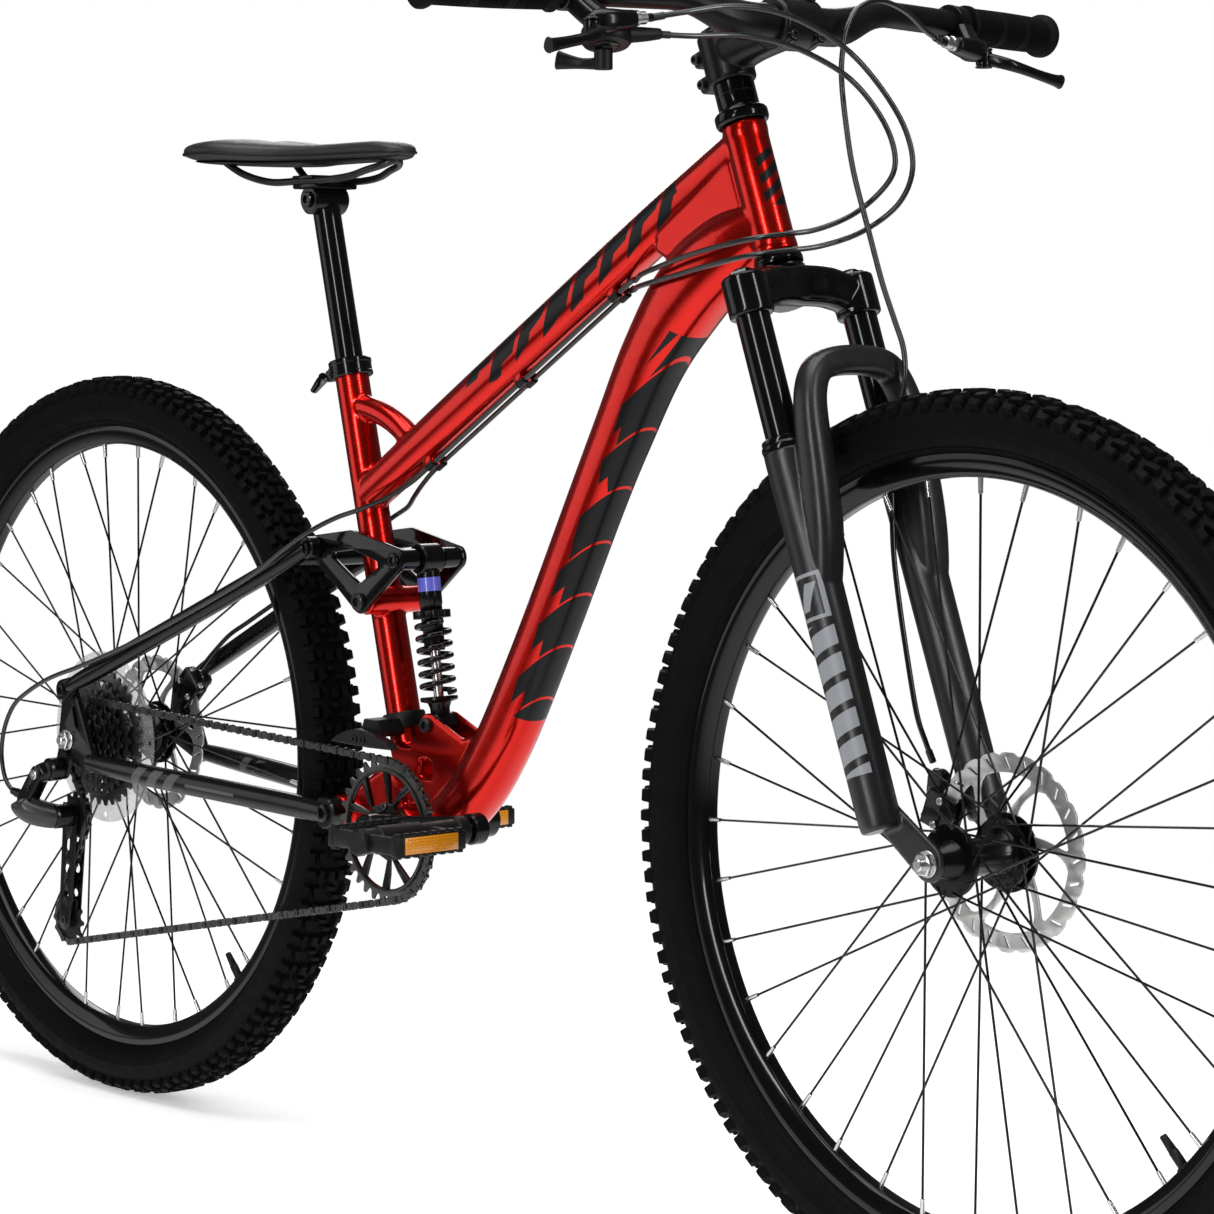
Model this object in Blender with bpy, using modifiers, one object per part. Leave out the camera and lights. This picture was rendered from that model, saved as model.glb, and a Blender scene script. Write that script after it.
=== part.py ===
"""Full-suspension mountain bike, modelled as separate pieces.

Axes: +X points to the front wheel, +Y to the rider's left, +Z up.
The origin is on the floor, halfway between the two axles and in the
middle plane.  The chain side is therefore -Y.  Side-view points are
written as (x, z) with x counted from the rear axle, and at() moves them
to the origin.
"""
import math

import bmesh
import bpy
from mathutils import Matrix, Vector

# ---------------------------------------------------------------- dimensions
WHEELBASE = 1.170
TYRE_RADIUS = 0.3683
TYRE_HALF_WIDTH = 0.0275
WHEEL_STEPS = 36
SPOKES = 36
ROTOR_RADIUS = 0.080

REAR_AXLE = (0.0, TYRE_RADIUS)
FRONT_AXLE = (WHEELBASE, TYRE_RADIUS)
BOTTOM_BRACKET = (0.490, 0.324)
MAIN_PIVOT = (0.390, 0.330)
ROCKER_PIVOT = (0.438, 0.531)
ROCKER_FRONT = (0.490, 0.572)
ROCKER_REAR = (0.374, 0.579)
SHOCK_FOOT = (0.510, 0.4205)
DROPOUT_PIVOT = (0.004, 0.420)
HANGER = (-0.012, 0.338)
GUIDE_WHEEL = (-0.020, 0.288)
TENSION_WHEEL = (-0.032, 0.178)

HEAD_CENTRE = (0.9262, 0.8968)
HEAD_ANGLE = math.radians(70.0)
HEAD_HALF = 0.0575
STANCHION_OFFSET = 0.016
STANCHION_HALF_SPACING = 0.062
STANCHION_RADIUS = 0.0140
BAR_OFFSET = 0.0768
BAR_HEIGHT = -0.1138
BAR_HALF = 0.355

CRANK_LENGTH = 0.170
CRANK_ANGLE = math.radians(7.5)
CHAIN_PLANE = -0.049
CHAIN_PITCH = 0.0127
CHAINRING_TEETH = 32
COG_TEETH = 20
GUIDE_TEETH = 11

GAP = 0.0003

# ---------------------------------------------------------------- scene setup
for old in list(bpy.data.objects):
    bpy.data.objects.remove(old, do_unlink=True)

scene = bpy.context.scene
parts = bpy.data.collections.new("mountain_bike")
cutters = bpy.data.collections.new("cutters")
scene.collection.children.link(parts)
scene.collection.children.link(cutters)


def material(name, colour, roughness, metallic):
    made = bpy.data.materials.new(name)
    made.use_nodes = True
    shader = made.node_tree.nodes["Principled BSDF"]
    shader.inputs["Base Color"].default_value = (*colour, 1.0)
    shader.inputs["Roughness"].default_value = roughness
    shader.inputs["Metallic"].default_value = metallic
    return made


RED = ("candy_red_paint", (0.45, 0.015, 0.010), 0.25, 0.6)
BLACK_GLOSS = ("gloss_black_paint", (0.010, 0.010, 0.011), 0.18, 0.1)
BLACK_MATTE = ("satin_black", (0.018, 0.019, 0.020), 0.45, 0.2)
CHARCOAL = ("charcoal_paint", (0.045, 0.048, 0.052), 0.5, 0.2)
TYRE_BLACK = ("tyre_rubber", (0.012, 0.012, 0.012), 0.75, 0.0)
GRIP_BLACK = ("grip_rubber", (0.015, 0.015, 0.016), 0.7, 0.0)
STEEL = ("brushed_steel", (0.45, 0.45, 0.46), 0.35, 1.0)
DARK_STEEL = ("dark_steel", (0.09, 0.09, 0.09), 0.4, 0.9)
CLEAR = ("pale_plastic", (0.75, 0.76, 0.76), 0.3, 0.0)
PLASTIC = ("black_plastic", (0.02, 0.02, 0.02), 0.5, 0.0)
made_materials = {}


# ---------------------------------------------------------------- positions
def at(x, z, y=0.0):
    """World point from the side view, x counted from the rear axle."""
    return Vector((x - WHEELBASE / 2.0, y, z))


FORK_DOWN = (math.cos(HEAD_ANGLE), -math.sin(HEAD_ANGLE))
FORK_FORWARD = (math.sin(HEAD_ANGLE), math.cos(HEAD_ANGLE))


def on_fork(forward, down, y=0.0):
    """World point from distances ahead of and down the steering axis."""
    x = HEAD_CENTRE[0] + forward * FORK_FORWARD[0] + down * FORK_DOWN[0]
    z = HEAD_CENTRE[1] + forward * FORK_FORWARD[1] + down * FORK_DOWN[1]
    return at(x, z, y)


def axis_matrix(start, end):
    """Matrix that puts local +Z along start to end, centred between them."""
    direction = end - start
    turn = direction.to_track_quat("Z", "Y").to_matrix().to_4x4()
    return Matrix.Translation((start + end) / 2.0) @ turn


# ---------------------------------------------------------------- solids
def put(name, mesh, collection=cutters, matrix=None):
    body = bpy.data.objects.new(name, mesh)
    collection.objects.link(body)
    if matrix is not None:
        body.matrix_world = matrix
    if collection is cutters:
        body.hide_render = True
        body.display_type = "WIRE"
    return body


def from_bmesh(name, shape):
    bmesh.ops.recalc_face_normals(shape, faces=shape.faces)
    mesh = bpy.data.meshes.new(name)
    shape.to_mesh(mesh)
    shape.free()
    return put(name, mesh)


def rod(start, end, radius, end_radius=None, sides=12):
    """Solid cylinder or cone between two points."""
    shape = bmesh.new()
    last = radius if end_radius is None else end_radius
    bmesh.ops.create_cone(
        shape, cap_ends=True, segments=sides, radius1=radius, radius2=last,
        depth=(end - start).length, matrix=axis_matrix(start, end),
    )
    return from_bmesh("rod", shape)


def cross_rod(point, y_start, y_end, radius, sides=12):
    """Cylinder lying across the bike, through a side-view point."""
    return rod(at(*point, y_start), at(*point, y_end), radius, sides=sides)


def block(centre, size, turn=0.0):
    """Box of a size, turned about Y."""
    shape = bmesh.new()
    place = Matrix.Translation(centre) @ Matrix.Rotation(turn, 4, "Y")
    place = place @ Matrix.Diagonal((*size, 1.0))
    bmesh.ops.create_cube(shape, size=1.0, matrix=place)
    return from_bmesh("block", shape)


def mesh_from_curve(name, curve_data, matrix):
    """Turn a curve into a mesh object with its caps welded on."""
    holder = bpy.data.objects.new(name, curve_data)
    cutters.objects.link(holder)
    holder.matrix_world = matrix
    bpy.context.view_layer.update()
    graph = bpy.context.evaluated_depsgraph_get()
    mesh = bpy.data.meshes.new_from_object(holder.evaluated_get(graph))
    bpy.data.objects.remove(holder, do_unlink=True)
    shape = bmesh.new()
    shape.from_mesh(mesh)
    bmesh.ops.remove_doubles(shape, verts=shape.verts, dist=1e-6)
    bmesh.ops.recalc_face_normals(shape, faces=shape.faces)
    shape.to_mesh(mesh)
    shape.free()
    return put(name, mesh, matrix=matrix)


def tube(points, radius, scales=None, resolution=1, flat=1.0):
    """Round bar along a polyline, with an optional thickness at each point."""
    data = bpy.data.curves.new("tube", "CURVE")
    data.dimensions = "3D"
    data.bevel_depth = radius
    data.bevel_resolution = resolution
    data.use_fill_caps = True
    line = data.splines.new("POLY")
    line.points.add(len(points) - 1)
    for index, point in enumerate(points):
        line.points[index].co = (*point, 1.0)
        line.points[index].radius = 1.0 if scales is None else scales[index]
    matrix = Matrix.Diagonal((1.0, flat, 1.0, 1.0))
    body = mesh_from_curve("tube", data, Matrix.Identity(4))
    if flat != 1.0:
        body.data.transform(matrix)
    return body


def plate(outlines, y_start, y_end):
    """Flat plate standing in the side view; later outlines are its holes."""
    data = bpy.data.curves.new("plate", "CURVE")
    data.dimensions = "2D"
    data.fill_mode = "BOTH"
    data.extrude = (y_end - y_start) / 2.0
    for outline in outlines:
        line = data.splines.new("POLY")
        line.points.add(len(outline) - 1)
        line.use_cyclic_u = True
        for index, (x, z) in enumerate(outline):
            line.points[index].co = (x - WHEELBASE / 2.0, z, 0.0, 1.0)
    stand = Matrix.Translation((0.0, (y_start + y_end) / 2.0, 0.0))
    stand = stand @ Matrix.Rotation(math.pi / 2.0, 4, "X")
    return mesh_from_curve("plate", data, stand)


def turned(profile, matrix, steps=24):
    """Turned shape from (radius, height) points, run down its outer side.

    A profile that starts and ends on the axis is solid, any other is a ring.
    """
    area = 0.0
    for (r1, h1), (r2, h2) in zip(profile, profile[1:] + profile[:1]):
        area += r1 * h2 - r2 * h1
    if area > 0.0:
        profile = profile[::-1]
    shape = bmesh.new()
    corners = [shape.verts.new((radius, 0.0, height)) for radius, height in profile]
    for first, second in zip(corners, corners[1:]):
        shape.edges.new((first, second))
    if profile[0][0] > 0.0:
        shape.edges.new((corners[-1], corners[0]))
    mesh = bpy.data.meshes.new("turned")
    shape.to_mesh(mesh)
    shape.free()
    body = put("turned", mesh, matrix=matrix)
    screw = body.modifiers.new("Screw", "SCREW")
    screw.axis = "Z"
    screw.steps = steps
    screw.render_steps = steps
    screw.use_merge_vertices = True
    screw.merge_threshold = 1e-4
    return body


def across(point, turn=0.0):
    """Matrix with local Z along +Y at a side-view point."""
    stand = Matrix.Rotation(-math.pi / 2.0, 4, "X")
    return Matrix.Translation(at(*point)) @ stand @ Matrix.Rotation(turn, 4, "Z")


def circle(centre, radius, count, start=0.0):
    """Points around a circle in the side view."""
    step = 2.0 * math.pi / count
    return [
        (centre[0] + radius * math.cos(start + k * step),
         centre[1] + radius * math.sin(start + k * step))
        for k in range(count)
    ]


def hull(discs, count=12):
    """Convex outline around several discs given as (centre, radius)."""
    cloud = []
    for centre, radius in discs:
        cloud += circle(centre, radius, count)
    cloud = sorted(set(cloud))

    def half(points):
        chain = []
        for point in points:
            while len(chain) > 1:
                (ax, az), (bx, bz) = chain[-2], chain[-1]
                turn = (bx - ax) * (point[1] - az) - (bz - az) * (point[0] - ax)
                if turn > 0.0:
                    break
                chain.pop()
            chain.append(point)
        return chain

    lower = half(cloud)
    upper = half(reversed(cloud))
    return lower[:-1] + upper[:-1]


def combine(base, other, operation):
    step = base.modifiers.new(operation.title(), "BOOLEAN")
    step.operation = operation
    step.solver = "EXACT"
    step.object = other


def piece(name, look, base, joined=(), cut=()):
    """Name a solid as a part, join and cut it, and give it its material."""
    base.name = name
    base.data.name = name
    cutters.objects.unlink(base)
    parts.objects.link(base)
    base.hide_render = False
    base.display_type = "TEXTURED"
    for other in joined:
        combine(base, other, "UNION")
    for other in cut:
        combine(base, other, "DIFFERENCE")
    if look[0] not in made_materials:
        made_materials[look[0]] = material(*look)
    base.data.materials.clear()
    base.data.materials.append(made_materials[look[0]])
    base.data.shade_smooth()
    base.data.set_sharp_from_angle(angle=math.radians(35.0))
    return base


def group(name, solids):
    """Several separate solids as one cutter object."""
    shape = bmesh.new()
    for solid in solids:
        copy = solid.data.copy()
        copy.transform(solid.matrix_world)
        shape.from_mesh(copy)
        bpy.data.meshes.remove(copy)
        bpy.data.objects.remove(solid, do_unlink=True)
    return from_bmesh(name, shape)


# ---------------------------------------------------------------- main frame
def seat_tube(z):
    """Side-view point on the seat tube's centre line at a height."""
    return (0.380 + (0.7369 - z) * 0.2405, z)


SEAT_TUBE_RADIUS = 0.0159
TOP_TUBE_SLOPE = 0.607
CABLE_DROP = 0.0240
CABLE_LANE = 0.0055
CABLE_RADIUS = 0.0023
SEAT_TUBE_TOP = 0.750
HEAD_TUBE_RADIUS = 0.0182
STEERER_RADIUS = 0.0142

down_tube_line = [
    (0.9330, 0.8700), (0.8930, 0.8480), (0.8450, 0.8130), (0.7990, 0.7600),
    (0.7601, 0.6960), (0.7248, 0.6343), (0.6661, 0.5258), (0.6230, 0.4500),
    (0.5960, 0.4070), (0.5660, 0.3680), (0.5330, 0.3400), (0.4950, 0.3260),
]
down_tube_radii = [
    0.021, 0.030, 0.033, 0.029, 0.0265, 0.0255, 0.0255, 0.026, 0.026, 0.0255,
    0.024, 0.020,
]
down_tube = tube(
    [at(*point) for point in down_tube_line], 0.0255,
    [radius / 0.0255 for radius in down_tube_radii], resolution=3, flat=0.86,
)


def top_tube_point(x, drop=0.0):
    """Point on the top tube's centre line, or square below it by a drop."""
    slope = math.atan(TOP_TUBE_SLOPE)
    z = 0.782 + TOP_TUBE_SLOPE * (x - 0.66)
    return (x + drop * math.sin(slope), z - drop * math.cos(slope))


top_tube = tube(
    [at(*top_tube_point(x)) for x in (0.405, 0.52, 0.66, 0.80, 0.905)],
    0.0190, [0.92, 1.0, 1.03, 1.06, 0.95], resolution=3, flat=0.92,
)
head_tube = rod(on_fork(0.0, -HEAD_HALF), on_fork(0.0, HEAD_HALF), HEAD_TUBE_RADIUS)
seat_tube_body = rod(
    at(*seat_tube(0.330)), at(*seat_tube(SEAT_TUBE_TOP)), SEAT_TUBE_RADIUS,
)
brace = tube(
    [at(*point) for point in
     [seat_tube(0.712), (0.422, 0.7056), (0.452, 0.6930), (0.480, 0.672)]], 0.0113,
)
throat = plate(
    [[(0.905, 0.925), (0.820, 0.875), (0.812, 0.848), (0.850, 0.830), (0.930, 0.860)]],
    -0.014, 0.014,
)
shell = cross_rod(BOTTOM_BRACKET, -0.0365, 0.0365, 0.0205)
pivot_tube = cross_rod(MAIN_PIVOT, -0.0300, 0.0300, 0.0155)
pivot_web = plate(
    [[(0.386, 0.3440), (0.452, 0.380), (0.480, 0.360), (0.480, 0.315), (0.390, 0.3155)]],
    -0.020, 0.020,
)
shock_bracket = plate(
    [[(0.470, 0.345), (0.455, 0.405), (0.490, 0.405), (0.498, 0.431), (0.522, 0.431),
      (0.532, 0.411), (0.580, 0.424), (0.600, 0.400), (0.540, 0.345)]],
    -0.0170, 0.0170,
)
rocker_tube = cross_rod(ROCKER_PIVOT, -0.0328, 0.0328, 0.0125)
GUIDES_AT = (0.7416, 0.6183, 0.4913)
guides = [
    block(at(*top_tube_point(x, 0.0215)), (0.013, 0.020, 0.016), -math.atan(TOP_TUBE_SLOPE))
    for x in GUIDES_AT
]
FOOT_SLOT = block(at(0.515, 0.419), (0.060, 0.0250, 0.042))
FOOT_PIN = cross_rod(SHOCK_FOOT, -0.0150, 0.0150, 0.0045)

frame_cuts = [
    rod(on_fork(0.0, -HEAD_HALF - 0.01), on_fork(0.0, HEAD_HALF + 0.01), 0.0152),
    rod(at(*seat_tube(0.585)), at(*seat_tube(SEAT_TUBE_TOP + 0.01)), 0.0136),
    cross_rod(BOTTOM_BRACKET, -0.05, 0.05, 0.0174),
    cross_rod(MAIN_PIVOT, -0.05, 0.05, 0.0064),
    cross_rod(ROCKER_PIVOT, -0.05, 0.05, 0.0056),
    plate([[(0.4985, 0.372), (0.5000, 0.392), (0.5150, 0.385), (0.5150, 0.373)]], -0.03, 0.03),
    FOOT_SLOT,
]
cable_holes = []
for x in GUIDES_AT:
    for side in (-CABLE_LANE, CABLE_LANE):
        ends = [at(*top_tube_point(x + shift, CABLE_DROP), side) for shift in (-0.010, 0.010)]
        cable_holes.append(rod(*ends, 0.0034, sides=6))
frame_cuts.append(group("cable_holes", cable_holes))
main_frame = piece(
    "main_frame", RED, down_tube,
    [top_tube, head_tube, seat_tube_body, brace, throat, shell, pivot_tube, pivot_web,
     shock_bracket, rocker_tube, *guides],
    frame_cuts,
)
combine(main_frame, FOOT_PIN, "UNION")

# headset, seat clamp, bottom bracket cartridge, chain guide
def fork_axis(down):
    """Matrix with local Z down the steering axis, at a distance down it."""
    return axis_matrix(on_fork(0.0, down - 0.01), on_fork(0.0, down + 0.01))


STEER_BORE = STEERER_RADIUS + 0.0008
piece("headset_upper", BLACK_GLOSS, turned(
    [(0.0226, -HEAD_HALF - GAP),
     (STEER_BORE, -HEAD_HALF - GAP), (STEER_BORE, -0.0935), (0.0172, -0.0935),
     (0.0172, -0.0700), (0.0226, -0.0690)], fork_axis(0.0), 16))
piece("headset_lower", BLACK_GLOSS, turned(
    [(0.0206, 0.0675), (STEER_BORE, 0.0675), (STEER_BORE, HEAD_HALF + GAP),
     (0.0195, HEAD_HALF + GAP), (0.0206, 0.0615)], fork_axis(0.0), 16))

collar_low = at(*seat_tube(0.7380))
collar_high = at(*seat_tube(0.7540))
collar_mid = (collar_low + collar_high) / 2.0
seat_axis = (collar_high - collar_low).normalized()
back = Vector((-seat_axis.z, 0.0, seat_axis.x))
clamp_lug = rod(
    collar_mid + back * 0.019 + Vector((0.0, -0.0094, 0.0)),
    collar_mid + back * 0.019 + Vector((0.0, 0.0094, 0.0)), 0.0062)
piece("seat_clamp", BLACK_GLOSS, rod(collar_low, collar_high, 0.0203), [clamp_lug], [
    rod(collar_low - seat_axis * 0.01, collar_high + seat_axis * 0.01,
        SEAT_TUBE_RADIUS + GAP)])
LEVER_PIVOT = collar_mid + back * 0.0305
lever_end = LEVER_PIVOT + back * 0.038 + Vector((0.0, 0.006, 0.0)) - seat_axis * 0.006
piece("seat_clamp_lever", BLACK_GLOSS, tube(
    [LEVER_PIVOT + Vector((0.0, -0.011, 0.0)),
     LEVER_PIVOT + Vector((0.0, -0.004, 0.0)) + back * 0.004,
     LEVER_PIVOT + Vector((0.0, 0.002, 0.0)) + back * 0.018, lever_end],
    0.0046, [0.9, 1.0, 1.1, 0.8]))

piece("bb_cartridge", DARK_STEEL, turned(
    [(0.0190, 0.0400), (0.0190, 0.0368), (0.0164, 0.0368), (0.0164, -0.0368),
     (0.0190, -0.0368), (0.0190, -0.0400), (0.0092, -0.0400), (0.0092, 0.0400)],
    across(BOTTOM_BRACKET), 16))

guide_band = rod(at(*seat_tube(0.4115)), at(*seat_tube(0.4265)), 0.0200)
keeper = plate(
    [[(0.414, 0.4010), (0.424, 0.4075), (0.450, 0.4150), (0.474, 0.4120), (0.494, 0.4060),
      (0.502, 0.3995), (0.470, 0.3990), (0.440, 0.3998)]], -0.0560, -0.0420)
keeper_arm = plate(
    [[(0.444, 0.4120), (0.449, 0.4235), (0.469, 0.4235), (0.474, 0.4120), (0.469, 0.4075),
      (0.448, 0.4075)]], -0.0430, -0.0150)
piece("chain_guide", CHARCOAL, keeper, [keeper_arm, guide_band], [
    rod(at(*seat_tube(0.40)), at(*seat_tube(0.44)), SEAT_TUBE_RADIUS + GAP)])

piece("rocker_axle", STEEL, turned(
    [(0.0, 0.0430), (0.0080, 0.0420), (0.0080, 0.0390), (0.0050, 0.0390), (0.0050, -0.0390),
     (0.0080, -0.0390), (0.0080, -0.0420), (0.0, -0.0430)], across(ROCKER_PIVOT), 12))

# ---------------------------------------------------------------- seat
POST_TOP = 0.905
seatpost_low = at(*seat_tube(0.600))
seatpost_high = at(*seat_tube(POST_TOP))
clamp_head = cross_rod(seat_tube(POST_TOP), -0.020, 0.020, 0.0140)
piece("seatpost", BLACK_GLOSS, rod(seatpost_low, seatpost_high, 0.0130), [clamp_head])
RAIL_Z = 0.9225
rail_points = []
for side in (-1.0, 1.0):
    run = [(0.245, 0.938, 0.040), (0.290, RAIL_Z, 0.026), (0.370, RAIL_Z, 0.022),
           (0.420, 0.930, 0.014), (0.438, 0.934, 0.010)]
    row = [at(x, z, side * y) for x, z, y in run]
    rail_points += row if side < 0.0 else row[::-1]
piece("saddle_rails", DARK_STEEL, tube(rail_points, 0.0035))


def saddle_section(x, half_width, top, bottom):
    """One ring of the saddle pad, from the left edge over the top and back."""
    middle = (top + bottom) / 2.0
    ring = [(-1.0, 0.10), (-0.86, 0.75), (-0.50, 1.0), (0.50, 1.0), (0.86, 0.75),
            (1.0, 0.10), (0.80, -1.0), (-0.80, -1.0)]
    return [at(x, middle + up * (top - middle), side * half_width) for side, up in ring]


def lofted(rings):
    """Closed solid through a row of equal-sized rings."""
    shape = bmesh.new()
    rows = [[shape.verts.new(point) for point in ring] for ring in rings]
    count = len(rows[0])
    for row, following in zip(rows, rows[1:]):
        for k in range(count):
            turn = (k + 1) % count
            shape.faces.new((row[k], row[turn], following[turn], following[k]))
    shape.faces.new(rows[0])
    shape.faces.new(rows[-1])
    return from_bmesh("lofted", shape)


saddle_rings = [
    saddle_section(0.196, 0.050, 0.956, 0.9440), saddle_section(0.215, 0.074, 0.963, 0.9440),
    saddle_section(0.255, 0.076, 0.964, 0.9440), saddle_section(0.300, 0.052, 0.959, 0.9400),
    saddle_section(0.350, 0.030, 0.956, 0.9400), saddle_section(0.430, 0.021, 0.957, 0.9400),
    saddle_section(0.462, 0.014, 0.952, 0.9410),
]
piece("saddle", BLACK_MATTE, lofted(saddle_rings))

# ---------------------------------------------------------------- crankset
def crank_end(sign):
    return (BOTTOM_BRACKET[0] + sign * CRANK_LENGTH * math.cos(CRANK_ANGLE),
            BOTTOM_BRACKET[1] + sign * CRANK_LENGTH * math.sin(CRANK_ANGLE))


ARM_THICKNESS_SHARE = 0.5
EYE_INNER = 0.0778
EYE_OUTER = 0.0922


def crank_arm(sign, side):
    """Eyes at the spindle and at the pedal, and the arm that flares outwards between them."""
    near = at(*BOTTOM_BRACKET, side * 0.0674 / ARM_THICKNESS_SHARE)
    far = at(*crank_end(sign), side * 0.0850 / ARM_THICKNESS_SHARE)
    arm = tube([near, near.lerp(far, 0.5), far], 0.0150, [1.0, 0.86, 0.80], 2, ARM_THICKNESS_SHARE)
    spindle_eye = cross_rod(BOTTOM_BRACKET, side * 0.0598, side * 0.0752, 0.0170)
    pedal_eye = cross_rod(crank_end(sign), side * EYE_INNER, side * EYE_OUTER, 0.0136)
    return arm, spindle_eye, pedal_eye


def pedal_axle(sign, side):
    return cross_rod(crank_end(sign), side * 0.085, side * 0.2125, 0.0052)


CHAINRING_BORE = 0.0095
right_arm, *right_eyes = crank_arm(1.0, -1.0)
left_arm, *left_eyes = crank_arm(-1.0, 1.0)
piece("crank_right", BLACK_MATTE, right_arm, [*right_eyes, pedal_axle(1.0, -1.0)])
piece("crank_left", BLACK_MATTE, left_arm, [
    *left_eyes, pedal_axle(-1.0, 1.0), cross_rod(BOTTOM_BRACKET, -0.0595, 0.0650, 0.0085)])


def pitch_radius(teeth):
    return CHAIN_PITCH / 2.0 / math.sin(math.pi / teeth)


def sprocket_outline(centre, teeth, tip, root):
    """Toothed edge, one root and one tip point for each tooth."""
    outline = []
    for k in range(teeth):
        base_angle = 2.0 * math.pi * k / teeth
        for share, radius in ((0.0, root), (0.5, tip)):
            angle = base_angle + share * 2.0 * math.pi / teeth
            outline.append((centre[0] + radius * math.cos(angle),
                            centre[1] + radius * math.sin(angle)))
    return outline


RING_PITCH = pitch_radius(CHAINRING_TEETH)
windows = []
for k in range(5):
    window = []
    for radius, start, end in ((0.0525, 0.10, 0.90), (0.0220, 0.80, 0.20)):
        for share in (start, (start + end) / 2.0, end):
            angle = 2.0 * math.pi * (k + share) / 5.0 + 0.3
            window.append((BOTTOM_BRACKET[0] + radius * math.cos(angle),
                           BOTTOM_BRACKET[1] + radius * math.sin(angle)))
    windows.append(window)
ring_plate = plate(
    [sprocket_outline(BOTTOM_BRACKET, CHAINRING_TEETH, RING_PITCH + 0.0008,
                      RING_PITCH - 0.0042), *windows],
    CHAIN_PLANE - 0.0012, CHAIN_PLANE + 0.0012)
ring_boss = cross_rod(BOTTOM_BRACKET, -0.0590, -0.0408, 0.0160)
piece("chainring", DARK_STEEL, ring_plate, [ring_boss], [
    cross_rod(BOTTOM_BRACKET, -0.07, -0.03, CHAINRING_BORE)])


def pedal(name, sign, side):
    """Platform pedal: a frame with two openings around a sleeve on the axle."""
    x, z = crank_end(sign)
    middle = at(x, z, side * 0.1720)
    frame = block(middle, (0.094, 0.078, 0.022))
    sleeve = cross_rod((x, z), side * 0.0960, side * 0.2165, 0.0115)
    holes = [
        block(middle + Vector((shift, 0.0, 0.0)), (0.024, 0.056, 0.040))
        for shift in (-0.026, 0.026)
    ]
    bore = cross_rod((x, z), side * 0.0930, side * 0.2130, 0.0056)
    piece(name, PLASTIC, frame, [sleeve], [group(name + "_holes", holes), bore])


pedal("pedal_right", 1.0, -1.0)
pedal("pedal_left", -1.0, 1.0)

# ---------------------------------------------------------------- swingarm
stay_parts = []
for side in (-1.0, 1.0):
    run = [(0.388, 0.3300, 0.0412), (0.3500, 0.3320, 0.0425), (0.270, 0.3365, 0.0515),
           (0.120, 0.3440, 0.0660), (0.036, 0.3490, 0.0690)]
    stay_parts.append(tube([at(x, z, side * y) for x, z, y in run], 0.0108,
                           [0.85, 1.0, 1.0, 0.95, 0.75]))
    start, end = sorted((side * 0.0308, side * 0.0450))
    stay_parts.append(cross_rod(MAIN_PIVOT, start, end, 0.0150))
    start, end = sorted((side * 0.0665, side * 0.0715))
    discs = [(REAR_AXLE, 0.0160), ((0.036, 0.349), 0.0110), (DROPOUT_PIVOT, 0.0105)]
    stay_parts.append(plate([hull(discs, 8)], start, end))
stay_parts.append(plate([hull([(REAR_AXLE, 0.0120), (HANGER, 0.0110)], 8)], -0.0715, -0.0665))
stay_parts.append(cross_rod(MAIN_PIVOT, -0.0350, 0.0350, 0.0058))
stay_cuts = [cross_rod(REAR_AXLE, -0.08, 0.08, 0.0056),
             cross_rod(DROPOUT_PIVOT, -0.08, 0.08, 0.0046)]
piece("chainstays", BLACK_MATTE, stay_parts[0], stay_parts[1:], stay_cuts)

piece("rear_axle", STEEL, turned(
    [(0.0, 0.0800), (0.0100, 0.0785), (0.0100, 0.0718), (0.0050, 0.0718), (0.0050, 0.0662),
     (0.0090, 0.0662), (0.0090, 0.0630), (0.0050, 0.0630), (0.0050, -0.0630), (0.0090, -0.0630),
     (0.0090, -0.0662), (0.0050, -0.0662), (0.0050, -0.0718), (0.0100, -0.0718),
     (0.0100, -0.0785), (0.0, -0.0800)], across(REAR_AXLE), 8))

# derailleur
knuckle = cross_rod(HANGER, -0.0880, -0.0718, 0.0110)
link_run = [(-0.012, 0.338, -0.0800), (-0.036, 0.326, -0.0840), (-0.048, 0.308, -0.0830),
            (-0.038, 0.293, -0.0770), (-0.020, 0.288, -0.0680)]
link = tube([at(x, z, y) for x, z, y in link_run], 0.0085, [1.0, 1.0, 1.05, 1.1, 1.0])
low_knuckle = cross_rod(GUIDE_WHEEL, -0.0750, -0.0570, 0.0115)
piece("derailleur_body", BLACK_MATTE, knuckle, [link, low_knuckle])
cage_outline = hull([(GUIDE_WHEEL, 0.0120), (TENSION_WHEEL, 0.0100)])
cage_outer = plate([cage_outline], CHAIN_PLANE - 0.0072, CHAIN_PLANE - 0.0055)
cage_inner = plate([cage_outline], CHAIN_PLANE + 0.0045, CHAIN_PLANE + 0.0060)
cage_pins = [cross_rod(GUIDE_WHEEL, CHAIN_PLANE - 0.006, CHAIN_PLANE + 0.005, 0.0025, sides=8),
             cross_rod(TENSION_WHEEL, CHAIN_PLANE - 0.006, CHAIN_PLANE + 0.005, 0.0025, sides=8)]
piece("derailleur_cage", BLACK_MATTE, cage_outer, [*cage_pins, cage_inner])


def jockey(name, centre, radius):
    piece(name, PLASTIC, turned(
        [(0.0075, 0.0036), (0.0075, 0.0011), (radius, 0.0011), (radius, -0.0011),
         (0.0075, -0.0011), (0.0075, -0.0036), (0.0029, -0.0036), (0.0029, 0.0036)],
        Matrix.Translation((0.0, CHAIN_PLANE, 0.0)) @ across(centre), 12))


JOCKEY_PITCH = pitch_radius(GUIDE_TEETH)
jockey("jockey_upper", GUIDE_WHEEL, JOCKEY_PITCH - 0.0050)
jockey("jockey_lower", TENSION_WHEEL, JOCKEY_PITCH + 0.0018)


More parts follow.
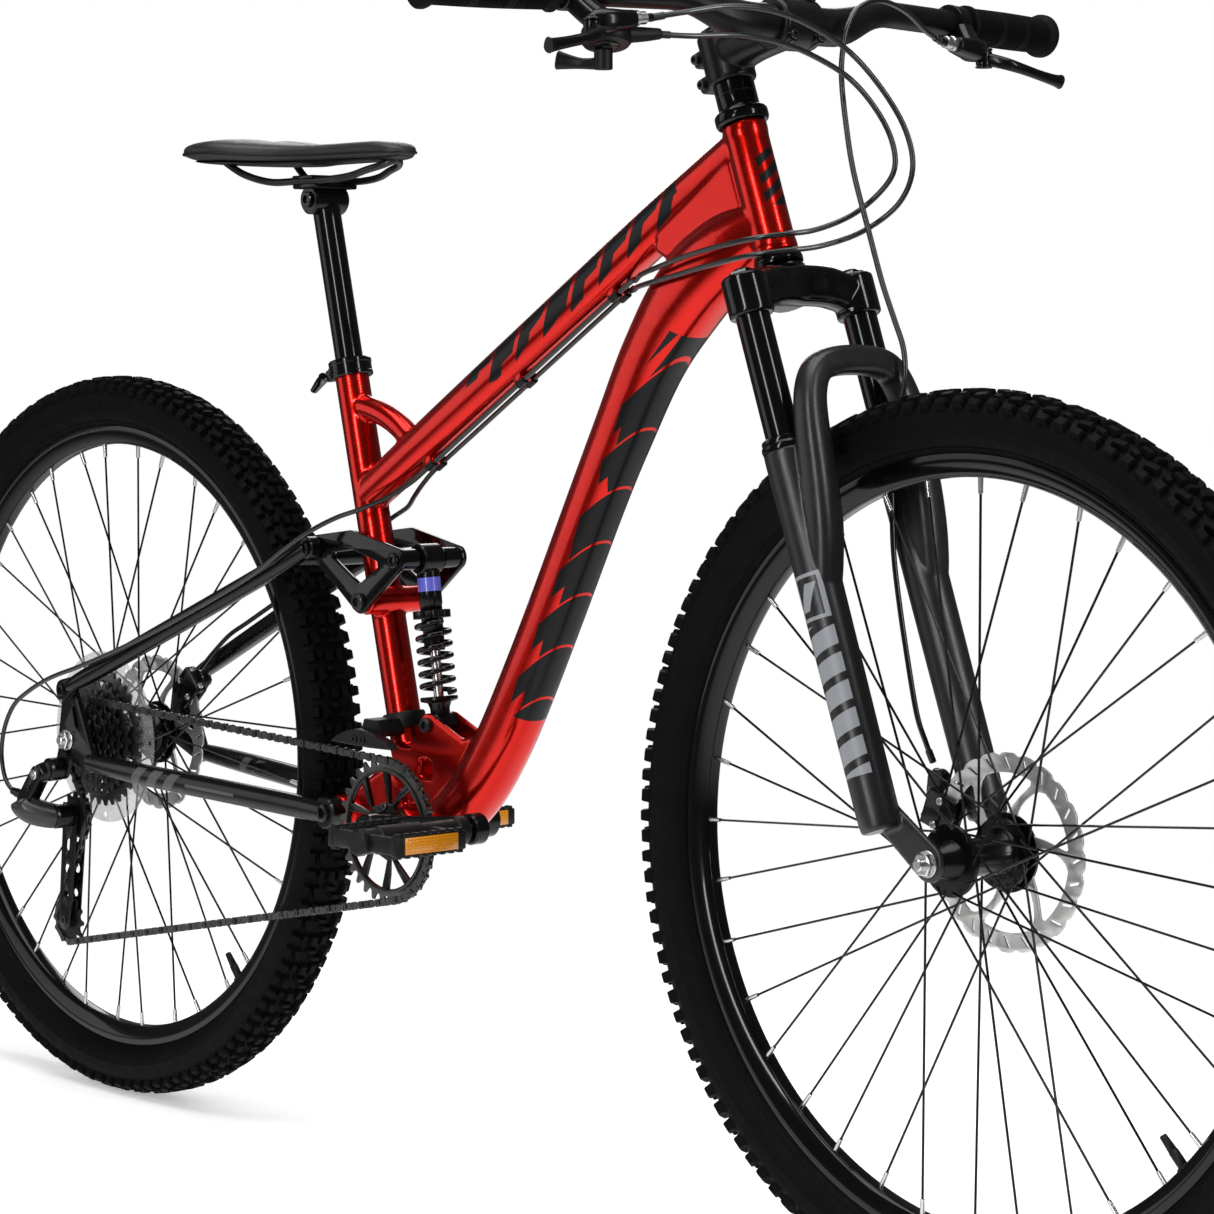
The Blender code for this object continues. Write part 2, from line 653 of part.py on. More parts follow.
# chain
def tangent_angle(first, second):
    """Direction of the left normal of the line that touches two turned circles."""
    (c1, r1, s1), (c2, r2, s2) = first, second
    dx = c2[0] - c1[0]
    dz = c2[1] - c1[1]
    share = (s1 * r1 - s2 * r2) / math.hypot(dx, dz)
    return math.atan2(dz, dx) + math.acos(share)


def chain_path(wheels, step=math.radians(22.5)):
    """Closed loop over the wheels as (x, z, angle of travel's left normal)."""
    count = len(wheels)
    normals = [tangent_angle(wheels[k], wheels[(k + 1) % count]) for k in range(count)]
    path = []
    for k in range(count):
        centre, radius, turn = wheels[k]
        start = normals[k - 1]
        sweep = normals[k] - start
        while turn < 0.0 and sweep < 0.0:
            sweep += 2.0 * math.pi
        while turn > 0.0 and sweep > 0.0:
            sweep -= 2.0 * math.pi
        pieces = max(2, int(math.ceil(abs(sweep) / step)))
        for n in range(pieces + 1):
            angle = start + sweep * n / pieces
            path.append((centre[0] + turn * radius * math.cos(angle),
                         centre[1] + turn * radius * math.sin(angle), angle))
    return path


wheels = [
    (BOTTOM_BRACKET, RING_PITCH, -1.0),
    (REAR_AXLE, pitch_radius(COG_TEETH), -1.0),
    (GUIDE_WHEEL, JOCKEY_PITCH, 1.0),
    (TENSION_WHEEL, JOCKEY_PITCH, -1.0),
]
channel = [(-0.0034, -0.0032), (-0.0034, -0.0017), (0.0029, -0.0017), (0.0029, 0.0017),
           (-0.0034, 0.0017), (-0.0034, 0.0032), (0.0044, 0.0032), (0.0044, -0.0032)]
chain_shape = bmesh.new()
chain_rows = []
for x, z, normal in chain_path(wheels):
    outward = Vector((-math.cos(normal), 0.0, -math.sin(normal)))
    chain_rows.append([
        chain_shape.verts.new(at(x, z, CHAIN_PLANE + width) + outward * height)
        for height, width in channel])
for row, following in zip(chain_rows, chain_rows[1:] + chain_rows[:1]):
    for k in range(len(channel)):
        turn = (k + 1) % len(channel)
        chain_shape.faces.new((row[k], row[turn], following[turn], following[k]))
piece("chain", DARK_STEEL, from_bmesh("chain", chain_shape))

# ---------------------------------------------------------------- seatstays
upper_parts = []
for side in (-1.0, 1.0):
    run = [(0.374, 0.5790, 0.0487), (0.345, 0.5668, 0.0490), (0.290, 0.5430, 0.0520),
           (0.060, 0.4440, 0.0730), (0.014, 0.4240, 0.0785)]
    upper_parts.append(tube([at(x, z, side * y) for x, z, y in run], 0.0090,
                            [0.9, 1.0, 1.0, 1.0, 0.6]))
    start, end = sorted((side * 0.0400, side * 0.0520))
    upper_parts.append(cross_rod(ROCKER_REAR, start, end, 0.0102))
    start, end = sorted((side * 0.0335, side * 0.0410))
    upper_parts.append(cross_rod(ROCKER_REAR, start, end, 0.0036, sides=8))
    start, end = sorted((side * 0.0724, side * 0.0800))
    upper_parts.append(plate([hull([(DROPOUT_PIVOT, 0.0105), ((0.022, 0.4275), 0.0070)], 8)],
                             start, end))
    start, end = sorted((side * 0.0660, side * 0.0740))
    upper_parts.append(cross_rod(DROPOUT_PIVOT, start, end, 0.0040, sides=8))
upper_parts.append(cross_rod((0.345, 0.5668), -0.0470, 0.0470, 0.0080))
piece("seatstays", BLACK_MATTE, upper_parts[0], upper_parts[1:])


def caliper(name, disc_centre, disc_y, angle):
    """Brake caliper around the disc's edge, open towards the axle; gives its cam centre."""
    outward = Vector((math.cos(angle), 0.0, math.sin(angle)))
    edge = at(*disc_centre, disc_y) + outward * 0.0740
    body = block(edge - Vector((0.0, 0.0015, 0.0)), (0.034, 0.0160, 0.034), -angle)
    slot = block(edge - outward * 0.006, (0.040, 0.0034, 0.060), -angle)
    cam = (disc_centre[0] + 0.0860 * math.cos(angle), disc_centre[1] + 0.0860 * math.sin(angle))
    housing = cross_rod(cam, disc_y + 0.0040, disc_y + 0.0125, 0.0105)
    piece(name, BLACK_MATTE, body, [housing], [slot])
    return cam


REAR_DISC_Y = 0.0405
FRONT_DISC_Y = 0.0375
REAR_CALIPER_ANGLE = math.radians(42.0)
FRONT_CALIPER_ANGLE = math.radians(160.0)
REAR_CAM = caliper("rear_caliper", REAR_AXLE, REAR_DISC_Y, REAR_CALIPER_ANGLE)


def cam_arm(name, cam, y, angle, length):
    """Short arm that the cable pulls, turning on the caliper's outer face."""
    tip = (cam[0] + length * math.cos(angle), cam[1] + length * math.sin(angle))
    piece(name, STEEL, plate([hull([(cam, 0.0070), (tip, 0.0045)])], y, y + 0.0030))


cam_arm("rear_caliper_arm", REAR_CAM, REAR_DISC_Y + 0.0129, math.radians(200.0), 0.026)


# ---------------------------------------------------------------- wheels
def wheel(prefix, axle, flange_right, flange_left, hub_right, hub_left, barrel, flange):
    """Tyre, rim, hub and spokes around one axle."""
    half_step = math.pi / WHEEL_STEPS
    tread = TYRE_RADIUS / math.cos(half_step)
    place = across(axle, half_step)
    piece(prefix + "_tyre", TYRE_BLACK, turned(
        [(0.3172, 0.0112), (0.3400, TYRE_HALF_WIDTH), (tread, 0.0140), (tread, -0.0140),
         (0.3400, -TYRE_HALF_WIDTH), (0.3172, -0.0112)],
        place, WHEEL_STEPS))
    piece(prefix + "_rim", BLACK_GLOSS, turned(
        [(0.3165, 0.0125), (0.3165, -0.0125), (0.2985, -0.0070), (0.2985, 0.0070)],
        place, WHEEL_STEPS))
    inner = barrel * 1.04 + 0.0005
    sleeve_right = flange_right + 0.0020
    sleeve_left = flange_left - 0.0020
    sleeve = turned(
        [(inner + 0.0030, sleeve_left), (inner + 0.0030, sleeve_right),
         (inner, sleeve_right), (inner, sleeve_left)], across(axle), 12)
    wires = []
    for k in range(SPOKES):
        left = k % 2 == 1
        lean = 0.62 if left else -0.62
        angle = 2.0 * math.pi * k / SPOKES
        start_y = sleeve_left - 0.0035 if left else sleeve_right + 0.0035
        foot = (axle[0] + (inner + 0.0015) * math.cos(angle + lean),
                axle[1] + (inner + 0.0015) * math.sin(angle + lean))
        tip = (axle[0] + 0.2962 * math.cos(angle), axle[1] + 0.2962 * math.sin(angle))
        tip_y = 0.0030 if left else -0.0030
        wires.append(rod(at(*foot, start_y), at(*tip, tip_y), 0.0013, sides=3))
    piece(prefix + "_spokes", DARK_STEEL, sleeve, [group(prefix + "_wires", wires)])
    piece(prefix + "_hub", BLACK_GLOSS, turned(
        [(0.0090, hub_left), (0.0100, flange_left + 0.0015), (flange, flange_left + 0.0015),
         (flange, flange_left - 0.0015), (barrel, flange_left - 0.0015),
         (barrel, flange_right + 0.0015), (flange, flange_right + 0.0015),
         (flange, flange_right - 0.0015), (0.0090, flange_right - 0.0015),
         (0.0090, hub_right), (0.0056, hub_right), (0.0056, hub_left)], across(axle), 12))


wheel("rear", REAR_AXLE, -0.0215, 0.0335, -0.0245, 0.0620, 0.0165, 0.0290)
wheel("front", FRONT_AXLE, -0.0290, 0.0300, -0.0460, 0.0460, 0.0160, 0.0290)


def rotor(name, axle, y):
    """Brake disc: a scalloped band on six arms."""
    count = 30
    edge = []
    for k in range(count):
        radius = ROTOR_RADIUS - (0.0016 if k % 3 == 0 else 0.0)
        angle = 2.0 * math.pi * k / count
        edge.append((axle[0] + radius * math.cos(angle), axle[1] + radius * math.sin(angle)))
    openings = []
    for k in range(6):
        opening = []
        for radius, shares in ((0.0640, (0.08, 0.36, 0.64, 0.92)), (0.0270, (0.72, 0.28))):
            for share in shares:
                angle = 2.0 * math.pi * (k + share) / 6.0
                opening.append((axle[0] + radius * math.cos(angle),
                                axle[1] + radius * math.sin(angle)))
        openings.append(opening)
    bore = circle(axle, 0.0130, 12)
    piece(name, STEEL, plate([edge, *openings, bore], y - 0.0009, y + 0.0009))


rotor("rear_rotor", REAR_AXLE, REAR_DISC_Y)
rotor("front_rotor", FRONT_AXLE, FRONT_DISC_Y)
piece("spoke_protector", CLEAR, plate(
    [circle(REAR_AXLE, 0.0875, 30), circle(REAR_AXLE, 0.0130, 12)], -0.0264, -0.0252))
piece("cassette", DARK_STEEL, turned(
    [(0.0710, -0.0275), (0.0700, -0.0305), (0.0589, -0.0355), (0.0509, -0.0405),
     (0.0468, -0.0450), (0.0300, -0.0450), (0.0300, -0.0479), (0.0420, -0.0479),
     (0.0420, -0.0501), (0.0300, -0.0501), (0.0300, -0.0605), (0.0056, -0.0605),
     (0.0056, -0.0275)], across(REAR_AXLE), 16))

# ---------------------------------------------------------------- rocker
plate_outline = hull([
    (ROCKER_REAR, 0.0115), ((0.425, 0.5870), 0.0100), (ROCKER_FRONT, 0.0115),
    (ROCKER_PIVOT, 0.0110)], 8)
plate_window = hull([
    ((0.4010, 0.5720), 0.0030), ((0.4280, 0.5750), 0.0030), ((0.4620, 0.5660), 0.0030),
    ((0.4370, 0.5520), 0.0030)], 6)
rocker_plates = []
for side in (-1.0, 1.0):
    start, end = sorted((side * 0.0334, side * 0.0386))
    rocker_plates.append(plate([plate_outline, plate_window], start, end))
rocker_cuts = [cross_rod(ROCKER_PIVOT, -0.05, 0.05, 0.0055),
               cross_rod(ROCKER_REAR, -0.05, 0.05, 0.0064)]
piece("rocker", BLACK_GLOSS, cross_rod(ROCKER_FRONT, -0.0350, 0.0350, 0.0070), rocker_plates,
      rocker_cuts)

# ---------------------------------------------------------------- shock
foot = at(*SHOCK_FOOT)
head = at(*ROCKER_FRONT)
shock_way = (head - foot).normalized()
shock_length = (head - foot).length


def on_shock(distance):
    """Point along the shock from its lower eye."""
    return foot + shock_way * distance


def shock_axis():
    return Matrix.Translation(foot) @ shock_way.to_track_quat("Z", "Y").to_matrix().to_4x4()


seat_low = turned(
    [(0.0, 0.0250), (0.0172, 0.0250), (0.0172, 0.0220), (0.0105, 0.0200), (0.0085, 0.0060),
     (0.0, 0.0060)], shock_axis(), 16)
piece("shock_shaft", STEEL, seat_low, [
    rod(on_shock(0.020), on_shock(0.075), 0.0046),
    cross_rod(SHOCK_FOOT, -0.0110, 0.0110, 0.0108)],
    [cross_rod(SHOCK_FOOT, -0.02, 0.02, 0.0054)])
shock_tube = turned(
    [(0.0, shock_length - 0.010), (0.0108, shock_length - 0.012),
     (0.0108, shock_length - 0.048), (0.0176, shock_length - 0.048),
     (0.0176, shock_length - 0.0550), (0.0095, shock_length - 0.0550),
     (0.0095, 0.0680), (0.0053, 0.0680), (0.0053, shock_length - 0.0300),
     (0.0, shock_length - 0.0300)], shock_axis(), 16)
piece("shock_body", BLACK_MATTE, shock_tube, [cross_rod(ROCKER_FRONT, -0.0115, 0.0115, 0.0140)],
      [cross_rod(ROCKER_FRONT, -0.02, 0.02, 0.0100)])

SPRING_TURNS = 6.0
SPRING_LOW = 0.0278
SPRING_HIGH = shock_length - 0.0580
SPRING_RADIUS = 0.0145
WIRE_RADIUS = 0.0022
side_way = Vector((0.0, 1.0, 0.0))
front_way = side_way.cross(shock_way)
coil = []
coil_steps = int(SPRING_TURNS * 9)
for k in range(coil_steps + 1):
    share = k / coil_steps
    angle = 2.0 * math.pi * SPRING_TURNS * share
    height = SPRING_LOW + (SPRING_HIGH - SPRING_LOW) * share
    coil.append(on_shock(height) + front_way * (SPRING_RADIUS * math.cos(angle))
                + side_way * (SPRING_RADIUS * math.sin(angle)))
piece("shock_spring", BLACK_GLOSS, tube(coil, WIRE_RADIUS, resolution=0))

# ---------------------------------------------------------------- fork
crown_parts = [
    rod(on_fork(0.0, 0.0700), on_fork(0.003, 0.1020), 0.0195, 0.0180),
    tube([on_fork(0.016, 0.098, -0.062), on_fork(0.013, 0.090, -0.036), on_fork(0.006, 0.086, 0.0),
          on_fork(0.013, 0.090, 0.036), on_fork(0.016, 0.098, 0.062)], 0.0165,
         [0.95, 1.0, 1.05, 1.0, 0.95], resolution=2),
]
for side in (-1.0, 1.0):
    y = side * STANCHION_HALF_SPACING
    crown_parts.append(rod(on_fork(STANCHION_OFFSET, 0.0830, y),
                           on_fork(STANCHION_OFFSET, 0.1170, y), 0.0185))
    crown_parts.append(rod(on_fork(STANCHION_OFFSET, 0.1100, y),
                           on_fork(STANCHION_OFFSET, 0.3500, y), STANCHION_RADIUS))
piece("fork_upper", BLACK_GLOSS, rod(on_fork(0.0, -0.1395), on_fork(0.0, 0.0800),
                                     STEERER_RADIUS), crown_parts)

lower_parts = []
lower_cuts = []
LEG_TOP = 0.2260
LEG_END = 0.5450
for side in (-1.0, 1.0):
    y = side * STANCHION_HALF_SPACING
    lower_parts.append(rod(on_fork(STANCHION_OFFSET, LEG_TOP, y),
                           on_fork(STANCHION_OFFSET, LEG_END, y), 0.0190, 0.0172))
    tip = HEAD_CENTRE[0] + 0.018 * FORK_FORWARD[0] + 0.535 * FORK_DOWN[0]
    tip_z = HEAD_CENTRE[1] + 0.018 * FORK_FORWARD[1] + 0.535 * FORK_DOWN[1]
    start, end = sorted((side * 0.0505, side * 0.0555))
    lower_parts.append(plate([hull([(FRONT_AXLE, 0.0150), ((tip, tip_z), 0.0130)])], start, end))
    lower_cuts.append(rod(on_fork(STANCHION_OFFSET, LEG_TOP - 0.02, y),
                          on_fork(STANCHION_OFFSET, 0.4650, y), STANCHION_RADIUS + 0.0005))
arch_half = [(0.028, 0.318, 0.0600), (0.040, 0.270, 0.0590), (0.046, 0.215, 0.0565),
             (0.049, 0.186, 0.0500), (0.051, 0.172, 0.0380), (0.052, 0.168, 0.0180)]
arch_line = [on_fork(o, s, -y) for o, s, y in arch_half]
arch_line += [on_fork(o, s, y) for o, s, y in reversed(arch_half)]
lower_parts.append(tube(arch_line, 0.0125, resolution=2))
lower_cuts.append(cross_rod(FRONT_AXLE, -0.07, 0.07, 0.0055))
piece("fork_lowers", CHARCOAL, lower_parts[0], lower_parts[1:], lower_cuts)

piece("front_axle", STEEL, turned(
    [(0.0, 0.0665), (0.0100, 0.0640), (0.0100, 0.0558), (0.0050, 0.0558), (0.0050, 0.0502),
     (0.0085, 0.0502), (0.0085, 0.0465), (0.0050, 0.0465), (0.0050, -0.0465), (0.0085, -0.0465),
     (0.0085, -0.0502), (0.0050, -0.0502), (0.0050, -0.0558), (0.0100, -0.0558),
     (0.0100, -0.0640), (0.0, -0.0665)], across(FRONT_AXLE), 8))
FRONT_CAM = caliper("front_caliper", FRONT_AXLE, FRONT_DISC_Y, FRONT_CALIPER_ANGLE)
cam_arm("front_caliper_arm", FRONT_CAM, FRONT_DISC_Y + 0.0129, math.radians(110.0), 0.026)

# ---------------------------------------------------------------- cockpit
BAR_RADIUS = 0.0159
GRIP_START = 0.236
bar_middle = on_fork(BAR_OFFSET, BAR_HEIGHT)
bar_x = bar_middle.x
bar_z = bar_middle.z


def bar_point(y):
    """Centre of the bar at a distance from the middle plane."""
    reach = abs(y)
    back_by = 0.130 * max(0.0, reach - 0.05)
    if reach <= 0.045:
        rise = 0.0
    elif reach <= 0.125:
        share = (reach - 0.045) / 0.080
        rise = 0.0160 * share * share * (3.0 - 2.0 * share)
    else:
        rise = 0.0160 - 0.0150 * (reach - 0.125)
    return Vector((bar_x - back_by, y, bar_z + rise))


bar_stations = [-BAR_HALF, -0.235, -0.150, -0.125, -0.105, -0.085, -0.065, -0.045]
bar_stations += [-y for y in reversed(bar_stations)]
bar_sizes = [0.70 if abs(y) >= 0.10 else (0.85 if abs(y) > 0.07 else 1.0) for y in bar_stations]
piece("handlebar", BLACK_MATTE, tube([bar_point(y) for y in bar_stations], BAR_RADIUS, bar_sizes,
                                     resolution=3))

stem_parts = [
    rod(on_fork(BAR_OFFSET, BAR_HEIGHT, -0.0230), on_fork(BAR_OFFSET, BAR_HEIGHT, 0.0230), 0.0215),
    rod(on_fork(0.010, -0.1165), on_fork(BAR_OFFSET - 0.008, BAR_HEIGHT), 0.0165, 0.0150),
    block(on_fork(-0.0240, -0.1250), (0.018, 0.0200, 0.015), math.radians(-20.0)),
    block(on_fork(-0.0240, -0.1020), (0.018, 0.0200, 0.015), math.radians(-20.0)),
]
piece("stem", BLACK_MATTE, rod(on_fork(0.0, -0.1400), on_fork(0.0, -0.0940), 0.0205),
      stem_parts, [
          rod(on_fork(0.0, -0.16), on_fork(0.0, -0.08), STEER_BORE),
          rod(on_fork(BAR_OFFSET, BAR_HEIGHT, -0.05), on_fork(BAR_OFFSET, BAR_HEIGHT, 0.05),
              BAR_RADIUS + 0.0010)])


def grip(name, side):
    inner = bar_point(side * GRIP_START)
    outer = bar_point(side * (BAR_HALF + 0.003))
    along = (outer - inner).normalized()
    flange = rod(outer - along * 0.005, outer, 0.0190)
    bore = rod(inner - along * 0.02, bar_point(side * (BAR_HALF + 0.0004)), 0.0119)
    piece(name, GRIP_BLACK, rod(inner, outer, 0.0155), [flange], [bore])


grip("grip_right", -1.0)
grip("grip_left", 1.0)


def bar_frame(side, y, forward, down):
    """Point near the bar, ahead of it and below it."""
    return bar_point(side * y) + Vector((forward, 0.0, -down))


LEVER_ANCHOR = (0.2250, 0.0330, 0.0310)


def lever_mount(side):
    """Clamp band and lever housing with its cable entry."""
    inner = bar_point(side * 0.2130)
    outer = bar_point(side * 0.2290)
    band = rod(inner, outer, 0.0155)
    body = tube([bar_frame(side, 0.1850, 0.030, 0.022), bar_frame(side, 0.2080, 0.031, 0.0240),
                 bar_frame(side, 0.2160, 0.026, 0.0235)], 0.0085, [0.9, 1.1, 1.2])
    neck = tube([bar_frame(side, 0.2210, 0.010, 0.008), bar_frame(side, 0.2130, 0.027, 0.024)],
                0.0100)
    barrel = rod(bar_frame(side, 0.1670, 0.0290, 0.0205), bar_frame(side, 0.1870, 0.030, 0.022),
                 0.0052)
    bore = rod(bar_point(side * 0.2000), bar_point(side * 0.2400), 0.0119)
    return band, [body, neck, barrel], [bore]


left_band, left_joined, left_cuts = lever_mount(1.0)
piece("brake_mount_left", BLACK_MATTE, left_band, left_joined, left_cuts)
right_band, right_joined, right_cuts = lever_mount(-1.0)
pod = rod(bar_frame(-1.0, 0.1950, 0.012, 0.028), bar_frame(-1.0, 0.1980, 0.016, 0.042), 0.0200)
pod_link = tube([bar_frame(-1.0, 0.2120, 0.022, 0.026), bar_frame(-1.0, 0.2000, 0.014, 0.034)],
                0.0080)
pod_entry = rod(bar_frame(-1.0, 0.1600, 0.0270, 0.0330), bar_frame(-1.0, 0.1900, 0.0200, 0.0340),
                0.0055)
piece("control_right", BLACK_MATTE, right_band, [*right_joined, pod, pod_link, pod_entry],
      right_cuts)


def brake_lever(name, side):
    start = bar_frame(side, LEVER_ANCHOR[0], LEVER_ANCHOR[1], LEVER_ANCHOR[2])
    run = [start, bar_frame(side, 0.2330, 0.0520, 0.0360), bar_frame(side, 0.2480, 0.0600, 0.0400),
           bar_frame(side, 0.2680, 0.0640, 0.0440), bar_frame(side, 0.2920, 0.0680, 0.0480)]
    blade = tube(run, 0.0048, [1.0, 1.0, 0.9, 0.9, 1.25])
    piece(name, BLACK_GLOSS, blade)
    return start


LEFT_LEVER_PIVOT = brake_lever("brake_lever_left", 1.0)
RIGHT_LEVER_PIVOT = brake_lever("brake_lever_right", -1.0)
SHIFT_PIVOT = bar_frame(-1.0, 0.1960, 0.010, 0.0560)
piece("shift_lever", PLASTIC, tube(
    [SHIFT_PIVOT, SHIFT_PIVOT + Vector((-0.020, -0.006, 0.001)),
     SHIFT_PIVOT + Vector((-0.036, -0.016, 0.004))], 0.0050, [1.1, 1.0, 1.3]))


# ---------------------------------------------------------------- cables
def cable(name, route):
    """Housing tube through the points of its route."""
    piece(name, PLASTIC, tube([at(x, z, y) for x, y, z in route], CABLE_RADIUS))


def in_lane(x, side):
    """Route point in one of the two lanes under the top tube."""
    lane_x, lane_z = top_tube_point(x, CABLE_DROP)
    return (lane_x, side * CABLE_LANE, lane_z)


front_brake_route = [
    (0.9735, 0.1660, 1.0248), (0.9810, 0.140, 1.031), (0.9860, 0.110, 1.045),
    (0.9870, 0.080, 1.052), (0.9870, 0.055, 1.046), (0.9870, 0.040, 1.030),
    (0.9880, 0.033, 1.008), (0.9900, 0.030, 0.985), (0.9960, 0.029, 0.950),
    (1.0050, 0.029, 0.910), (1.0220, 0.030, 0.860), (1.0330, 0.034, 0.820),
    (1.0430, 0.038, 0.790), (1.0510, 0.040, 0.768), (1.0535, 0.040, 0.748),
    (1.0510, 0.040, 0.728), (1.0455, 0.040, 0.708), (1.0400, 0.040, 0.680),
    (1.0400, 0.040, 0.640), (1.0420, 0.040, 0.600), (1.0485, 0.040, 0.560),
    (1.0580, 0.040, 0.515), (1.0680, 0.041, 0.470), (1.0745, 0.0450, 0.447),
    (1.0780, 0.0500, 0.4310),
]
rear_brake_route = [
    (0.9735, -0.1660, 1.0248), (0.9840, -0.140, 1.030), (0.9950, -0.100, 1.036),
    (1.0030, -0.060, 1.034), (1.0060, -0.020, 1.024), (1.0100, 0.020, 1.005),
    (1.0200, 0.048, 0.975), (1.0320, 0.062, 0.943), (1.0360, 0.066, 0.912),
    (1.0240, 0.062, 0.884), (1.0000, 0.045, 0.862), (0.9850, 0.012, 0.850),
    (0.9740, -0.018, 0.8460), (0.9500, -0.036, 0.8420), (0.9050, -0.041, 0.8340),
    (0.8650, -0.038, 0.8270), (0.8300, -0.034, 0.8215), (0.8000, -0.022, 0.8180),
    (0.7780, -0.004, 0.8165), (0.7640, 0.0045, 0.8155), in_lane(0.7480, 1.0), in_lane(0.6800, 1.0),
    in_lane(0.6200, 1.0), in_lane(0.5500, 1.0), in_lane(0.4880, 1.0),
    (0.4780, 0.007, 0.6420), (0.4550, 0.014, 0.6280), (0.4340, 0.024, 0.6180),
    (0.4120, 0.034, 0.6120), (0.3880, 0.042, 0.6050), (0.3620, 0.045, 0.5935),
    (0.3300, 0.044, 0.5770), (0.2860, 0.046, 0.5570), (0.2300, 0.051, 0.5320),
    (0.1760, 0.056, 0.5085), (0.1300, 0.059, 0.4880), (0.0980, 0.0605, 0.4735),
    (0.0720, 0.0590, 0.4540), (0.0560, 0.0568, 0.4390), (0.0465, 0.0552, 0.4285),
]
shift_route = [
    (0.9725, -0.1590, 1.0124), (0.9830, -0.130, 1.012), (0.9940, -0.090, 1.014),
    (1.0000, -0.050, 1.010), (1.0030, -0.012, 1.000), (1.0080, 0.022, 0.984),
    (1.0160, 0.044, 0.960), (1.0240, 0.054, 0.935), (1.0260, 0.055, 0.912),
    (1.0140, 0.050, 0.893), (0.9960, 0.036, 0.875), (0.9820, 0.008, 0.863),
    (0.9700, -0.020, 0.859), (0.9460, -0.035, 0.855), (0.9000, -0.039, 0.847),
    (0.8650, -0.0370, 0.8400), (0.8350, -0.033, 0.8335), (0.8050, -0.022, 0.8285),
    (0.7850, -0.010, 0.8240), in_lane(0.7580, -1.0), in_lane(0.6800, -1.0),
    in_lane(0.6200, -1.0), in_lane(0.5500, -1.0), in_lane(0.4880, -1.0),
    (0.4780, -0.009, 0.6420), (0.4550, -0.018, 0.6280), (0.4320, -0.030, 0.6170),
    (0.4100, -0.044, 0.6080), (0.3850, -0.056, 0.5945), (0.3550, -0.0625, 0.5770),
    (0.3060, -0.0655, 0.5500), (0.2300, -0.0720, 0.5160), (0.1550, -0.0790, 0.4850),
    (0.0900, -0.0850, 0.4610), (0.0400, -0.0880, 0.4450), (0.0100, -0.0870, 0.4370),
    (-0.0140, -0.0875, 0.4290), (-0.0440, -0.0880, 0.4160), (-0.0700, -0.0890, 0.4000),
    (-0.0880, -0.0890, 0.3760), (-0.0950, -0.0890, 0.3490), (-0.0910, -0.0880, 0.3240),
    (-0.0800, -0.0860, 0.3110), (-0.0610, -0.0840, 0.3060),
]
cable("front_brake_cable", front_brake_route)
cable("rear_brake_cable", rear_brake_route)
cable("shift_cable", shift_route)


# ---------------------------------------------------------------- moving groups
def moving(name, point, names):
    """Empty on a joint's axis, with the pieces that move about it as children."""
    holder = bpy.data.objects.new(name, None)
    parts.objects.link(holder)
    holder.location = point
    bpy.context.view_layer.update()
    for child in names:
        body = bpy.data.objects[child]
        body.parent = holder
        body.matrix_parent_inverse = holder.matrix_world.inverted()


WHEEL_PARTS = ("tyre", "rim", "hub", "spokes", "rotor")
moving("joint_steering", on_fork(0.0, 0.0), [
    "fork_upper", "stem", "handlebar", "grip_right", "grip_left", "control_right",
    "brake_mount_left", "front_brake_cable"])
moving("joint_fork_travel", on_fork(STANCHION_OFFSET, LEG_TOP), [
    "fork_lowers", "front_axle", "front_caliper"])
moving("joint_front_wheel", at(*FRONT_AXLE), ["front_" + part for part in WHEEL_PARTS])
moving("joint_rear_wheel", at(*REAR_AXLE),
       ["rear_" + part for part in WHEEL_PARTS] + ["spoke_protector"])
moving("joint_cassette", at(*REAR_AXLE), ["cassette"])
moving("joint_rear_swing", at(*MAIN_PIVOT), [
    "chainstays", "rear_axle", "derailleur_body", "chain"])
moving("joint_seatstays", at(*DROPOUT_PIVOT), ["seatstays", "rear_caliper"])
moving("joint_rocker", at(*ROCKER_PIVOT), ["rocker"])
moving("joint_shock_shaft", at(*SHOCK_FOOT), ["shock_shaft"])
moving("joint_shock_travel", at(*ROCKER_FRONT), ["shock_body", "shock_spring"])
moving("joint_crank", at(*BOTTOM_BRACKET), ["crank_right", "crank_left", "chainring"])
moving("joint_pedal_right", at(*crank_end(1.0)), ["pedal_right"])
moving("joint_pedal_left", at(*crank_end(-1.0)), ["pedal_left"])
moving("joint_derailleur_cage", at(*GUIDE_WHEEL), ["derailleur_cage"])
moving("joint_jockey_upper", at(*GUIDE_WHEEL), ["jockey_upper"])
moving("joint_jockey_lower", at(*TENSION_WHEEL), ["jockey_lower"])
moving("joint_front_cam", at(*FRONT_CAM), ["front_caliper_arm"])
moving("joint_rear_cam", at(*REAR_CAM), ["rear_caliper_arm"])
moving("joint_brake_lever_left", LEFT_LEVER_PIVOT, ["brake_lever_left"])
moving("joint_brake_lever_right", RIGHT_LEVER_PIVOT, ["brake_lever_right"])
moving("joint_shift_lever", SHIFT_PIVOT, ["shift_lever"])
moving("joint_clamp_lever", LEVER_PIVOT, ["seat_clamp_lever"])
moving("joint_seatpost", at(*seat_tube(SEAT_TUBE_TOP)), ["seatpost", "saddle_rails", "saddle"])
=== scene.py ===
"""Full-suspension mountain bike: its looks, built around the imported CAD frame.

Axes: +X to the front wheel, +Y to the rider's left, +Z up.  The chain side is -Y.
Side-view points are (x, z) with x counted from the rear axle; at() moves them to
the frame's origin, which is on the floor halfway between the axles.
"""

import math
import random

import bmesh
import bpy
from mathutils import Matrix, Vector


